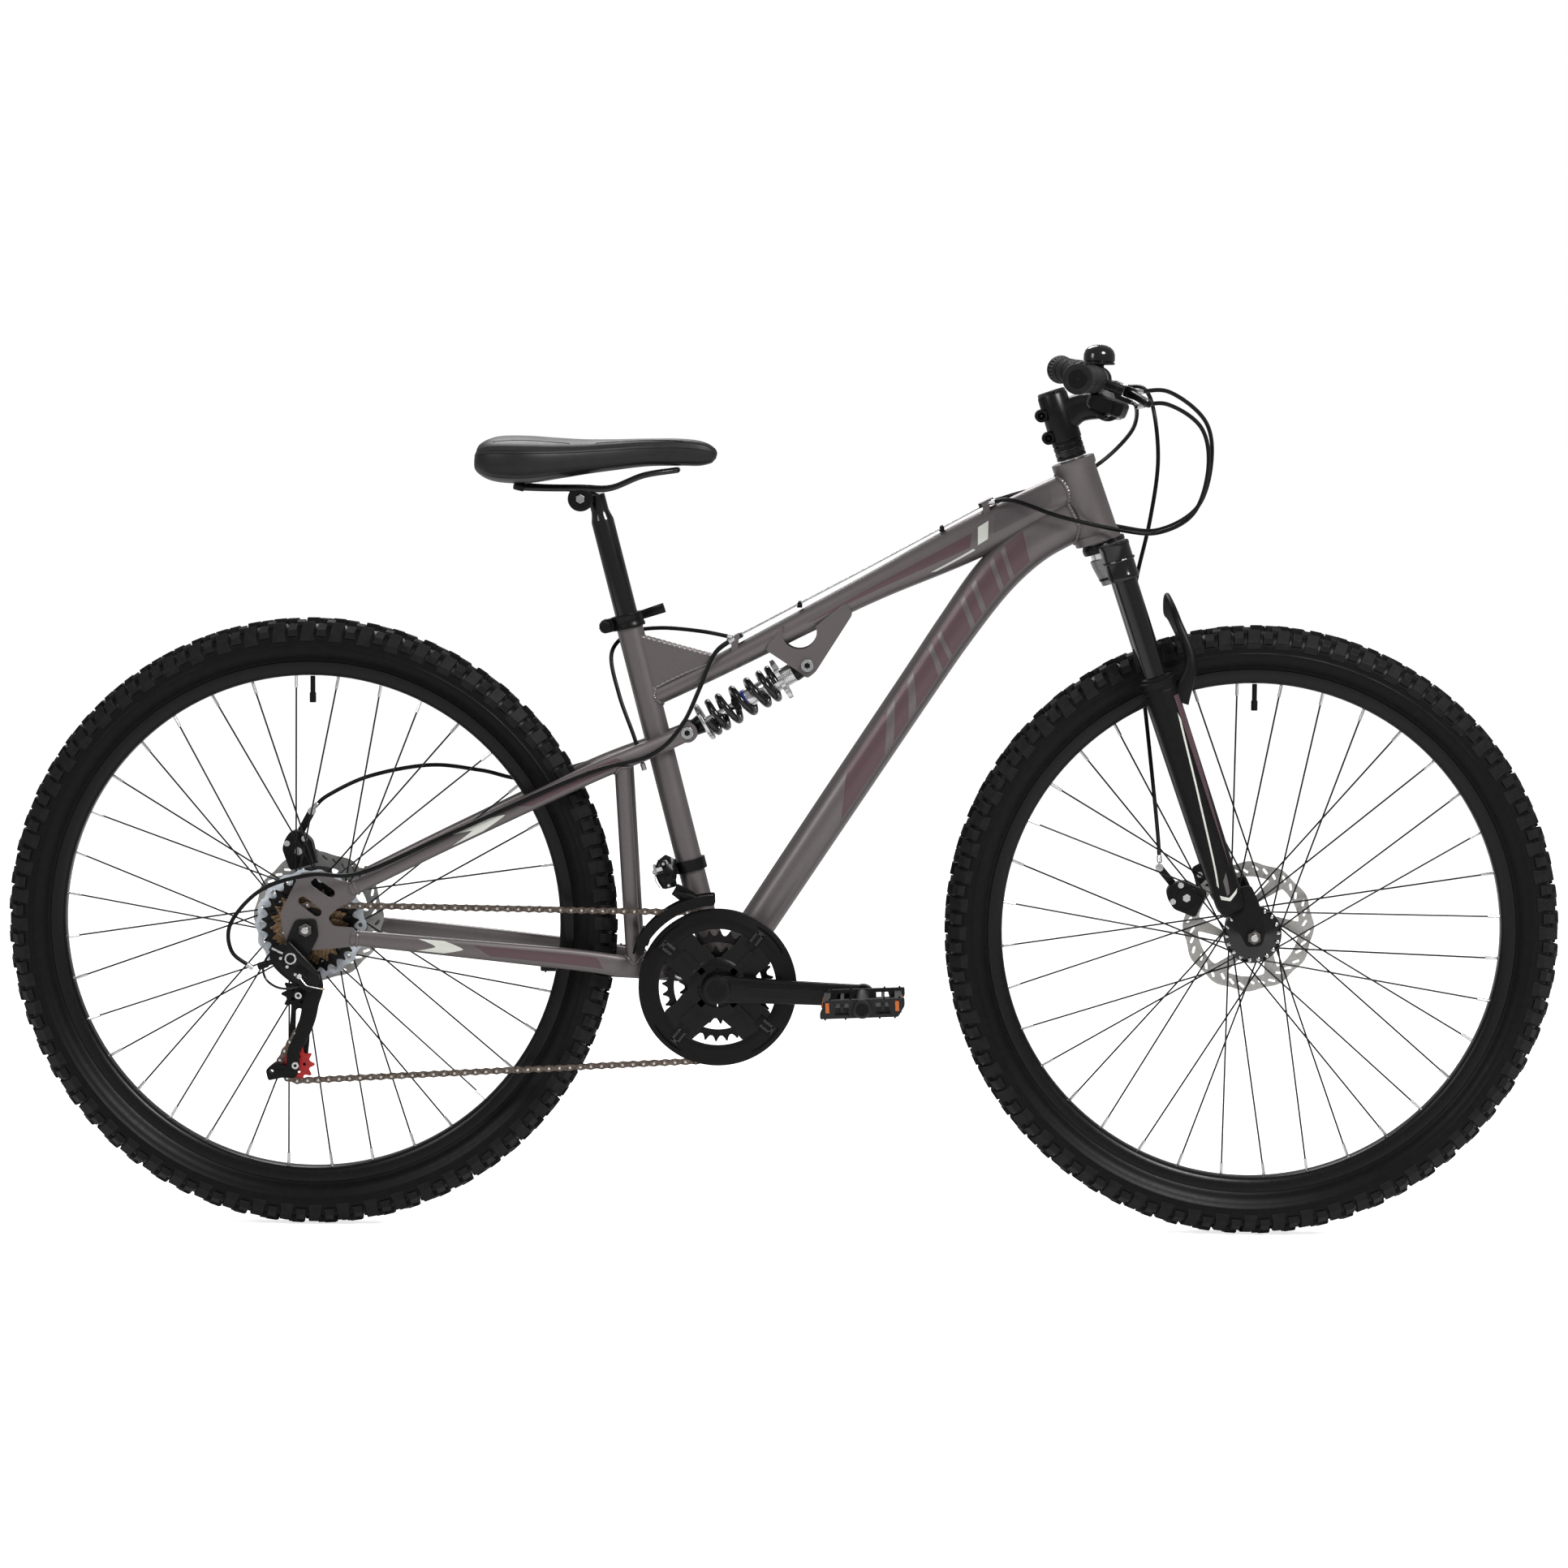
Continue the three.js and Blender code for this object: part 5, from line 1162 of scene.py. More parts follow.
def derailleur_cage():
    piece = Piece("derailleur_cage")
    arm = Tube([((-559, -72.6, 318), 16, 5), ((-557, -73, 300), 20, 5), ((-562, -73, 282), 20, 4.5),
                ((-566, -73, 262), 19, 4), ((-574, -73, 240), 17, 4), ((-583, -73, 222), 15, 4),
                ((-584, -73, 204), 15, 4), ((-586, -73, 192), 12, 4)], across=Y, power=0.55)
    arm.loft(piece, PLASTIC, 40, 16)
    lug = rounded([(-578, 200), (-606, 208), (-617, 199), (-614, 186), (-596, 190), (-582, 189)], 3)
    plate(piece, lug, -74, -58, PLASTIC, [circle(-610, 197, 2.6, 12)])
    gx, gz, tx, tz = GUIDE_PULLEY.x, GUIDE_PULLEY.z, TENSION_PULLEY.x, TENSION_PULLEY.z
    inner = rounded([(gx - 10, gz + 9), (gx + 9, gz + 10), (gx + 13, gz - 4), (tx + 15, tz + 26),
                     (tx + 11, tz - 9), (tx - 9, tz - 10), (tx - 11, tz + 14), (gx - 11, gz - 22)], 5)
    plate(piece, inner, -58.4, -56.8, PLASTIC, [stadium(gx - 1, gz - 22, tx + 2, tz + 24, 4, 6)])
    for centre in (GUIDE_PULLEY, TENSION_PULLEY):
        cross_bar(piece, centre, -75.4, -57, 3.1, STEEL, 16)
        bolt(piece, at_y(centre, -75.2), -Y, 4.4, 1.6, STEEL, 20)
    spring = [at_y(CAGE_PIVOT + radial(9, a), -72.2 - 0.02 * k)
              for k, a in enumerate(TURN * n / 16 for n in range(33))]
    sweep(piece, spring, 0.6, STEEL, 6)
    piece.build("derailleur_cage", "black_anodised", "derailleur_cage", bevel=0.4)


def front_derailleur():
    piece = Piece("front_derailleur")
    band(piece, seat_point(138), SEAT_UP, (0, 14), (16.4, 19.6), SATIN, 48)
    clamp = Tube([(seat_point(160, -20, -14), 16, 14), (seat_point(150, -28, -18), 26, 20),
                  (seat_point(138, -30, -20), 24, 20), (seat_point(126, -31, -22), 14, 14)], power=0.6)
    clamp.loft(piece, SATIN, 18, 20)
    for up, forward in ((158, -26), (150, -34)):
        at = seat_point(up, forward, -28)
        bolt(piece, at, -Y, 2.8, 3, STEEL, 16)
    rod(piece, seat_point(150, -32, -30), seat_point(150, -40, -32), 4.6, STEEL, sides=6, chamfer=0.6)
    rod(piece, seat_point(150, -34, -31), seat_point(150, -44, -33), 2.4, STEEL, sides=12)
    rod(piece, seat_point(146, -41, -33), seat_point(159, -40, -32), 1.7, STEEL, sides=10)
    rod(piece, seat_point(138, -26, -24), seat_point(138, -26, -45.4), 5, SATIN, sides=20)
    for forward in (-22, -33):
        rod(piece, seat_point(162, forward, -22), seat_point(126, forward, -26), 2.6, SATIN, sides=16)
    for up in (130, 157):
        rod(piece, seat_point(up, -29, -18), seat_point(up, -29, -33), 3.6, DARK_STEEL, sides=20)
        rod(piece, seat_point(up, -29, -33), seat_point(up, -29, -34), 2.1, STEEL, sides=6, chamfer=0.2)
    tail = [seat_point(150, -40, -34), seat_point(141, -43, -35), seat_point(130, -40, -35)]
    sweep(piece, smooth_line(tail, 12), 0.6, WIRE, 6)
    piece.build("frame", "black_anodised", "front_derailleur", bevel=0.5)


def front_derailleur_cage():
    """Two cheeks that follow the big ring, joined behind, on a link from the body."""
    piece = Piece("front_derailleur_cage")
    x, z = CRANK.x, CRANK.z
    near, middle, width = 99.5, -60.4, 19.6

    def cheek(low, high, start, end):
        return (arc(x, z, low, start, end, 16)
                + [(x + (low - 3) * math.cos(end + 0.12), z + (low - 3) * math.sin(end + 0.12))]
                + [(x + (high - 6) * math.cos(end + 0.14), z + (high - 6) * math.sin(end + 0.14))]
                + arc(x, z, high, end, start, 16))

    start, end = math.radians(92), math.radians(150)
    plate(piece, rounded(cheek(near, 112, start, end), 3), -70.4, -69.2, PLASTIC)
    plate(piece, rounded(cheek(near, 113.5, start, end - 0.1), 3), -51.6, -50.4, PLASTIC)
    bridge = Tube([((x - 88, middle, z + 72), 4, width), ((x - 97, middle, z + 52), 4, width),
                   ((x - 101, middle, z + 40), 3, width)])
    bridge.loft(piece, PLASTIC, 8, 16)
    top = Tube([((x - 6, middle, z + 110.6), 2.2, width), ((x - 24, middle, z + 108.4), 2.2, width)])
    top.loft(piece, PLASTIC, 6, 16)
    link = Tube([(seat_point(126, -22, -48.4), 15, 3), (seat_point(112, -8, -48.4), 18, 3),
                 (seat_point(102, 3, -48.6), 10, 3)], power=0.6)
    link.loft(piece, PLASTIC, 10, 14)
    wing = Tube([(seat_point(122, -20, -60), 4, 10), (seat_point(113, -6, -62), 9, 6),
                 (seat_point(106, 8, -63), 3, 5)], power=0.7)
    wing.loft(piece, PLASTIC, 14, 16)
    piece.build("front_derailleur_cage", "black_anodised", "front_derailleur_cage", bevel=0.3)


# ---------------------------------------------------------------- frame

TOP_TUBE = Tube([((-158, 0, 646), 24, 26), ((-76, 0, 686), 26, 28), ((48, 0, 751), 31, 30),
                 ((118, 0, 787), 36, 32), ((229, 0, 842), 50, 36), ((345, 0, 902), 44, 37.6)])
DOWN_TUBE = Tube([(CRANK, 43.6, 43.6), ((59.5, 0, 507.7), 45.6, 43.6), ((162.5, 0, 664.5), 46.6, 43.6),
                  ((208, 0, 733), 48.6, 43.6), ((254, 0, 796), 52.6, 43.6), ((299, 0, 838), 53.6, 43.6),
                  ((350, 0, 866), 51.6, 43.6)])
SEAT_TUBE = Tube([(seat_point(up), 2 * SEAT_TUBE_RADIUS, 2 * SEAT_TUBE_RADIUS)
                  for up in (0, 150, 300, SEAT_TUBE_LENGTH)])


def head_tube(piece):
    profile = [(-52, 25), (-51, 27.9), (-42, 27.9), (-40, 26.2), (40, 24.6), (43, 26.4), (51, 26.4),
               (52, 24)]
    lathe(piece, HEAD_CENTRE, HEAD_UP, profile, PAINT, 64)


def shell(piece):
    cross_bar(piece, CRANK, -34, 34, 21, PAINT, 48, 1)


def seat_tube(piece):
    rod(piece, seat_point(0), seat_point(SEAT_TUBE_LENGTH), SEAT_TUBE_RADIUS, PAINT, sides=48, chamfer=0.3)


def frame_solids(piece):
    head_tube(piece)
    shell(piece)
    seat_tube(piece)
    TOP_TUBE.loft(piece, PAINT, 60, 48)
    DOWN_TUBE.loft(piece, PAINT, 72, 48)


def bead(piece, points, radius=2.1, looped=False):
    """A rippled weld bead along an open or closed line."""
    count = len(points) - 1
    sweep(piece, points, rippled(radius, count), WELD, 8, looped)


def shock_bracket(piece):
    """Two notched plates under the top tube, which hold the shock's upper bolt."""
    outline = [(-16, 716), (-20, 706), (20, 680), (30, 672), (40, 680), (84, 750), (76, 764)]
    notch = arc(20, 728, 21, math.radians(20), math.radians(-200), 24)
    shape = rounded(outline, 4) + [(x, z) for x, z in notch if z < 752]
    for side in (RIGHT, LEFT):
        plate(piece, shape, side * 12.4, side * 16.2, PAINT)


def main_frame():
    piece = Piece("main_frame")
    frame_solids(piece)
    seat_solid, head_solid, shell_solid = solid_tree(seat_tube), solid_tree(head_tube), solid_tree(shell)
    weld(piece, TOP_TUBE, 0.0, 0.12, seat_solid, 2.1, 120)
    weld(piece, TOP_TUBE, 1.0, 0.86, head_solid, 2.4, 150)
    weld(piece, DOWN_TUBE, 1.0, 0.86, head_solid, 2.4, 170)
    weld(piece, DOWN_TUBE, 0.0, 0.16, shell_solid, 2.4, 160)
    weld(piece, SEAT_TUBE, 0.0, 0.2, shell_solid, 2.2, 120)
    for end in (-1, 1):
        lathe(piece, CRANK, Y, [(end * 33.4, 16.5), (end * 34, 16.5), (end * 34, 20.4), (end * 33.4, 20.4)],
              SATIN, 40, looped=True)
    gusset = [(-178, 724), (-84, 698), (-78, 690), (-108, 680), (-162, 654)]
    plate(piece, rounded(gusset, 3), -10.6, 10.6, PAINT)
    for side in (RIGHT, LEFT):
        edge = [Vector((x, side * 9.6, z)) for x, z in ((-176, 722), (-130, 709.5), (-84, 697.5))]
        bead(piece, smooth_line(edge, 60), 1.8)
        edge = [Vector((x, side * 10.4, z)) for x, z in ((-166, 652), (-136, 668), (-108, 681), (-80, 691))]
        bead(piece, smooth_line(edge, 60), 1.8)
    web = [(-124, 334), (-104, 344), (-84, 337), (-62, 302), (-78, 288), (-100, 288), (-120, 308)]
    plate(piece, rounded(web, 4), -18.6, 18.6, PAINT)
    cross_bar(piece, SWING_PIVOT, -26, 26, 15, PAINT, 40, 0.8)
    for end in (-1, 1):
        lathe(piece, SWING_PIVOT, Y,
              [(end * 24.5, 15.1), (end * 25.8, 15.1), (end * 25.8, 11), (end * 24.5, 11)], SATIN, 36,
              looped=True)
    shock_bracket(piece)
    frame_decals(piece)
    piece.build("frame", "frame_paint", "main_frame")


def frame_decals(piece):
    """Slanted bars on the down tube, a striped and slashed top tube, and a dark panel by the head."""
    for side in (RIGHT, LEFT):
        start = 0.19
        for width in (0.075, 0.03, 0.06, 0.03, 0.09, 0.03, 0.06, 0.03, 0.075):
            slant = 0.022
            corners = [(start + slant, 0.66), (start + width + slant, 0.66),
                       (start + width - slant, -0.6), (start - slant, -0.6)]
            DOWN_TUBE.patch(piece, corners, MAROON, side, 0.15)
            start += width + 0.017
        TOP_TUBE.patch(piece, [(0.36, -0.12), (0.80, 0.30), (0.785, -0.30), (0.38, -0.22)], MAROON, side,
                       0.15, 12)
        TOP_TUBE.patch(piece, [(0.815, 0.40), (0.838, 0.46), (0.822, -0.30), (0.800, -0.36)], PALE, side,
                       0.2)
        TOP_TUBE.patch(piece, [(0.70, -0.62), (0.79, -0.42), (0.792, -0.52), (0.71, -0.70)], PALE, side,
                       0.2)
        TOP_TUBE.patch(piece, [(0.855, 0.62), (0.965, 0.52), (0.955, -0.18), (0.835, -0.18)], DUSK, side,
                       0.15)
        TOP_TUBE.patch(piece, [(0.14, 0.3), (0.30, 0.34), (0.31, 0.0), (0.15, -0.05)], DUSK, side, 0.15)


# The bare wires' way over the top tube, as (x, z).
BARE_WIRE_RUN = ((243, 883), (111, 810.5), (20, 761.5), (-60, 718.5))


def cable_stops():
    """The stops that end the housings on the top tube, the guide between them and the bare wires."""
    piece = Piece("cable_stops")
    for x, z in ((243, 884.5), (-57.7, 719.5)):
        box(piece, (x - 4, -11, z - 16), (x + 4, 11, z - 1), PAINT)
        for y in (-8, 0, 8):
            rod(piece, Vector((x - 6, y, z - 3.2)), Vector((x + 6, y, z + 2.8)), 3.3, PAINT, sides=18)
            rod(piece, Vector((x - 9, y, z - 4.4)), Vector((x + 9, y, z + 3.8)), 2.8, SATIN, sides=16)
    line = smooth_line([(x, 0, z) for x, z in BARE_WIRE_RUN], 60)
    for y in (-8, 0, 8):
        sweep(piece, [at_y(p, y) for p in line], 0.9, WIRE, 8)
    for x, z in ((190, 854), (20, 761.5)):
        cross_bar(piece, Vector((x, 0, z)), -11, 11, 2.6, PLASTIC, 14)
        box(piece, (x - 3, -5, z - 5), (x + 3, 5, z), PLASTIC)
    return piece


def seat_collar():
    piece = Piece("seat_collar")
    lathe(piece, seat_point(441), SEAT_UP,
          [(0, 16.2), (0, 19.4), (3, 19.8), (5, 18.8), (12, 18.8), (14, 19.8), (17, 19.4), (17, 16.2)],
          SATIN, 56, looped=True)
    for y0, y1 in ((-7.4, -1.2), (1.2, 7.4)):
        ear = [(-14, 441.5), (-14, 457.5), (-31, 457.5), (-35, 453.5), (-35, 445.5), (-31, 441.5)]
        plate(piece, rounded(ear, 2.5), y0, y1, SATIN, place=lambda f, up, y: seat_point(up, f, y))
    piece.build("frame", "black_plastic", "seat_collar", bevel=0.4)


def seat_lever():
    """The quick release: a skewer, a ribbed nut, a cam and a curved handle."""
    piece = Piece("seat_lever")
    up, back = 449.5, -28
    rod(piece, seat_point(up, back, -14), seat_point(up, back, 18), 2.4, STEEL, sides=16)
    for k in range(12):
        a = TURN * k / 12
        centre = seat_point(up + 6.2 * math.cos(a), back + 6.2 * math.sin(a), -14.8)
        rod(piece, centre, centre + Y * 7, 1.1, SATIN, sides=6)
    rod(piece, seat_point(up, back, -15), seat_point(up, back, -7.6), 6.3, SATIN, sides=24)
    rod(piece, seat_point(up, back, 7.6), seat_point(up, back, 21), 7.9, SATIN, sides=32, chamfer=0.8)
    handle = Tube([(seat_point(up, back, 17), 9, 8), (seat_point(450.2, -8, 21.5), 9, 5.6),
                   (seat_point(451.5, 18, 24), 11, 4.6), (seat_point(453.5, 45, 19.6), 12, 4.2)],
                  power=0.75)
    handle.loft(piece, SATIN, 30, 18)
    piece.build("seat_lever", "black_plastic", "seat_lever", bevel=0.3)


def pivot_bolt():
    piece = Piece("pivot_bolt")
    cross_bar(piece, SWING_PIVOT, -39, 39, 6, STEEL, 24)
    for side in (RIGHT, LEFT):
        rod(piece, at_y(SWING_PIVOT, side * 34.8), at_y(SWING_PIVOT, side * 36.4), 13.2, STEEL, sides=36)
        bolt(piece, at_y(SWING_PIVOT, side * 36.4), Y * side, 10.4, 4, SATIN if side < 0 else STEEL, 32,
             0.45)
    piece.build("frame", "silver_steel", "pivot_bolt", bevel=0.4)


# ---------------------------------------------------------------- swingarm


def seatstay_tube(side):
    return Tube([((-514, side * 70.2, 418), 17, 11.8), ((-390, side * 61, 480), 19, 14.6),
                 ((-235, side * 46, 554.4), 22, 15.6), ((-158, side * 29.5, 586.5), 22, 14.6),
                 ((-113.5, side * 20.2, 606), 20, 9.6)], power=0.8)


def chainstay_tube(side):
    return Tube([((-514, side * 70.2, 360), 18, 11.8), ((-390, side * 61, 348), 22, 14.6),
                 ((-250, side * 45.5, 333), 26, 13.6), ((-180, side * 38, 323), 25, 12),
                 ((-150, side * 35, 320), 23, 9.6), ((-118, side * 31, 322), 22, 7.2)], power=0.75)


def strut_tube(side):
    return Tube([((-191, side * 37.5, 566), 18.6, 18.6), ((-183.5, side * 36, 447), 18.6, 18.6),
                 ((-176, side * 34.5, 328), 18.6, 18.6)])


def dropout(piece, side):
    outline = [(-29, 2), (-31, 20), (-7, 68), (22, 70), (36, 60), (66, 54), (58, 36), (38, 26), (26, 14),
               (32, 4), (58, 2), (60, -20), (22, -24), (-8, -26), (-25, -12)]
    x, z = REAR_AXLE.x, REAR_AXLE.z
    holes = [circle(x, z, 5.2, 24), stadium(x + 11, z + 56, x + 29, z + 44, 5.6, 8),
             stadium(x - 4, z + 34, x + 13, z + 21, 5.6, 8)]
    shape = rounded([(x + u, z + v) for u, v in outline], 4, 4)
    plate(piece, shape, side * 67.6, side * 73.4, PAINT, holes)
    for tube in (seatstay_tube(side), chainstay_tube(side)):
        ring = [tube.surface(0.012, TURN * k / 60, -0.4) for k in range(60)]
        sweep(piece, ring, rippled(1.9, 60), WELD, 8, looped=True)


def arm_side(piece, side):
    stay, lower, strut = seatstay_tube(side), chainstay_tube(side), strut_tube(side)
    stay.loft(piece, PAINT, 56, 32)
    lower.loft(piece, PAINT, 56, 32)
    strut.loft(piece, PAINT, 20, 28)
    dropout(piece, side)
    upper_tree = solid_tree(lambda target: stay.loft(target, PAINT, 56, 32))
    lower_tree = solid_tree(lambda target: lower.loft(target, PAINT, 56, 32))
    weld(piece, strut, 0.0, 0.3, upper_tree, 1.9, 90)
    weld(piece, strut, 1.0, 0.7, lower_tree, 1.9, 90)
    cross_bar(piece, SWING_PIVOT, side * 26.8, side * 34.4, 15, PAINT, 40, 0.8)
    cross_bar(piece, SHOCK_LOWER, side * 15.2, side * 24.8, 12, PAINT, 36, 0.8)
    stay.patch(piece, [(0.24, 0.6), (0.30, 0.6), (0.345, -0.02), (0.285, -0.02)], PALE, side, 0.15)
    stay.patch(piece, [(0.285, -0.02), (0.345, -0.02), (0.30, -0.6), (0.24, -0.6)], PALE, side, 0.15)
    stay.patch(piece, [(0.36, 0.44), (0.60, 0.44), (0.63, -0.34), (0.39, -0.34)], MAROON, side, 0.15, 12)
    lower.patch(piece, [(0.13, 0.6), (0.18, 0.6), (0.215, -0.02), (0.165, -0.02)], PALE, side, 0.15)
    lower.patch(piece, [(0.165, -0.02), (0.215, -0.02), (0.18, -0.6), (0.13, -0.6)], PALE, side, 0.15)
    lower.patch(piece, [(0.23, 0.4), (0.46, 0.4), (0.49, -0.34), (0.26, -0.34)], MAROON, side, 0.15, 12)


def swingarm():
    piece = Piece("swingarm")
    for side in (RIGHT, LEFT):
        arm_side(piece, side)
    for at, half in ((Vector((-226, 0, 557)), 47), (Vector((-176, 0, 324)), 41)):
        cross_bar(piece, at, -half, half, 8, PAINT, 32)
        for side in (RIGHT, LEFT):
            ring = [at + Vector((8 * math.cos(a), side * (half - 6), 8 * math.sin(a)))
                    for a in angles(48)]
            sweep(piece, ring, rippled(1.7, 48), WELD, 8, looped=True)
    tab = [(-560, 384), (-548, 398), (-556, 440), (-574, 452), (-590, 440), (-580, 400)]
    plate(piece, rounded(tab, 4), 60.8, 68.4, PAINT)
    piece.build("swingarm", "frame_paint", "swingarm", bevel=0)


# ---------------------------------------------------------------- shock


def shock():
    """The damper body and its preload collar, then the shaft with the lower eye."""
    piece = Piece("shock_body")
    cross_bar(piece, SHOCK_UPPER, -11.4, 11.4, 11.4, SATIN, 40, 0.8)
    for y0, y1 in ((-11.6, -11), (11, 11.6)):
        cross_bar(piece, SHOCK_UPPER, y0, y1, 8.6, STEEL, 28, 0.1)
    rod(piece, shock_point(146), shock_point(158), 12, SATIN, 11, sides=40)
    profile = [(72, 10), (74, 11.6), (88, 11.8), (90, 10.8), (104, 10.8), (106, 11.8), (145, 11.8),
               (146, 11)]
    lathe(piece, SHOCK_LOWER, SHOCK_UP, profile, STEEL, 48)
    for up in (78, 110):
        band(piece, shock_point(up), SHOCK_UP, (0, 3), (11.4, 11.96), BLUE, 48)
    for k in range(14):
        lathe(piece, shock_point(112 + 2.4 * k), SHOCK_UP,
              [(0, 11.4), (0.5, 11.98), (1.1, 11.4)], STEEL, 40, looped=True)
    star = [((25.8 if k % 4 < 2 else 22.6), TURN * k / 48) for k in range(48)]
    u, v = crosswise(SHOCK_UP)
    collar = polar(0, 0, star)
    plate(piece, collar, 126.4, 131.6, STEEL, [circle(0, 0, 12, 32)],
          place=lambda a, b, up: SHOCK_LOWER + u * a + v * b + SHOCK_UP * up)
    piece.build("shock_body", "gloss_black", "shock_body", bevel=0.25)
    shaft = Piece("shock_shaft")
    cross_bar(shaft, SHOCK_LOWER, -12.8, 12.8, 12.3, SATIN, 40, 0.8)
    rod(shaft, shock_point(8), shock_point(20), 10, SATIN, 12, sides=36)
    lathe(shaft, SHOCK_LOWER, SHOCK_UP,
          [(20, 5), (20, 22), (21, 23.8), (24.6, 23.8), (25.6, 22), (26, 12), (26, 5)], STEEL, 56,
          looped=True)
    rod(shaft, shock_point(24), shock_point(86), 4.5, CHROME, sides=28)
    lathe(shaft, SHOCK_LOWER, SHOCK_UP, [(62, 4.6), (64, 9), (70, 9), (71, 4.6)], SEAL, 32, looped=True)
    shaft.build("shock_shaft", "silver_steel", "shock_shaft", bevel=0.25)


COIL_RADIUS = 19
COIL_WIRE_RADIUS = 3.9
# How much closer the turns lie at the ends, as a share of the length.
END_CROWDING = 0.055
POINTS_PER_TURN = 40


def shock_spring():
    """Six turns of wire, closer together at the ends."""
    piece = Piece("shock_spring")
    u, v = crosswise(SHOCK_UP)
    turns, low, high = 6, 29.6, 122.6
    line = []
    for k in range(turns * POINTS_PER_TURN + 1):
        t = k / (turns * POINTS_PER_TURN)
        eased = t - END_CROWDING * math.sin(TURN * t)
        a = turns * TURN * t
        centre = SHOCK_LOWER + SHOCK_UP * (low + (high - low) * eased)
        line.append(centre + u * (COIL_RADIUS * math.cos(a)) + v * (COIL_RADIUS * math.sin(a)))
    sweep(piece, line, COIL_WIRE_RADIUS, GLOSS, 16)
    made = piece.build("shock_body", "black_spring", "shock_spring")
    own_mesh(made)


def shock_bolts():
    piece = Piece("shock_bolt_upper")
    cross_bar(piece, SHOCK_UPPER, -20, 20, 4.2, STEEL, 20)
    for side in (RIGHT, LEFT):
        bolt(piece, at_y(SHOCK_UPPER, side * 16.6), Y * side, 7.6, 5.6, STEEL, 32, 0.5)
    piece.build("frame", "silver_steel", bevel=0.3)
    piece = Piece("shock_bolt_lower")
    cross_bar(piece, SHOCK_LOWER, -26, 26, 4.2, STEEL, 20)
    for side in (RIGHT, LEFT):
        bolt(piece, at_y(SHOCK_LOWER, side * 25.0), Y * side, 7.6, 2.8, STEEL, 32, 0.5)
    piece.build("swingarm", "silver_steel", bevel=0.3)


# ---------------------------------------------------------------- fork

LEG_OFFSET = 3


def ring_bead(piece, centre, axis, radius, count=60, size=1.8, material=None):
    u, v = crosswise(axis)
    line = [centre + (u * math.cos(a) + v * math.sin(a)) * radius for a in angles(count)]
    sweep(piece, line, rippled(size, count, 0.15), material or WELD, 8, looped=True)


def fork_crown():
    """The steerer, the crown race, the bridge, two gloss sleeves with their beads, and the stanchions."""
    piece = Piece("fork_crown")
    rod(piece, steer_point(-72), steer_point(132), 14, STEEL, sides=36)
    lathe(piece, HEAD_CENTRE, HEAD_UP,
          [(-64, 16), (-64, 21), (-61, 22), (-57, 22), (-53.2, 20.5), (-53.2, 16)], SATIN, 48,
          looped=True)
    bridge = Tube([(steer_point(-74, 11, -48), 25, 19), (steer_point(-74, 11, -22), 23, 18),
                   (steer_point(-72.5, 11, 0), 25, 19), (steer_point(-74, 11, 22), 23, 18),
                   (steer_point(-74, 11, 48), 25, 19)], across=HEAD_FORWARD, power=0.7)
    bridge.loft(piece, GLOSS, 30, 32)
    lathe(piece, HEAD_CENTRE, HEAD_UP,
          [(-104, 6), (-104, 11.4), (-101, 12), (-96, 12.4), (-95, 13.4), (-80, 16.4), (-72, 17),
           (-70, 12)], GREY, 40)
    lathe(piece, HEAD_CENTRE, HEAD_UP, [(-98, 12.6), (-98, 13.2), (-94.6, 13.6), (-94.6, 12.6)],
          DARK_STEEL, 40, looped=True)
    for side in (RIGHT, LEFT):
        y = side * LEG_Y
        profile = [(-31.6, 14.4), (-31.6, 17.6), (-30, 18.5), (-26, 18.5), (-25, 18), (8, 18), (9, 18.5),
                   (12.6, 18.5), (14, 17), (14.2, 13), (14.4, 6)]
        lathe(piece, leg_point(0, y), HEAD_UP, profile, GLOSS, 48)
        rod(piece, leg_point(-13.8, y), leg_point(-14.6, y), 6, DARK_STEEL, sides=6, chamfer=0.2)
        ring_bead(piece, leg_point(8, y), HEAD_UP, 18.1, 70, 1.7, GLOSS)
        rod(piece, leg_point(30, y), leg_point(290, y), STANCHION_RADIUS, GLOSS, sides=48)
    piece.build("steering", "gloss_black", "fork_crown", bevel=0.3)


def fork_leg_tube(side):
    y = side * LEG_Y
    low = LEG_OFFSET
    stations = [(leg_point(down, y, 1 + (low - 1) * (down - 166) / 279), size, size)
                for down, size in ((166, 40), (180, 39.6), (300, 38), (400, 36), (434, 35.4), (444.6, 33))]
    return Tube(stations)


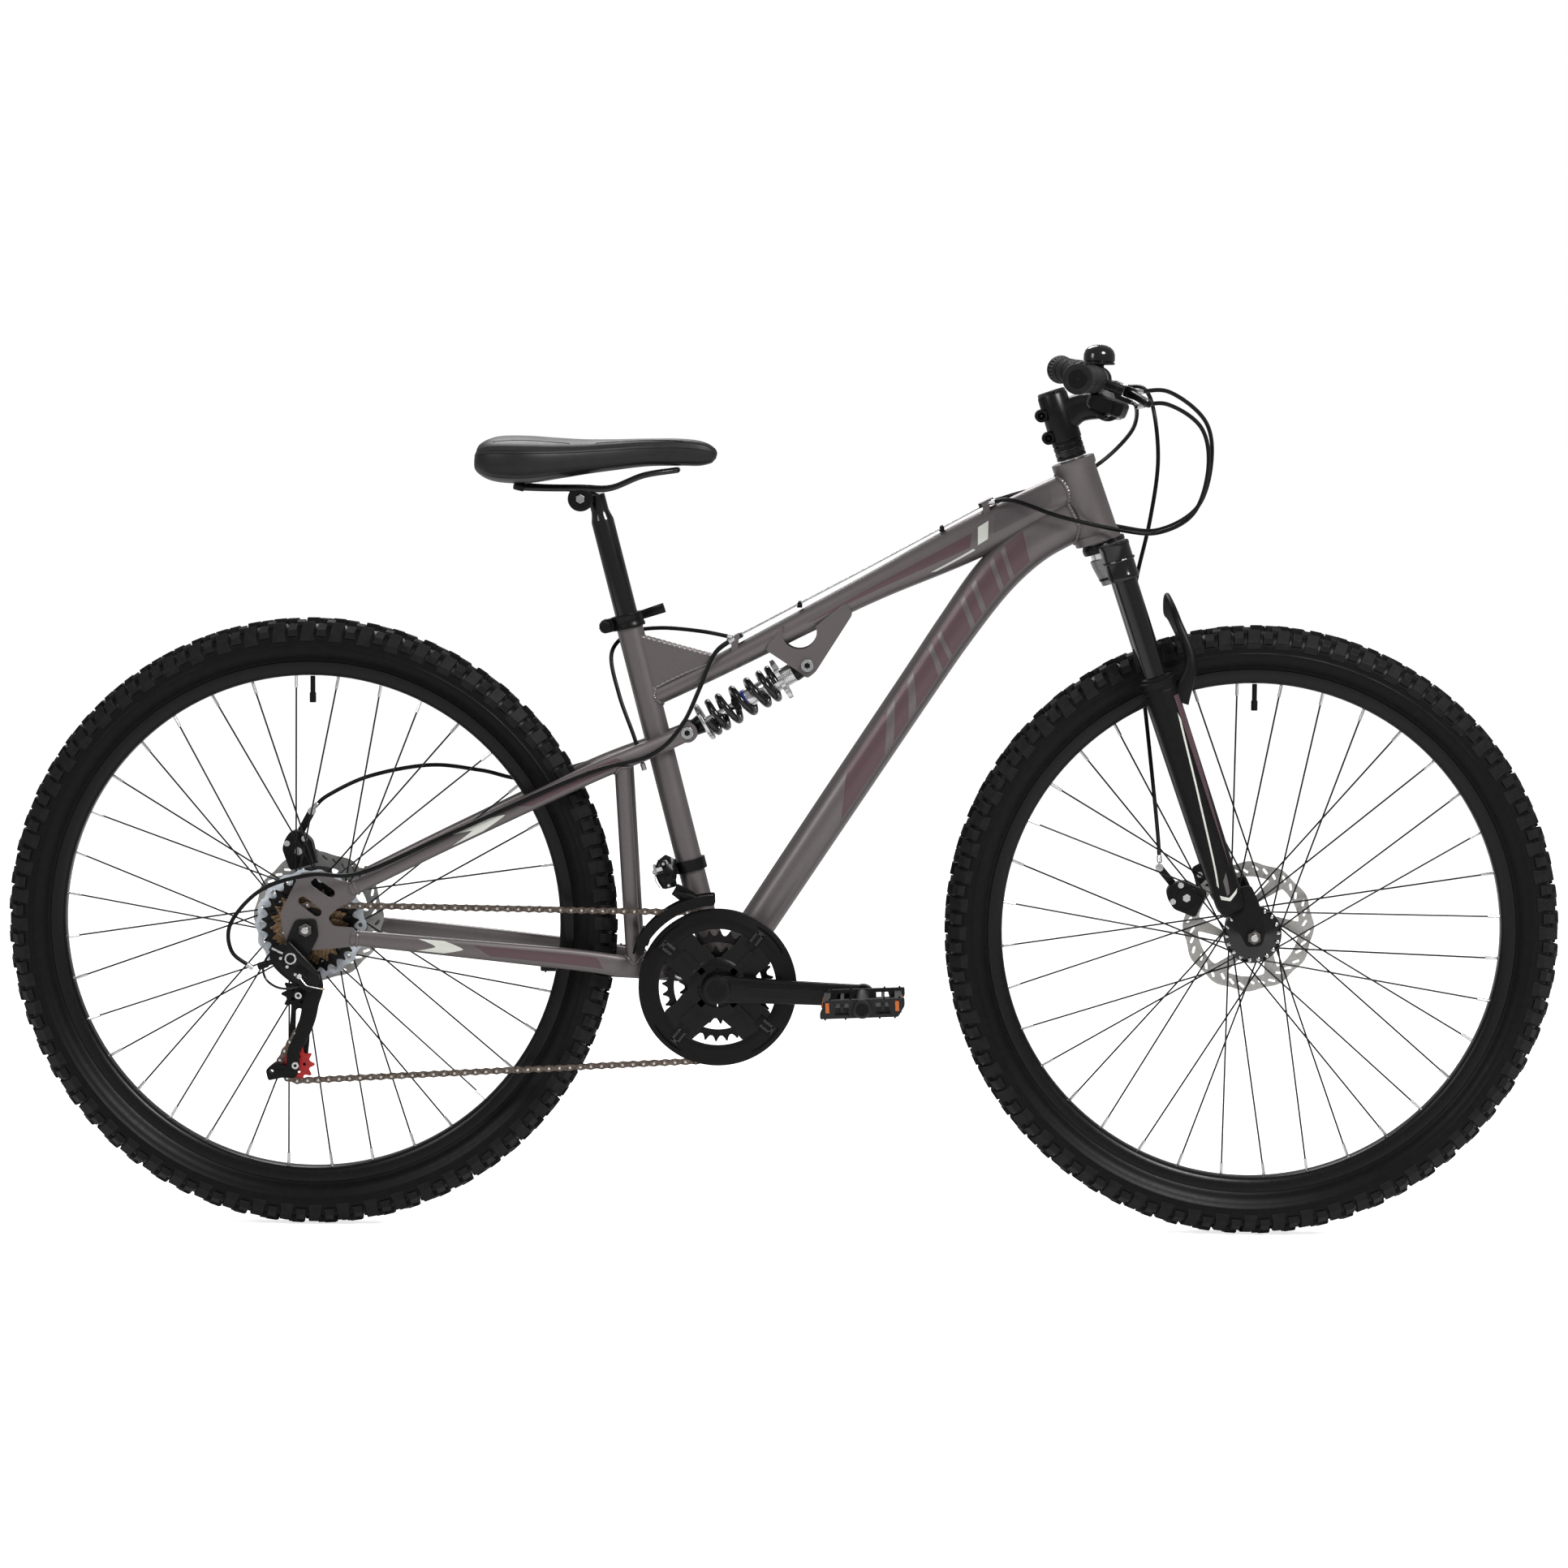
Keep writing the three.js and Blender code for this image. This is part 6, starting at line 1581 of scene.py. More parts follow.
def fork_leg(piece, side):
    """A lower leg: its seal, the cast tube, the dropout and the decals on its outer face."""
    y = side * LEG_Y
    seal = [(-166, 15), (-166, 20.8), (-163.5, 21.6), (-158, 21.4), (-156.5, 19), (-154, 19), (-153, 17.5),
            (-152, 15)]
    lathe(piece, leg_point(0, y, 0.8), HEAD_UP, seal, SEAL, 48, looped=True)
    leg = fork_leg_tube(side)
    leg.loft(piece, MATTE, 50, 44)
    ring_bead(piece, leg_point(171, y, 1), HEAD_UP, 19.7, 48, 0.7, MATTE)
    x, z = FRONT_AXLE.x, FRONT_AXLE.z
    outline = [(x - 31, z + 56), (x - 4, z + 62), (x + 6, z + 40), (x + 14, z + 6), (x + 10, z - 11),
               (x - 8, z - 12.5), (x - 17, z + 4), (x - 34, z + 36)]
    plate(piece, rounded(outline, 5, 4), side * 50.5, side * 56.8, MATTE, [circle(x, z, 5.6, 24)])
    block = Tube([(leg_point(420, y, LEG_OFFSET - 2), 34, 30), (leg_point(440, y, LEG_OFFSET), 33, 24),
                  (leg_point(452, side * 58, LEG_OFFSET + 1), 27, 12)], power=0.65)
    block.loft(piece, MATTE, 12, 28)
    rod(piece, leg_point(444, y, LEG_OFFSET), leg_point(447, y, LEG_OFFSET), 6.5, DARK_STEEL, sides=24)
    leg.patch(piece, [(0.20, 0.94), (0.30, 0.94), (0.60, 0.70), (0.20, 0.62)], MAROON, side, 0.2, 12)
    leg.patch(piece, [(0.245, 0.52), (0.26, 0.60), (0.66, -0.40), (0.645, -0.48)], PALE, side, 0.25, 14)
    leg.patch(piece, [(0.70, 0.75), (0.745, 0.60), (0.805, 0.05), (0.765, 0.05)], PALE, side, 0.25)
    leg.patch(piece, [(0.765, 0.05), (0.805, 0.05), (0.76, -0.5), (0.715, -0.5)], PALE, side, 0.25)
    leg.patch(piece, [(0.60, 0.35), (0.72, 0.18), (0.74, -0.05), (0.63, 0.0)], DUSK, side, 0.2)


def fork_lowers():
    piece = Piece("fork_lowers")
    for side in (RIGHT, LEFT):
        fork_leg(piece, side)
    half = [((473, LEG_Y, 652), 15.6, 25.6), ((487, 60, 700), 17.6, 13.6), ((470, 42, 746), 23.6, 10.6)]
    other = [((x, -y, z), tall, wide) for (x, y, z), tall, wide in half]
    arch = Tube(other + [((461, 0, 763), 29.6, 9.6)] + half[::-1], across=X, power=0.75)
    arch.loft(piece, MATTE, 72, 28)
    tab = [(498, 440), (519, 452), (529, 420), (506, 411)]
    plate(piece, rounded(tab, 4), 45, 52, MATTE)
    for at in (Vector((508, 0, 432)), Vector((519, 0, 438))):
        bolt(piece, at_y(at, 44.9), -Y, 3.6, 0.4, STEEL, 20)
    guide = leg_point(250, LEG_Y + 19, 6)
    ring_bead(piece, guide, HEAD_UP, 4.0, 20, 1.2, SATIN)
    piece.build("fork_slider", "matte_black", "fork_lowers", bevel=0.4)


# ---------------------------------------------------------------- brakes


def caliper(name, axle, heading_degrees, disc_y, inner, outer, body):
    """A caliper over its disc: two halves round a slot, the pad pot, bolts and fins."""
    piece = Piece(name)
    heading = math.radians(heading_degrees)
    slot_half = 2.4
    along, across = turned_axes(heading)

    def place(u, v, y):
        return at_y(axle, 0) + along * u + across * v + Y * y

    outline = rounded([(64, -17), (64, 17), (92, 19), (103, 12), (109.5, 4), (109.5, -4), (103, -12),
                       (92, -19)], 4)
    roof = rounded([(82.8, -17.5), (82.8, 17.5), (92, 19), (103, 12), (109.5, 4), (109.5, -4), (103, -12),
                    (92, -19)], 3)
    plate(piece, outline, inner + 0.3, disc_y - slot_half, SATIN, place=place)
    plate(piece, roof, disc_y - slot_half, disc_y + slot_half, SATIN, place=place)
    plate(piece, outline, disc_y + slot_half, outer - 0.3, SATIN, place=place)
    pot = place(84, 0, 0)
    for y0, y1, radius in ((inner - 1.8, inner + 1, 12.8), (outer - 0.6, outer - 0.1, 11)):
        cross_bar(piece, pot, y0, y1, radius, DARK_STEEL, 36, 0.3)
    for u, v in ((97, -11), (97, 11)):
        at = place(u, v, outer - 0.5)
        rod(piece, at, at + Y * 0.5, 3.4, STEEL, sides=20, chamfer=0.1)
        at = place(u, v, inner + 0.4)
        rod(piece, at, at - Y * 1.6, 3.8, STEEL, sides=20, chamfer=0.3)
    for k in range(3):
        low, high = 100 + 2.6 * k, 101.2 + 2.6 * k
        box(piece, (low, -9 + 2.5 * k, outer - 2), (high, 9 - 2.5 * k, outer - 0.05), SATIN, place)
        box(piece, (low, -9 + 2.5 * k, inner - 0.8), (high, 9 - 2.5 * k, inner + 1), SATIN, place)
    rod(piece, pot + Y * (inner - 1.6), pot + Y * (inner - 2.2), 5.2, STEEL, sides=6, chamfer=0.2)
    piece.build(body, "black_anodised", name, bevel=0.5)


def caliper_arm(name, centre, towards, y0, y1, body):
    piece = Piece(name)
    a, b = Vector(centre), Vector(towards)
    cross_bar(piece, a, y0, y1, 9, SATIN, 36, 0.5)
    arm = stadium(a.x, a.z, b.x, b.z, 4.6, 8)
    plate(piece, arm, y0 + 0.4, y1 - 0.4, SATIN)
    cross_bar(piece, b, y0, y1, 5, STEEL, 24, 0.4)
    piece.build(body, "black_anodised", name, bevel=0.4)


# ---------------------------------------------------------------- cockpit

BAR_RADIUS = 11.1
BAR_CLAMP = Vector((386, 0, 1001))
GRIP_START = Vector((361.5, -190, 1036))
GRIP_OUT = (Vector((340.5, -314, 1038.5)) - GRIP_START).normalized()


def grip_point(out):
    return GRIP_START + GRIP_OUT * out


def mirror(point):
    return Vector((point.x, -point.y, point.z))


CONTROL_FORWARD = Vector((math.cos(0.36), 0, -math.sin(0.36)))
CONTROL_FORWARD = (CONTROL_FORWARD - GRIP_OUT * CONTROL_FORWARD.dot(GRIP_OUT)).normalized()
CONTROL_UP = GRIP_OUT.cross(CONTROL_FORWARD).normalized()


def stem():
    """The spacers, the stem with its two pinch bolts behind, the bar clamp and the top cap."""
    piece = Piece("stem")
    for low, high in ((54, 58.2), (58.6, 64.6), (65, 71), (71.4, 76)):
        lathe(piece, HEAD_CENTRE, HEAD_UP,
              [(low, 14.4), (low, 17.2), (low + 0.6, 18), (high - 0.6, 18), (high, 17.2), (high, 14.4)],
              SATIN if high < 60 or high > 70 else GLOSS, 48, looped=True)
    lathe(piece, HEAD_CENTRE, HEAD_UP,
          [(76.2, 14.4), (76.2, 18.6), (78, 19), (106, 18.6), (132, 18), (134, 17), (134, 14.4)], SATIN,
          56, looped=True)
    lathe(piece, HEAD_CENTRE, HEAD_UP,
          [(132, 10), (134.2, 17), (136.4, 17), (137.8, 15.6), (137.8, 9), (135.4, 8)], GLOSS, 48)
    rod(piece, steer_point(135), steer_point(137.4), 4.2, STEEL, sides=24)
    neck = Tube([(steer_point(104, 6), 40, 32), (steer_point(108, 26), 34, 30),
                 (BAR_CLAMP - X * 12, 32, 34), (BAR_CLAMP, 34, 40)], power=0.7)
    neck.loft(piece, SATIN, 24, 36)
    lathe(piece, BAR_CLAMP, Y,
          [(-23.6, 13.4), (-23.8, 17), (-22.6, 18), (22.6, 18), (23.8, 17), (23.6, 13.4)], SATIN, 56,
          looped=True)
    for y in (-15, 15):
        for z in (13, -13):
            at = BAR_CLAMP + Vector((9, y, z))
            rod(piece, at, at + X * 7.6, 3.2, STEEL, sides=20)
    for up in (85, 113):
        rod(piece, steer_point(up, -20, -15), steer_point(up, -20, 15), 7.6, SATIN, sides=32, chamfer=0.8)
        bolt(piece, steer_point(up, -20, -14.6), -Y, 4.4, 0.4, STEEL, 24, 0.55)
    piece.build("steering", "matte_black", "stem", bevel=0.4)


def handlebar():
    piece = Piece("handlebar")
    half = [grip_point(125), grip_point(60), grip_point(0), grip_point(-30), grip_point(-58),
            Vector((376, -100, 1022)), Vector((384, -60, 1003.5)), at_y(BAR_CLAMP, -26), BAR_CLAMP]
    whole = half + [mirror(p) for p in reversed(half[:-1])]
    sweep(piece, smooth_line(whole, 150), BAR_RADIUS, GLOSS, 28)
    piece.build("steering", "gloss_black", "handlebar")


GRIP_RING_PITCH, GRIP_RINGS_END = 4.2, 116


def grip(name, side):
    """A rubber grip: rings in three groups, a scalloped collar at each end and a plug with a centre dot."""
    piece = Piece(name)
    way = (lambda p: p) if side < 0 else mirror
    start, axis = way(grip_point(0)), (way(grip_point(1)) - way(grip_point(0))).normalized()
    profile = [(4.2, 11.6), (4.2, 15.2), (5, 15.9), (9, 15.9), (9.6, 14.6)]
    along = 11.0
    while along < GRIP_RINGS_END:
        if not (44 < along < 50 or 82 < along < 88):
            profile += [(along, 14.5), (along + 0.7, 15.9), (along + 2.5, 15.9), (along + 3.2, 14.5)]
        along += GRIP_RING_PITCH
    profile += [(119.4, 14.6), (121.4, 15.8), (124, 17.6), (128.6, 17.9), (130.8, 17.4), (131.4, 15.6),
                (130.6, 12)]
    lathe(piece, start, axis, profile, GRIP_RUBBER, 56)
    u, v = crosswise(axis)
    for k in range(24):
        spoke = u * math.cos(TURN * k / 24) + v * math.sin(TURN * k / 24)
        for first, last, radius in ((5.5, 22, 15.3), (106, 129, 16.6)):
            rod(piece, start + axis * first + spoke * 15.0, start + axis * last + spoke * radius, 1.25,
                GRIP_RUBBER, sides=8, chamfer=0.5)
    rod(piece, start + axis * 130.2, start + axis * 131.4, 10.5, PLASTIC, sides=32, chamfer=0.4)
    rod(piece, start + axis * 131.2, start + axis * 131.6, 1.4, GLOSS, sides=14, chamfer=0.1)
    piece.build("steering", "grip_rubber", name, bevel=0)


# Where a brake lever turns, outward and forward of its clamp.
LEVER_PIVOT = (-2, 44)


def clamp_frame(side):
    """The mirroring of one bar end, and the placing of points outward, forward and up from its clamp."""
    way = (lambda p: p) if side < 0 else mirror
    base = grip_point(-14)

    def at(out, forward, up):
        return way(base + GRIP_OUT * out + CONTROL_FORWARD * forward + CONTROL_UP * up)

    return way, at


def controls(name, side):
    """The lever's clamp and perch, the shifter's pod with its window, a barrel adjuster and the bolts."""
    piece = Piece(name)
    way, at = clamp_frame(side)
    axis = way(GRIP_OUT)
    lathe(piece, at(0, 0, 0), axis,
          [(-9.8, 11.5), (-9.8, 15), (-9, 15.8), (9, 15.8), (9.8, 15), (9.8, 11.5)], SATIN, 48,
          looped=True)
    pod = Tube([(at(-27.6, 17, -24.5), 26, 18), (at(-18, 18, -24), 36, 20), (at(-4, 18, -23.8), 36, 20),
                (at(5.8, 18, -24), 28, 17)], across=way(CONTROL_FORWARD).cross(axis), power=0.6)
    pod.loft(piece, PLASTIC, 22, 32)
    front = Tube([(at(-30, 33, -23), 22, 16), (at(-16, 34, -22.5), 28, 20), (at(2, 33, -23), 22, 16)],
                 across=way(CONTROL_FORWARD).cross(axis), power=0.45)
    front.loft(piece, SATIN, 12, 28)
    for out in (-20, -13, -6, 1):
        box(piece, (out - 1.2, 7, -35.4), (out + 1.2, 27, -33.2), PLASTIC, at)
    window = Tube([(at(-40, 18, -24), 18, 12), (at(-34, 18, -24), 22, 15), (at(-26, 18, -24), 22, 15)],
                  across=way(CONTROL_FORWARD).cross(axis), power=0.6)
    window.loft(piece, PLASTIC, 12, 24)
    perch = Tube([(at(-1, 12, -0.5), 15, 12), (at(-1, 24, -0.5), 15.5, 12.6), (at(-1, 36, -0.5), 14, 12)],
                 across=way(CONTROL_UP), power=0.6)
    perch.loft(piece, SATIN, 12, 28)
    box(piece, (-8, 30, -11), (4, 50, -6.8), SATIN, at)
    rod(piece, at(*LEVER_PIVOT, -11.4), at(*LEVER_PIVOT, -6.4), 3.4, STEEL, sides=6)
    rod(piece, at(-8, 28, 0), at(-24, 36.6, 0.7), 4.8, SATIN, sides=20, chamfer=0.8)
    rod(piece, at(-24, 36.6, 0.7), at(-30, 40, 1), 3.6, PLASTIC, sides=18, chamfer=0.5)
    for out in (-5.4, 5.4):
        rod(piece, at(out, -15.4, 4), at(out, -15.4, -8), 2.6, STEEL, sides=16)
    for out in (-20, -4):
        rod(piece, at(out, 26, -33.8), at(out, 26, -34.0), 2.2, STEEL, sides=14, chamfer=0.05)
    piece.build("steering", "black_plastic", name, bevel=0.4)


def brake_lever(name, side):
    """A two-finger blade, wider and flatter towards its tip, on an eye with a pin."""
    piece = Piece(name)
    way, at = clamp_frame(side)
    finish = SATIN if side < 0 else STEEL
    rod(piece, at(*LEVER_PIVOT, -5.7), at(*LEVER_PIVOT, 6.9), 6.9, finish, sides=32, chamfer=0.6)
    rod(piece, at(*LEVER_PIVOT, 6.4), at(*LEVER_PIVOT, 7.3), 3.4, STEEL, sides=6, chamfer=0.2)
    blade = Tube([(at(*LEVER_PIVOT, 0), 9.6, 9.6), (at(20, 56, 0), 8.6, 9.4), (at(50, 68, 0), 8.0, 9.6),
                  (at(84, 76, 1), 8.2, 9.8), (at(106, 80.6, 1.8), 8.6, 9.4), (at(113, 82, 2), 6, 6)],
                 across=way(CONTROL_UP), power=0.8)
    blade.loft(piece, finish, 44, 24)
    piece.build(name, "matte_black" if side < 0 else "silver_steel", name, bevel=0.2)


def shift_lever(name, side):
    piece = Piece(name)
    way, at = clamp_frame(side)
    rod(piece, at(-14, 22, -39), at(-14, 22, -34.8), 7.9, PLASTIC, sides=32, chamfer=0.5)
    paddle = Tube([(at(-14, 23, -37), 9, 3.8), (at(4, 25, -37), 9.4, 3.8), (at(20, 25.5, -37), 10.6, 3.9),
                   (at(26, 26, -37), 8, 3.6)], across=way(CONTROL_UP), power=0.6)
    paddle.loft(piece, PLASTIC, 22, 20)
    for out in (14, 17, 20):
        rod(piece, at(out, 21.6, -35.2), at(out, 29.6, -35.2), 0.45, PLASTIC, sides=8, chamfer=0.1)
    piece.build(name, "black_plastic", name, bevel=0.2)


def bell():
    """A gloss dome on a base plate, its striker and the strap round the bar."""
    piece = Piece("bell")
    at, up = grip_point(-49), Vector((0.03, 0, 1)).normalized()
    lathe(piece, at, GRIP_OUT, [(-6, 11.4), (-6, 14.6), (-5, 15.1), (5, 15.1), (6, 14.6), (6, 11.4)],
          PLASTIC, 40, looped=True)
    rod(piece, at + up * 13.4, at + up * 18.4, 6, PLASTIC, sides=24)
    lathe(piece, at, up,
          [(17.2, 4), (17.2, 17), (18, 18.4), (20, 18.4), (20.6, 17.2), (21, 17.2), (22, 18.4), (29, 18.2),
           (33.6, 16.6), (37.4, 13), (39.8, 7.4), (40.4, 3), (40.4, 0.2)], GLOSS, 64)
    rod(piece, at + up * 40, at + up * 40.9, 2.4, STEEL, sides=20)
    striker = at + up * 19 + GRIP_OUT * 14 + X * 8
    rod(piece, striker, striker + GRIP_OUT * 3.6, 2.6, PLASTIC, sides=16)
    piece.build("steering", "gloss_black", "bell", bevel=0.25)


# ---------------------------------------------------------------- saddle and seatpost


def seatpost():
    piece = Piece("seatpost")
    lathe(piece, seat_point(0), SEAT_UP,
          [(250, 12), (250, 13.2), (251, 13.6), (574, 13.6), (575.5, 13.2), (582, 11.4), (586, 10.6),
           (605.6, 10.4), (606, 9)], GLOSS, 56)
    for k in range(6):
        up = 352 + 8 * k
        band(piece, seat_point(up), SEAT_UP, (0, 0.5), (13.4, 13.64), DUSK, 48)
    cross_bar(piece, SADDLE_PIVOT, -11.8, 11.8, 9.9, SATIN, 40, 0.6)
    rod(piece, Vector((-236, 0, 888)), Vector((-223, 0, 886)), 7.6, SATIN, 5.6, sides=28)
    piece.build("seatpost", "gloss_black", "seatpost", bevel=0.3)


def saddle_rails():
    """Two rails bent from one rod, and the clamp's toothed discs with their bolt."""
    piece = Piece("saddle_rails")
    cross_bar(piece, SADDLE_PIVOT, -26, 26, 3.3, STEEL, 16)
    for side in (RIGHT, LEFT):
        profile = [(side * 12.8, 6), (side * 12.8, 14.6), (side * 13.6, 15.4), (side * 17, 15.4),
                   (side * 18, 14), (side * 19, 14), (side * 20, 15.2), (side * 23.4, 15.2),
                   (side * 24.8, 13.6), (side * 24.8, 6)]
        lathe(piece, SADDLE_PIVOT, Y, profile, SATIN, 48, looped=True)
        ring = [(side * 24.2, 8.6), (side * 25.1, 8.6), (side * 25.1, 10.6), (side * 24.2, 10.6)]
        lathe(piece, SADDLE_PIVOT, Y, ring, DARK_STEEL, 40, looped=True)
        rod(piece, at_y(SADDLE_PIVOT, side * 24.6), at_y(SADDLE_PIVOT, side * 26.2), 5.8, STEEL, sides=6)
        rail = smooth_line([(-318, 34 * side, 899.4), (-287, 24 * side, 898), (-245, 22 * side, 898),
                            (-208, 22 * side, 898.5), (-168, 18 * side, 914), (-128, 7 * side, 920.5)], 48)
        sweep(piece, rail, 3.45, GLOSS, 16)
        socket = Vector((-318, 34 * side, 899.4))
        rod(piece, socket + Vector((8, -3 * side, 0)), socket + Vector((-3, 1 * side, 3)), 5.2, PLASTIC,
            sides=20)
    rod(piece, Vector((-128, -9, 920.5)), Vector((-128, 9, 920.5)), 3.45, GLOSS, sides=16)
    piece.build("saddle", "gloss_black", "saddle_rails", bevel=0.2)


# From the tail to the nose: (x, half width, lowest z, highest z).
SADDLE_STATIONS = ((-369.5, 30, 926, 941), (-364, 58, 915, 951), (-345, 74, 906, 959),
                   (-310, 80, 904, 960), (-275, 72, 909, 958), (-240, 55, 915, 956.5),
                   (-205, 38, 920, 957), (-165, 27, 925, 958.5), (-125, 22, 926, 959),
                   (-100, 19, 926, 956), (-86, 14, 929, 949), (-81, 7, 934, 942))


CHANNEL_DEPTH, CHANNEL_WIDTH = 2.6, 8.5
# The pressed seam: its depth, and where it runs and how wide it is as angles from the top.
SEAM_DEPTH, SEAM_ANGLE, SEAM_WIDTH = 0.7, 1.12, 0.05


def saddle():
    """A padded shell: a shallow channel on top, a piped seam round it and a plastic base below."""
    piece = Piece("saddle")
    form = Tube([((x, 0, (low + high) / 2), high - low, 2 * wide) for x, wide, low,
                 high in SADDLE_STATIONS], power=0.7)

    def surface(t, angle, lift=0.0):
        point = form.surface(t, angle, lift)
        if math.cos(angle) > 0:
            reach = math.sin(math.pi * min(max(t, 0.02), 0.98)) ** 0.6
            point = point - Z * (CHANNEL_DEPTH * reach * math.exp(-((point.y / CHANNEL_WIDTH) ** 2)))
            from_top = abs(angle if angle < math.pi else angle - TURN)
            point = point - Z * (SEAM_DEPTH * math.exp(-(((from_top - SEAM_ANGLE) / SEAM_WIDTH) ** 2)))
        return point

    steps, sides = 96, 96
    rings = [[surface(i / steps, TURN * k / sides) for k in range(sides)] for i in range(steps + 1)]
    skin(piece, rings, SADDLE)
    for angle in (1.34, TURN - 1.34):
        line = [surface(0.02 + 0.96 * k / 120, angle, 0.1) for k in range(121)]
        sweep(piece, line, 0.95, SADDLE, 8)
    for low_t, high_t in ((0.18, 0.42), (0.5, 0.74)):
        for angle in (0.72, TURN - 0.72):
            line = [surface(low_t + (high_t - low_t) * k / 60, angle + 0.12 * math.sin(math.pi * k / 60),
                            0.02) for k in range(61)]
            sweep(piece, line, 0.5, SADDLE, 6)
    under = [[form.surface(0.03 + 0.94 * i / 60, math.pi - 0.9 + 1.8 * k / 24, 0.35) for k in range(25)]
             for i in range(61)]
    faces = [[i * 25 + k, i * 25 + k + 1, (i + 1) * 25 + k + 1, (i + 1) * 25 + k]
             for i in range(60) for k in range(24)]
    piece.add([p for ring in under for p in ring], faces, PLASTIC)
    made = piece.build("saddle", "saddle_skin", "saddle")


# ---------------------------------------------------------------- cables

CABLE_RADIUS = 2.5
FERRULE_RADIUS, FERRULE_LENGTH = 3.1, 9


def front_stop(y):
    """Where a housing from the handlebar ends, in the front stop on the top tube."""
    return (246, y, 884.6)


def rear_stop(y):
    """Where a housing to the rear starts, in the rear stop on the top tube."""
    return (-58, y, 719.4)


def housing(piece, points, steps=90):
    line = smooth_line(points, steps)
    sweep(piece, line, CABLE_RADIUS, HOUSING, 14)
    for end, near in ((line[0], line[2]), (line[-1], line[-3])):
        heading = (near - end).normalized()
        rod(piece, end, end + heading * FERRULE_LENGTH, FERRULE_RADIUS, STEEL, sides=16, chamfer=0.5)


def front_loops():
    """The three housings from the handlebar to the stops on the top tube."""
    piece = Piece("cable_loops")
    housing(piece, [(414, -150, 1004), (452, -120, 1006), (494, -80, 978), (505, -48, 930),
                    (490, -34, 876), (450, -33, 852), (404, -36, 854), (330, -34, 870), (275, -22, 888),
                    front_stop(-8)], 150)
    housing(piece, [(414, -146, 1021), (455, -112, 1020), (500, -60, 985), (511, -10, 935), (497, 22, 880),
                    (452, 33, 852), (404, 36, 855), (330, 34, 872), (275, 22, 889), front_stop(8)], 150)
    housing(piece, [(412, 150, 1003), (426, 118, 998), (420, 80, 970), (385, 46, 935), (340, 38, 908),
                    (285, 16, 896), front_stop(0)], 110)
    made = piece.build(None, "cable_housing", "rear_cables")
    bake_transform(made)


def rear_runs():
    """The housings from the top tube's rear stop to the rear derailleur and the rear caliper."""
    piece = Piece("cable_rear_runs")
    housing(piece, [rear_stop(-8), (-82, -17, 700), (-99, -22, 660), (-122, -31, 612), (-158, -43, 580),
                    (-235, -58.5, 558), (-390, -72.5, 489), (-500, -82, 440), (-560, -90, 438),
                    (-618, -92, 420), (-655, -92, 380), (-655, -90, 345), (-630, -86, 324)], 190)
    housing(piece, [rear_stop(8), (-82, 17, 700), (-99, 22, 660), (-122, 31, 612), (-158, 43, 580),
                    (-235, 58.5, 562), (-312, 66, 540), (-370, 64, 550), (-432, 62, 556), (-505, 62, 542),
                    (-556, 66, 518), (-576, 70.5, 501)], 170)
    made = piece.build(None, "cable_housing", "rear_cables")
    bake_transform(made)


def frame_run():
    """The front derailleur's housing down behind the seat tube, with its clips."""
    piece = cable_stops()
    housing(piece, [rear_stop(0), (-100, 14, 726), (-150, 21, 729), (-186, 23, 722), (-207, 10, 698),
                    (-197, -4, 650), (-178, -16, 600), (-165, -20, 560)], 110)
    piece.build("frame", "cable_housing", "rear_cables", bevel=0.3)


def front_brake_cable():
    piece = Piece("front_brake_cable")
    housing(piece, [(413, 150, 1021), (436, 118, 1019), (447, 92, 990), (452, 84, 930), (443, 82, 860),
                    (428, 84, 790), (424, 87, 740), (437, 90, 660), (449, 82, 560), (457, 60, 480),
                    (459, 47, 446)], 170)
    made = piece.build(None, "cable_housing", "front_brake_cable")
    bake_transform(made)


# ---------------------------------------------------------------- assembly

tyre("rear_tyre", REAR_AXLE, "rear_wheel")
tyre("front_tyre", FRONT_AXLE, "front_wheel")
rim("rear_rim", REAR_AXLE, "rear_wheel")
rim("front_rim", FRONT_AXLE, "front_wheel")
RIGHT_PHASE, LEFT_PHASE = math.radians(4), math.radians(14)
spokes("rear_spokes_right", REAR_AXLE, "rear_wheel", RIGHT, 23.5, 29, RIGHT_PHASE)
spokes("rear_spokes_left", REAR_AXLE, "rear_wheel", LEFT, 34, 29, LEFT_PHASE)
spokes("front_spokes_right", FRONT_AXLE, "front_wheel", RIGHT, 34, 31, RIGHT_PHASE)
spokes("front_spokes_left", FRONT_AXLE, "front_wheel", LEFT, 24, 25.5, LEFT_PHASE)
front_hub()
rear_hub()
brake_disc("front_rotor", FRONT_AXLE, 39, "front_wheel")
brake_disc("rear_rotor", REAR_AXLE, 52, "rear_wheel")
axle("front_axle", FRONT_AXLE, 69.8, 57.4, "fork_slider")
axle("rear_axle", REAR_AXLE, 87.8, 77, "swingarm")
spoke_protector()
freewheel()

chainrings()
chain_guard()
crank_spindle()
crank_arm("crank_right", RIGHT, PEDAL_RIGHT)
crank_arm("crank_left", LEFT, PEDAL_LEFT)
pedal("pedal_right", RIGHT, PEDAL_RIGHT)
pedal("pedal_left", LEFT, PEDAL_LEFT)
chain()
jockey_wheel("guide_pulley", GUIDE_PULLEY, "black_plastic", PLASTIC)
jockey_wheel("tension_pulley", TENSION_PULLEY, "red_plastic", RED)
rear_derailleur()
derailleur_cage()
front_derailleur()
front_derailleur_cage()

main_frame()
seat_collar()
seat_lever()
pivot_bolt()
swingarm()
shock()
shock_spring()
shock_bolts()

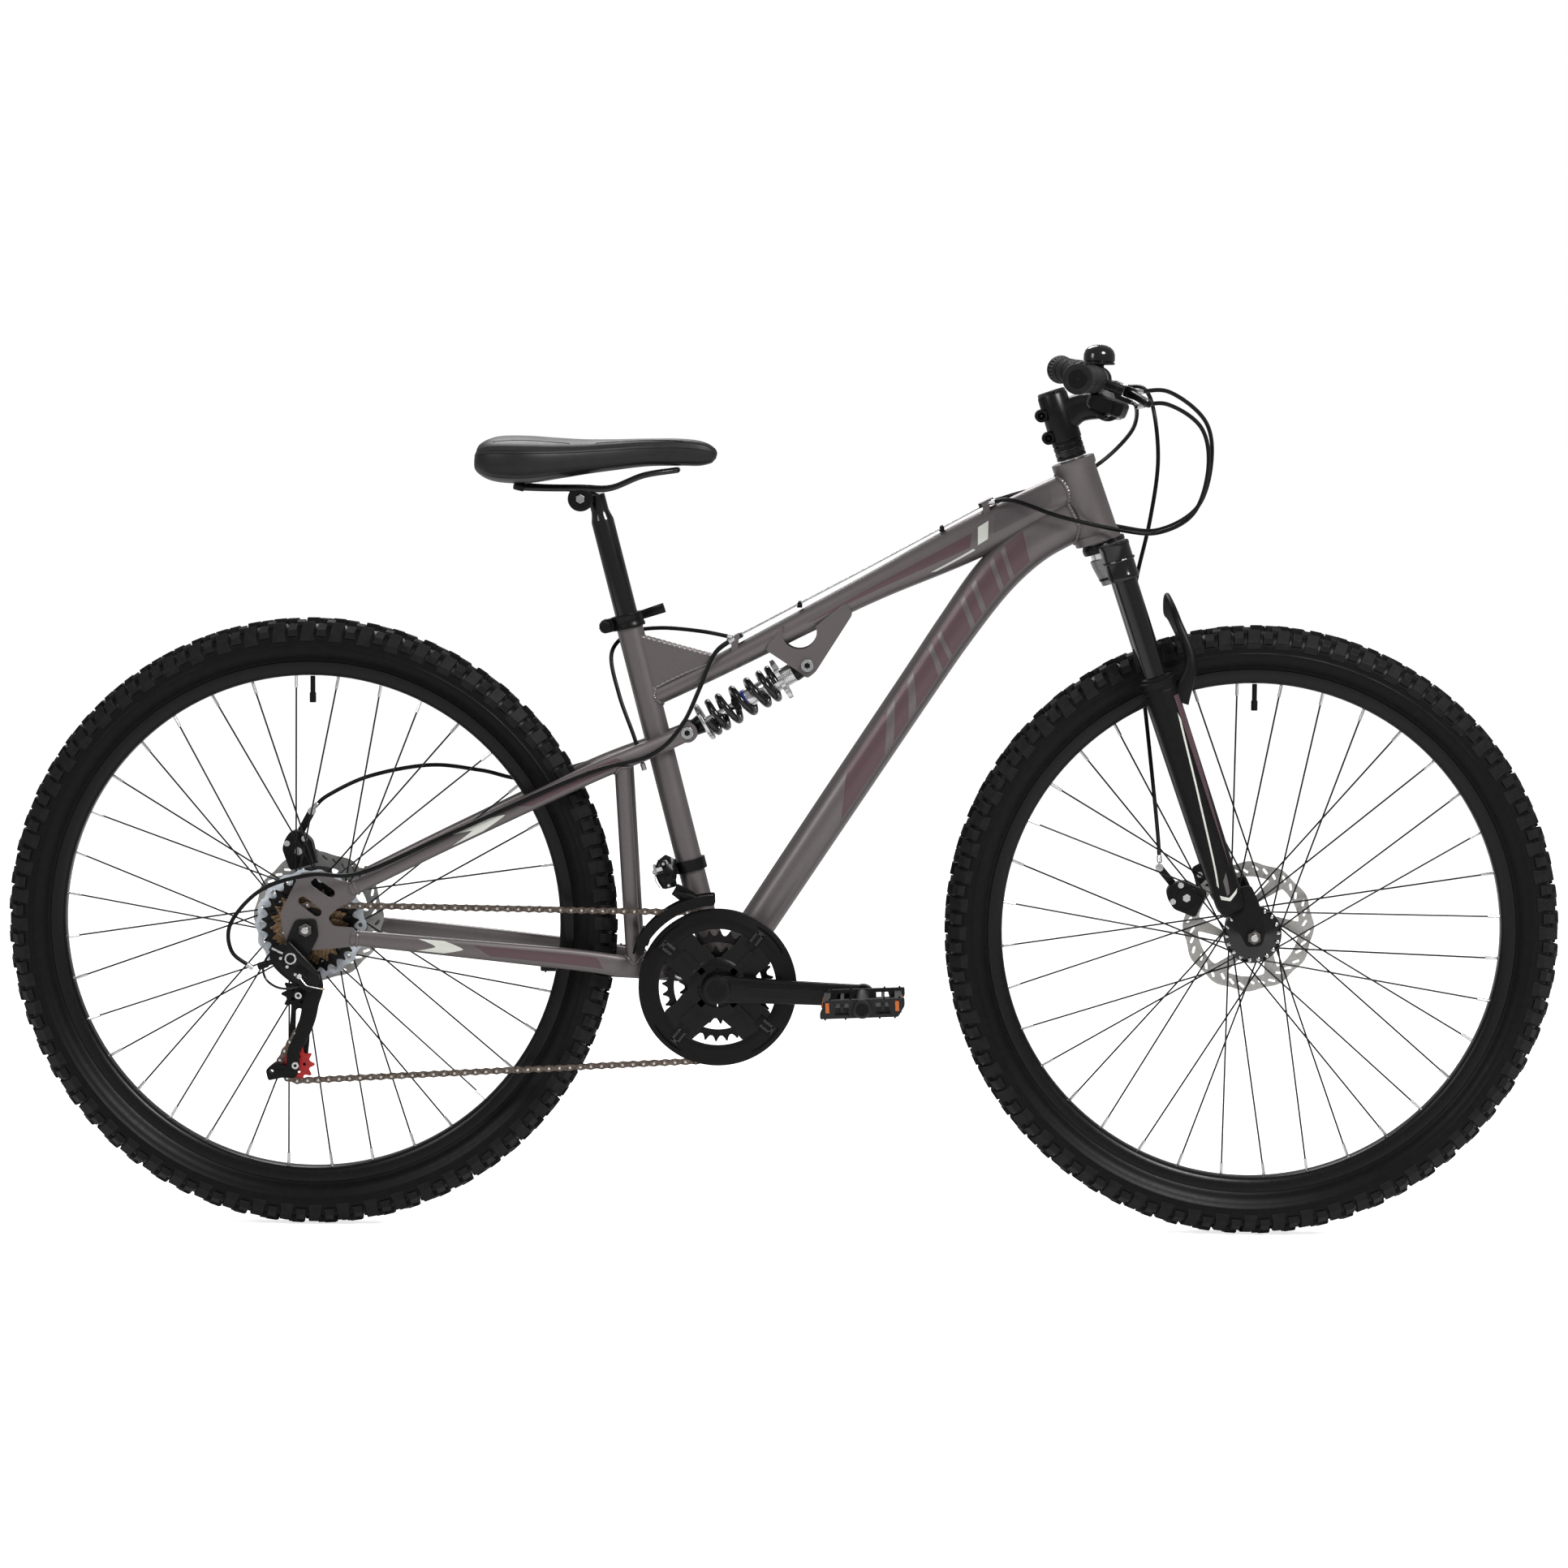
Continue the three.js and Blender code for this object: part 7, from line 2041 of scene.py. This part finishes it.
fork_crown()
fork_lowers()
caliper("front_caliper", FRONT_AXLE, 155, 39, 27, 44.6, "fork_slider")
caliper("rear_caliper", REAR_AXLE, 106, 52, 41, 60.2, "swingarm")
caliper_arm("front_caliper_arm", (484, 0, 410), (459, 0, 440), 45, 49, "front_caliper_arm")
caliper_arm("rear_caliper_arm", (-597, 0, 462), (-578, 0, 497), 68.9, 73, "rear_caliper_arm")

stem()
handlebar()
for hand, side in (("right", RIGHT), ("left", LEFT)):
    grip(f"grip_{hand}", side)
    controls(f"controls_{hand}", side)
    brake_lever(f"brake_lever_{hand}", side)
    shift_lever(f"shift_lever_{hand}", side)
bell()

seatpost()
saddle_rails()
saddle()
front_loops()
rear_runs()
frame_run()
front_brake_cable()

# ---------------------------------------------------------------- floor and light


FLOOR_RADIUS = 30000
# How far below the tyres the floor lies, in metres.
FLOOR_GAP = 0.0002
FLOOR_GLOW = 0.75
AMBIENT = 0.34


def backdrop_level(tree, lighting, seen):
    """One brightness for the backdrop as a light source, another for how it looks."""
    path = tree.nodes.new("ShaderNodeLightPath")
    level = tree.nodes.new("ShaderNodeMapRange")
    level.inputs["To Min"].default_value = lighting
    level.inputs["To Max"].default_value = seen
    tree.links.new(path.outputs["Is Camera Ray"], level.inputs["Value"])
    return level.outputs["Result"]


def add_floor():
    piece = Piece("floor")
    ring = [Vector((FLOOR_RADIUS * math.cos(a), FLOOR_RADIUS * math.sin(a), 0)) for a in angles(96)]
    white = Finish("floor_white", (0.80, 0.80, 0.80), 0.7, shine=0.1).uneven(400, 0.03)
    white.set("Emission Color", (1, 1, 1, 1))
    tree = white.material.node_tree
    bsdf = next(node for node in tree.nodes if node.type == "BSDF_PRINCIPLED")
    tree.links.new(backdrop_level(tree, 0.0, FLOOR_GLOW), bsdf.inputs["Emission Strength"])
    piece.add(ring, [list(range(96))], white.material)
    floor = bpy.data.objects.new("floor", piece.mesh())
    bpy.context.scene.collection.objects.link(floor)
    floor.location.z = bounds_at_start[0][2] - FLOOR_GAP


def add_light(name, place, target, size, power):
    lamp = bpy.data.lights.new(name, "AREA")
    lamp.shape = "DISK"
    lamp.size = size
    lamp.energy = power
    light = bpy.data.objects.new(name, lamp)
    bpy.context.scene.collection.objects.link(light)
    light.location = Vector(place)
    light.rotation_euler = (Vector(target) - Vector(place)).to_track_quat("-Z", "Y").to_euler()


def add_world():
    """A white backdrop that lights the bike more softly than it looks."""
    world = bpy.data.worlds.new("studio")
    world.use_nodes = True
    tree = world.node_tree
    sky = tree.nodes["Background"]
    tree.links.new(backdrop_level(tree, AMBIENT, 1.0), sky.inputs["Strength"])
    sky.inputs["Color"].default_value = (1, 1, 1, 1)
    bpy.context.scene.world = world
    bpy.context.scene.view_settings.view_transform = "Standard"


add_floor()
add_world()
add_light("key", (1.9, -2.4, 3.2), (0.2, 0, 0.6), 1.3, 150)
add_light("side", (-2.8, -2.4, 2.4), (0, 0, 0.5), 1.4, 35)
add_light("back", (-0.6, 2.6, 3.4), (0, 0, 0.6), 1.8, 70)
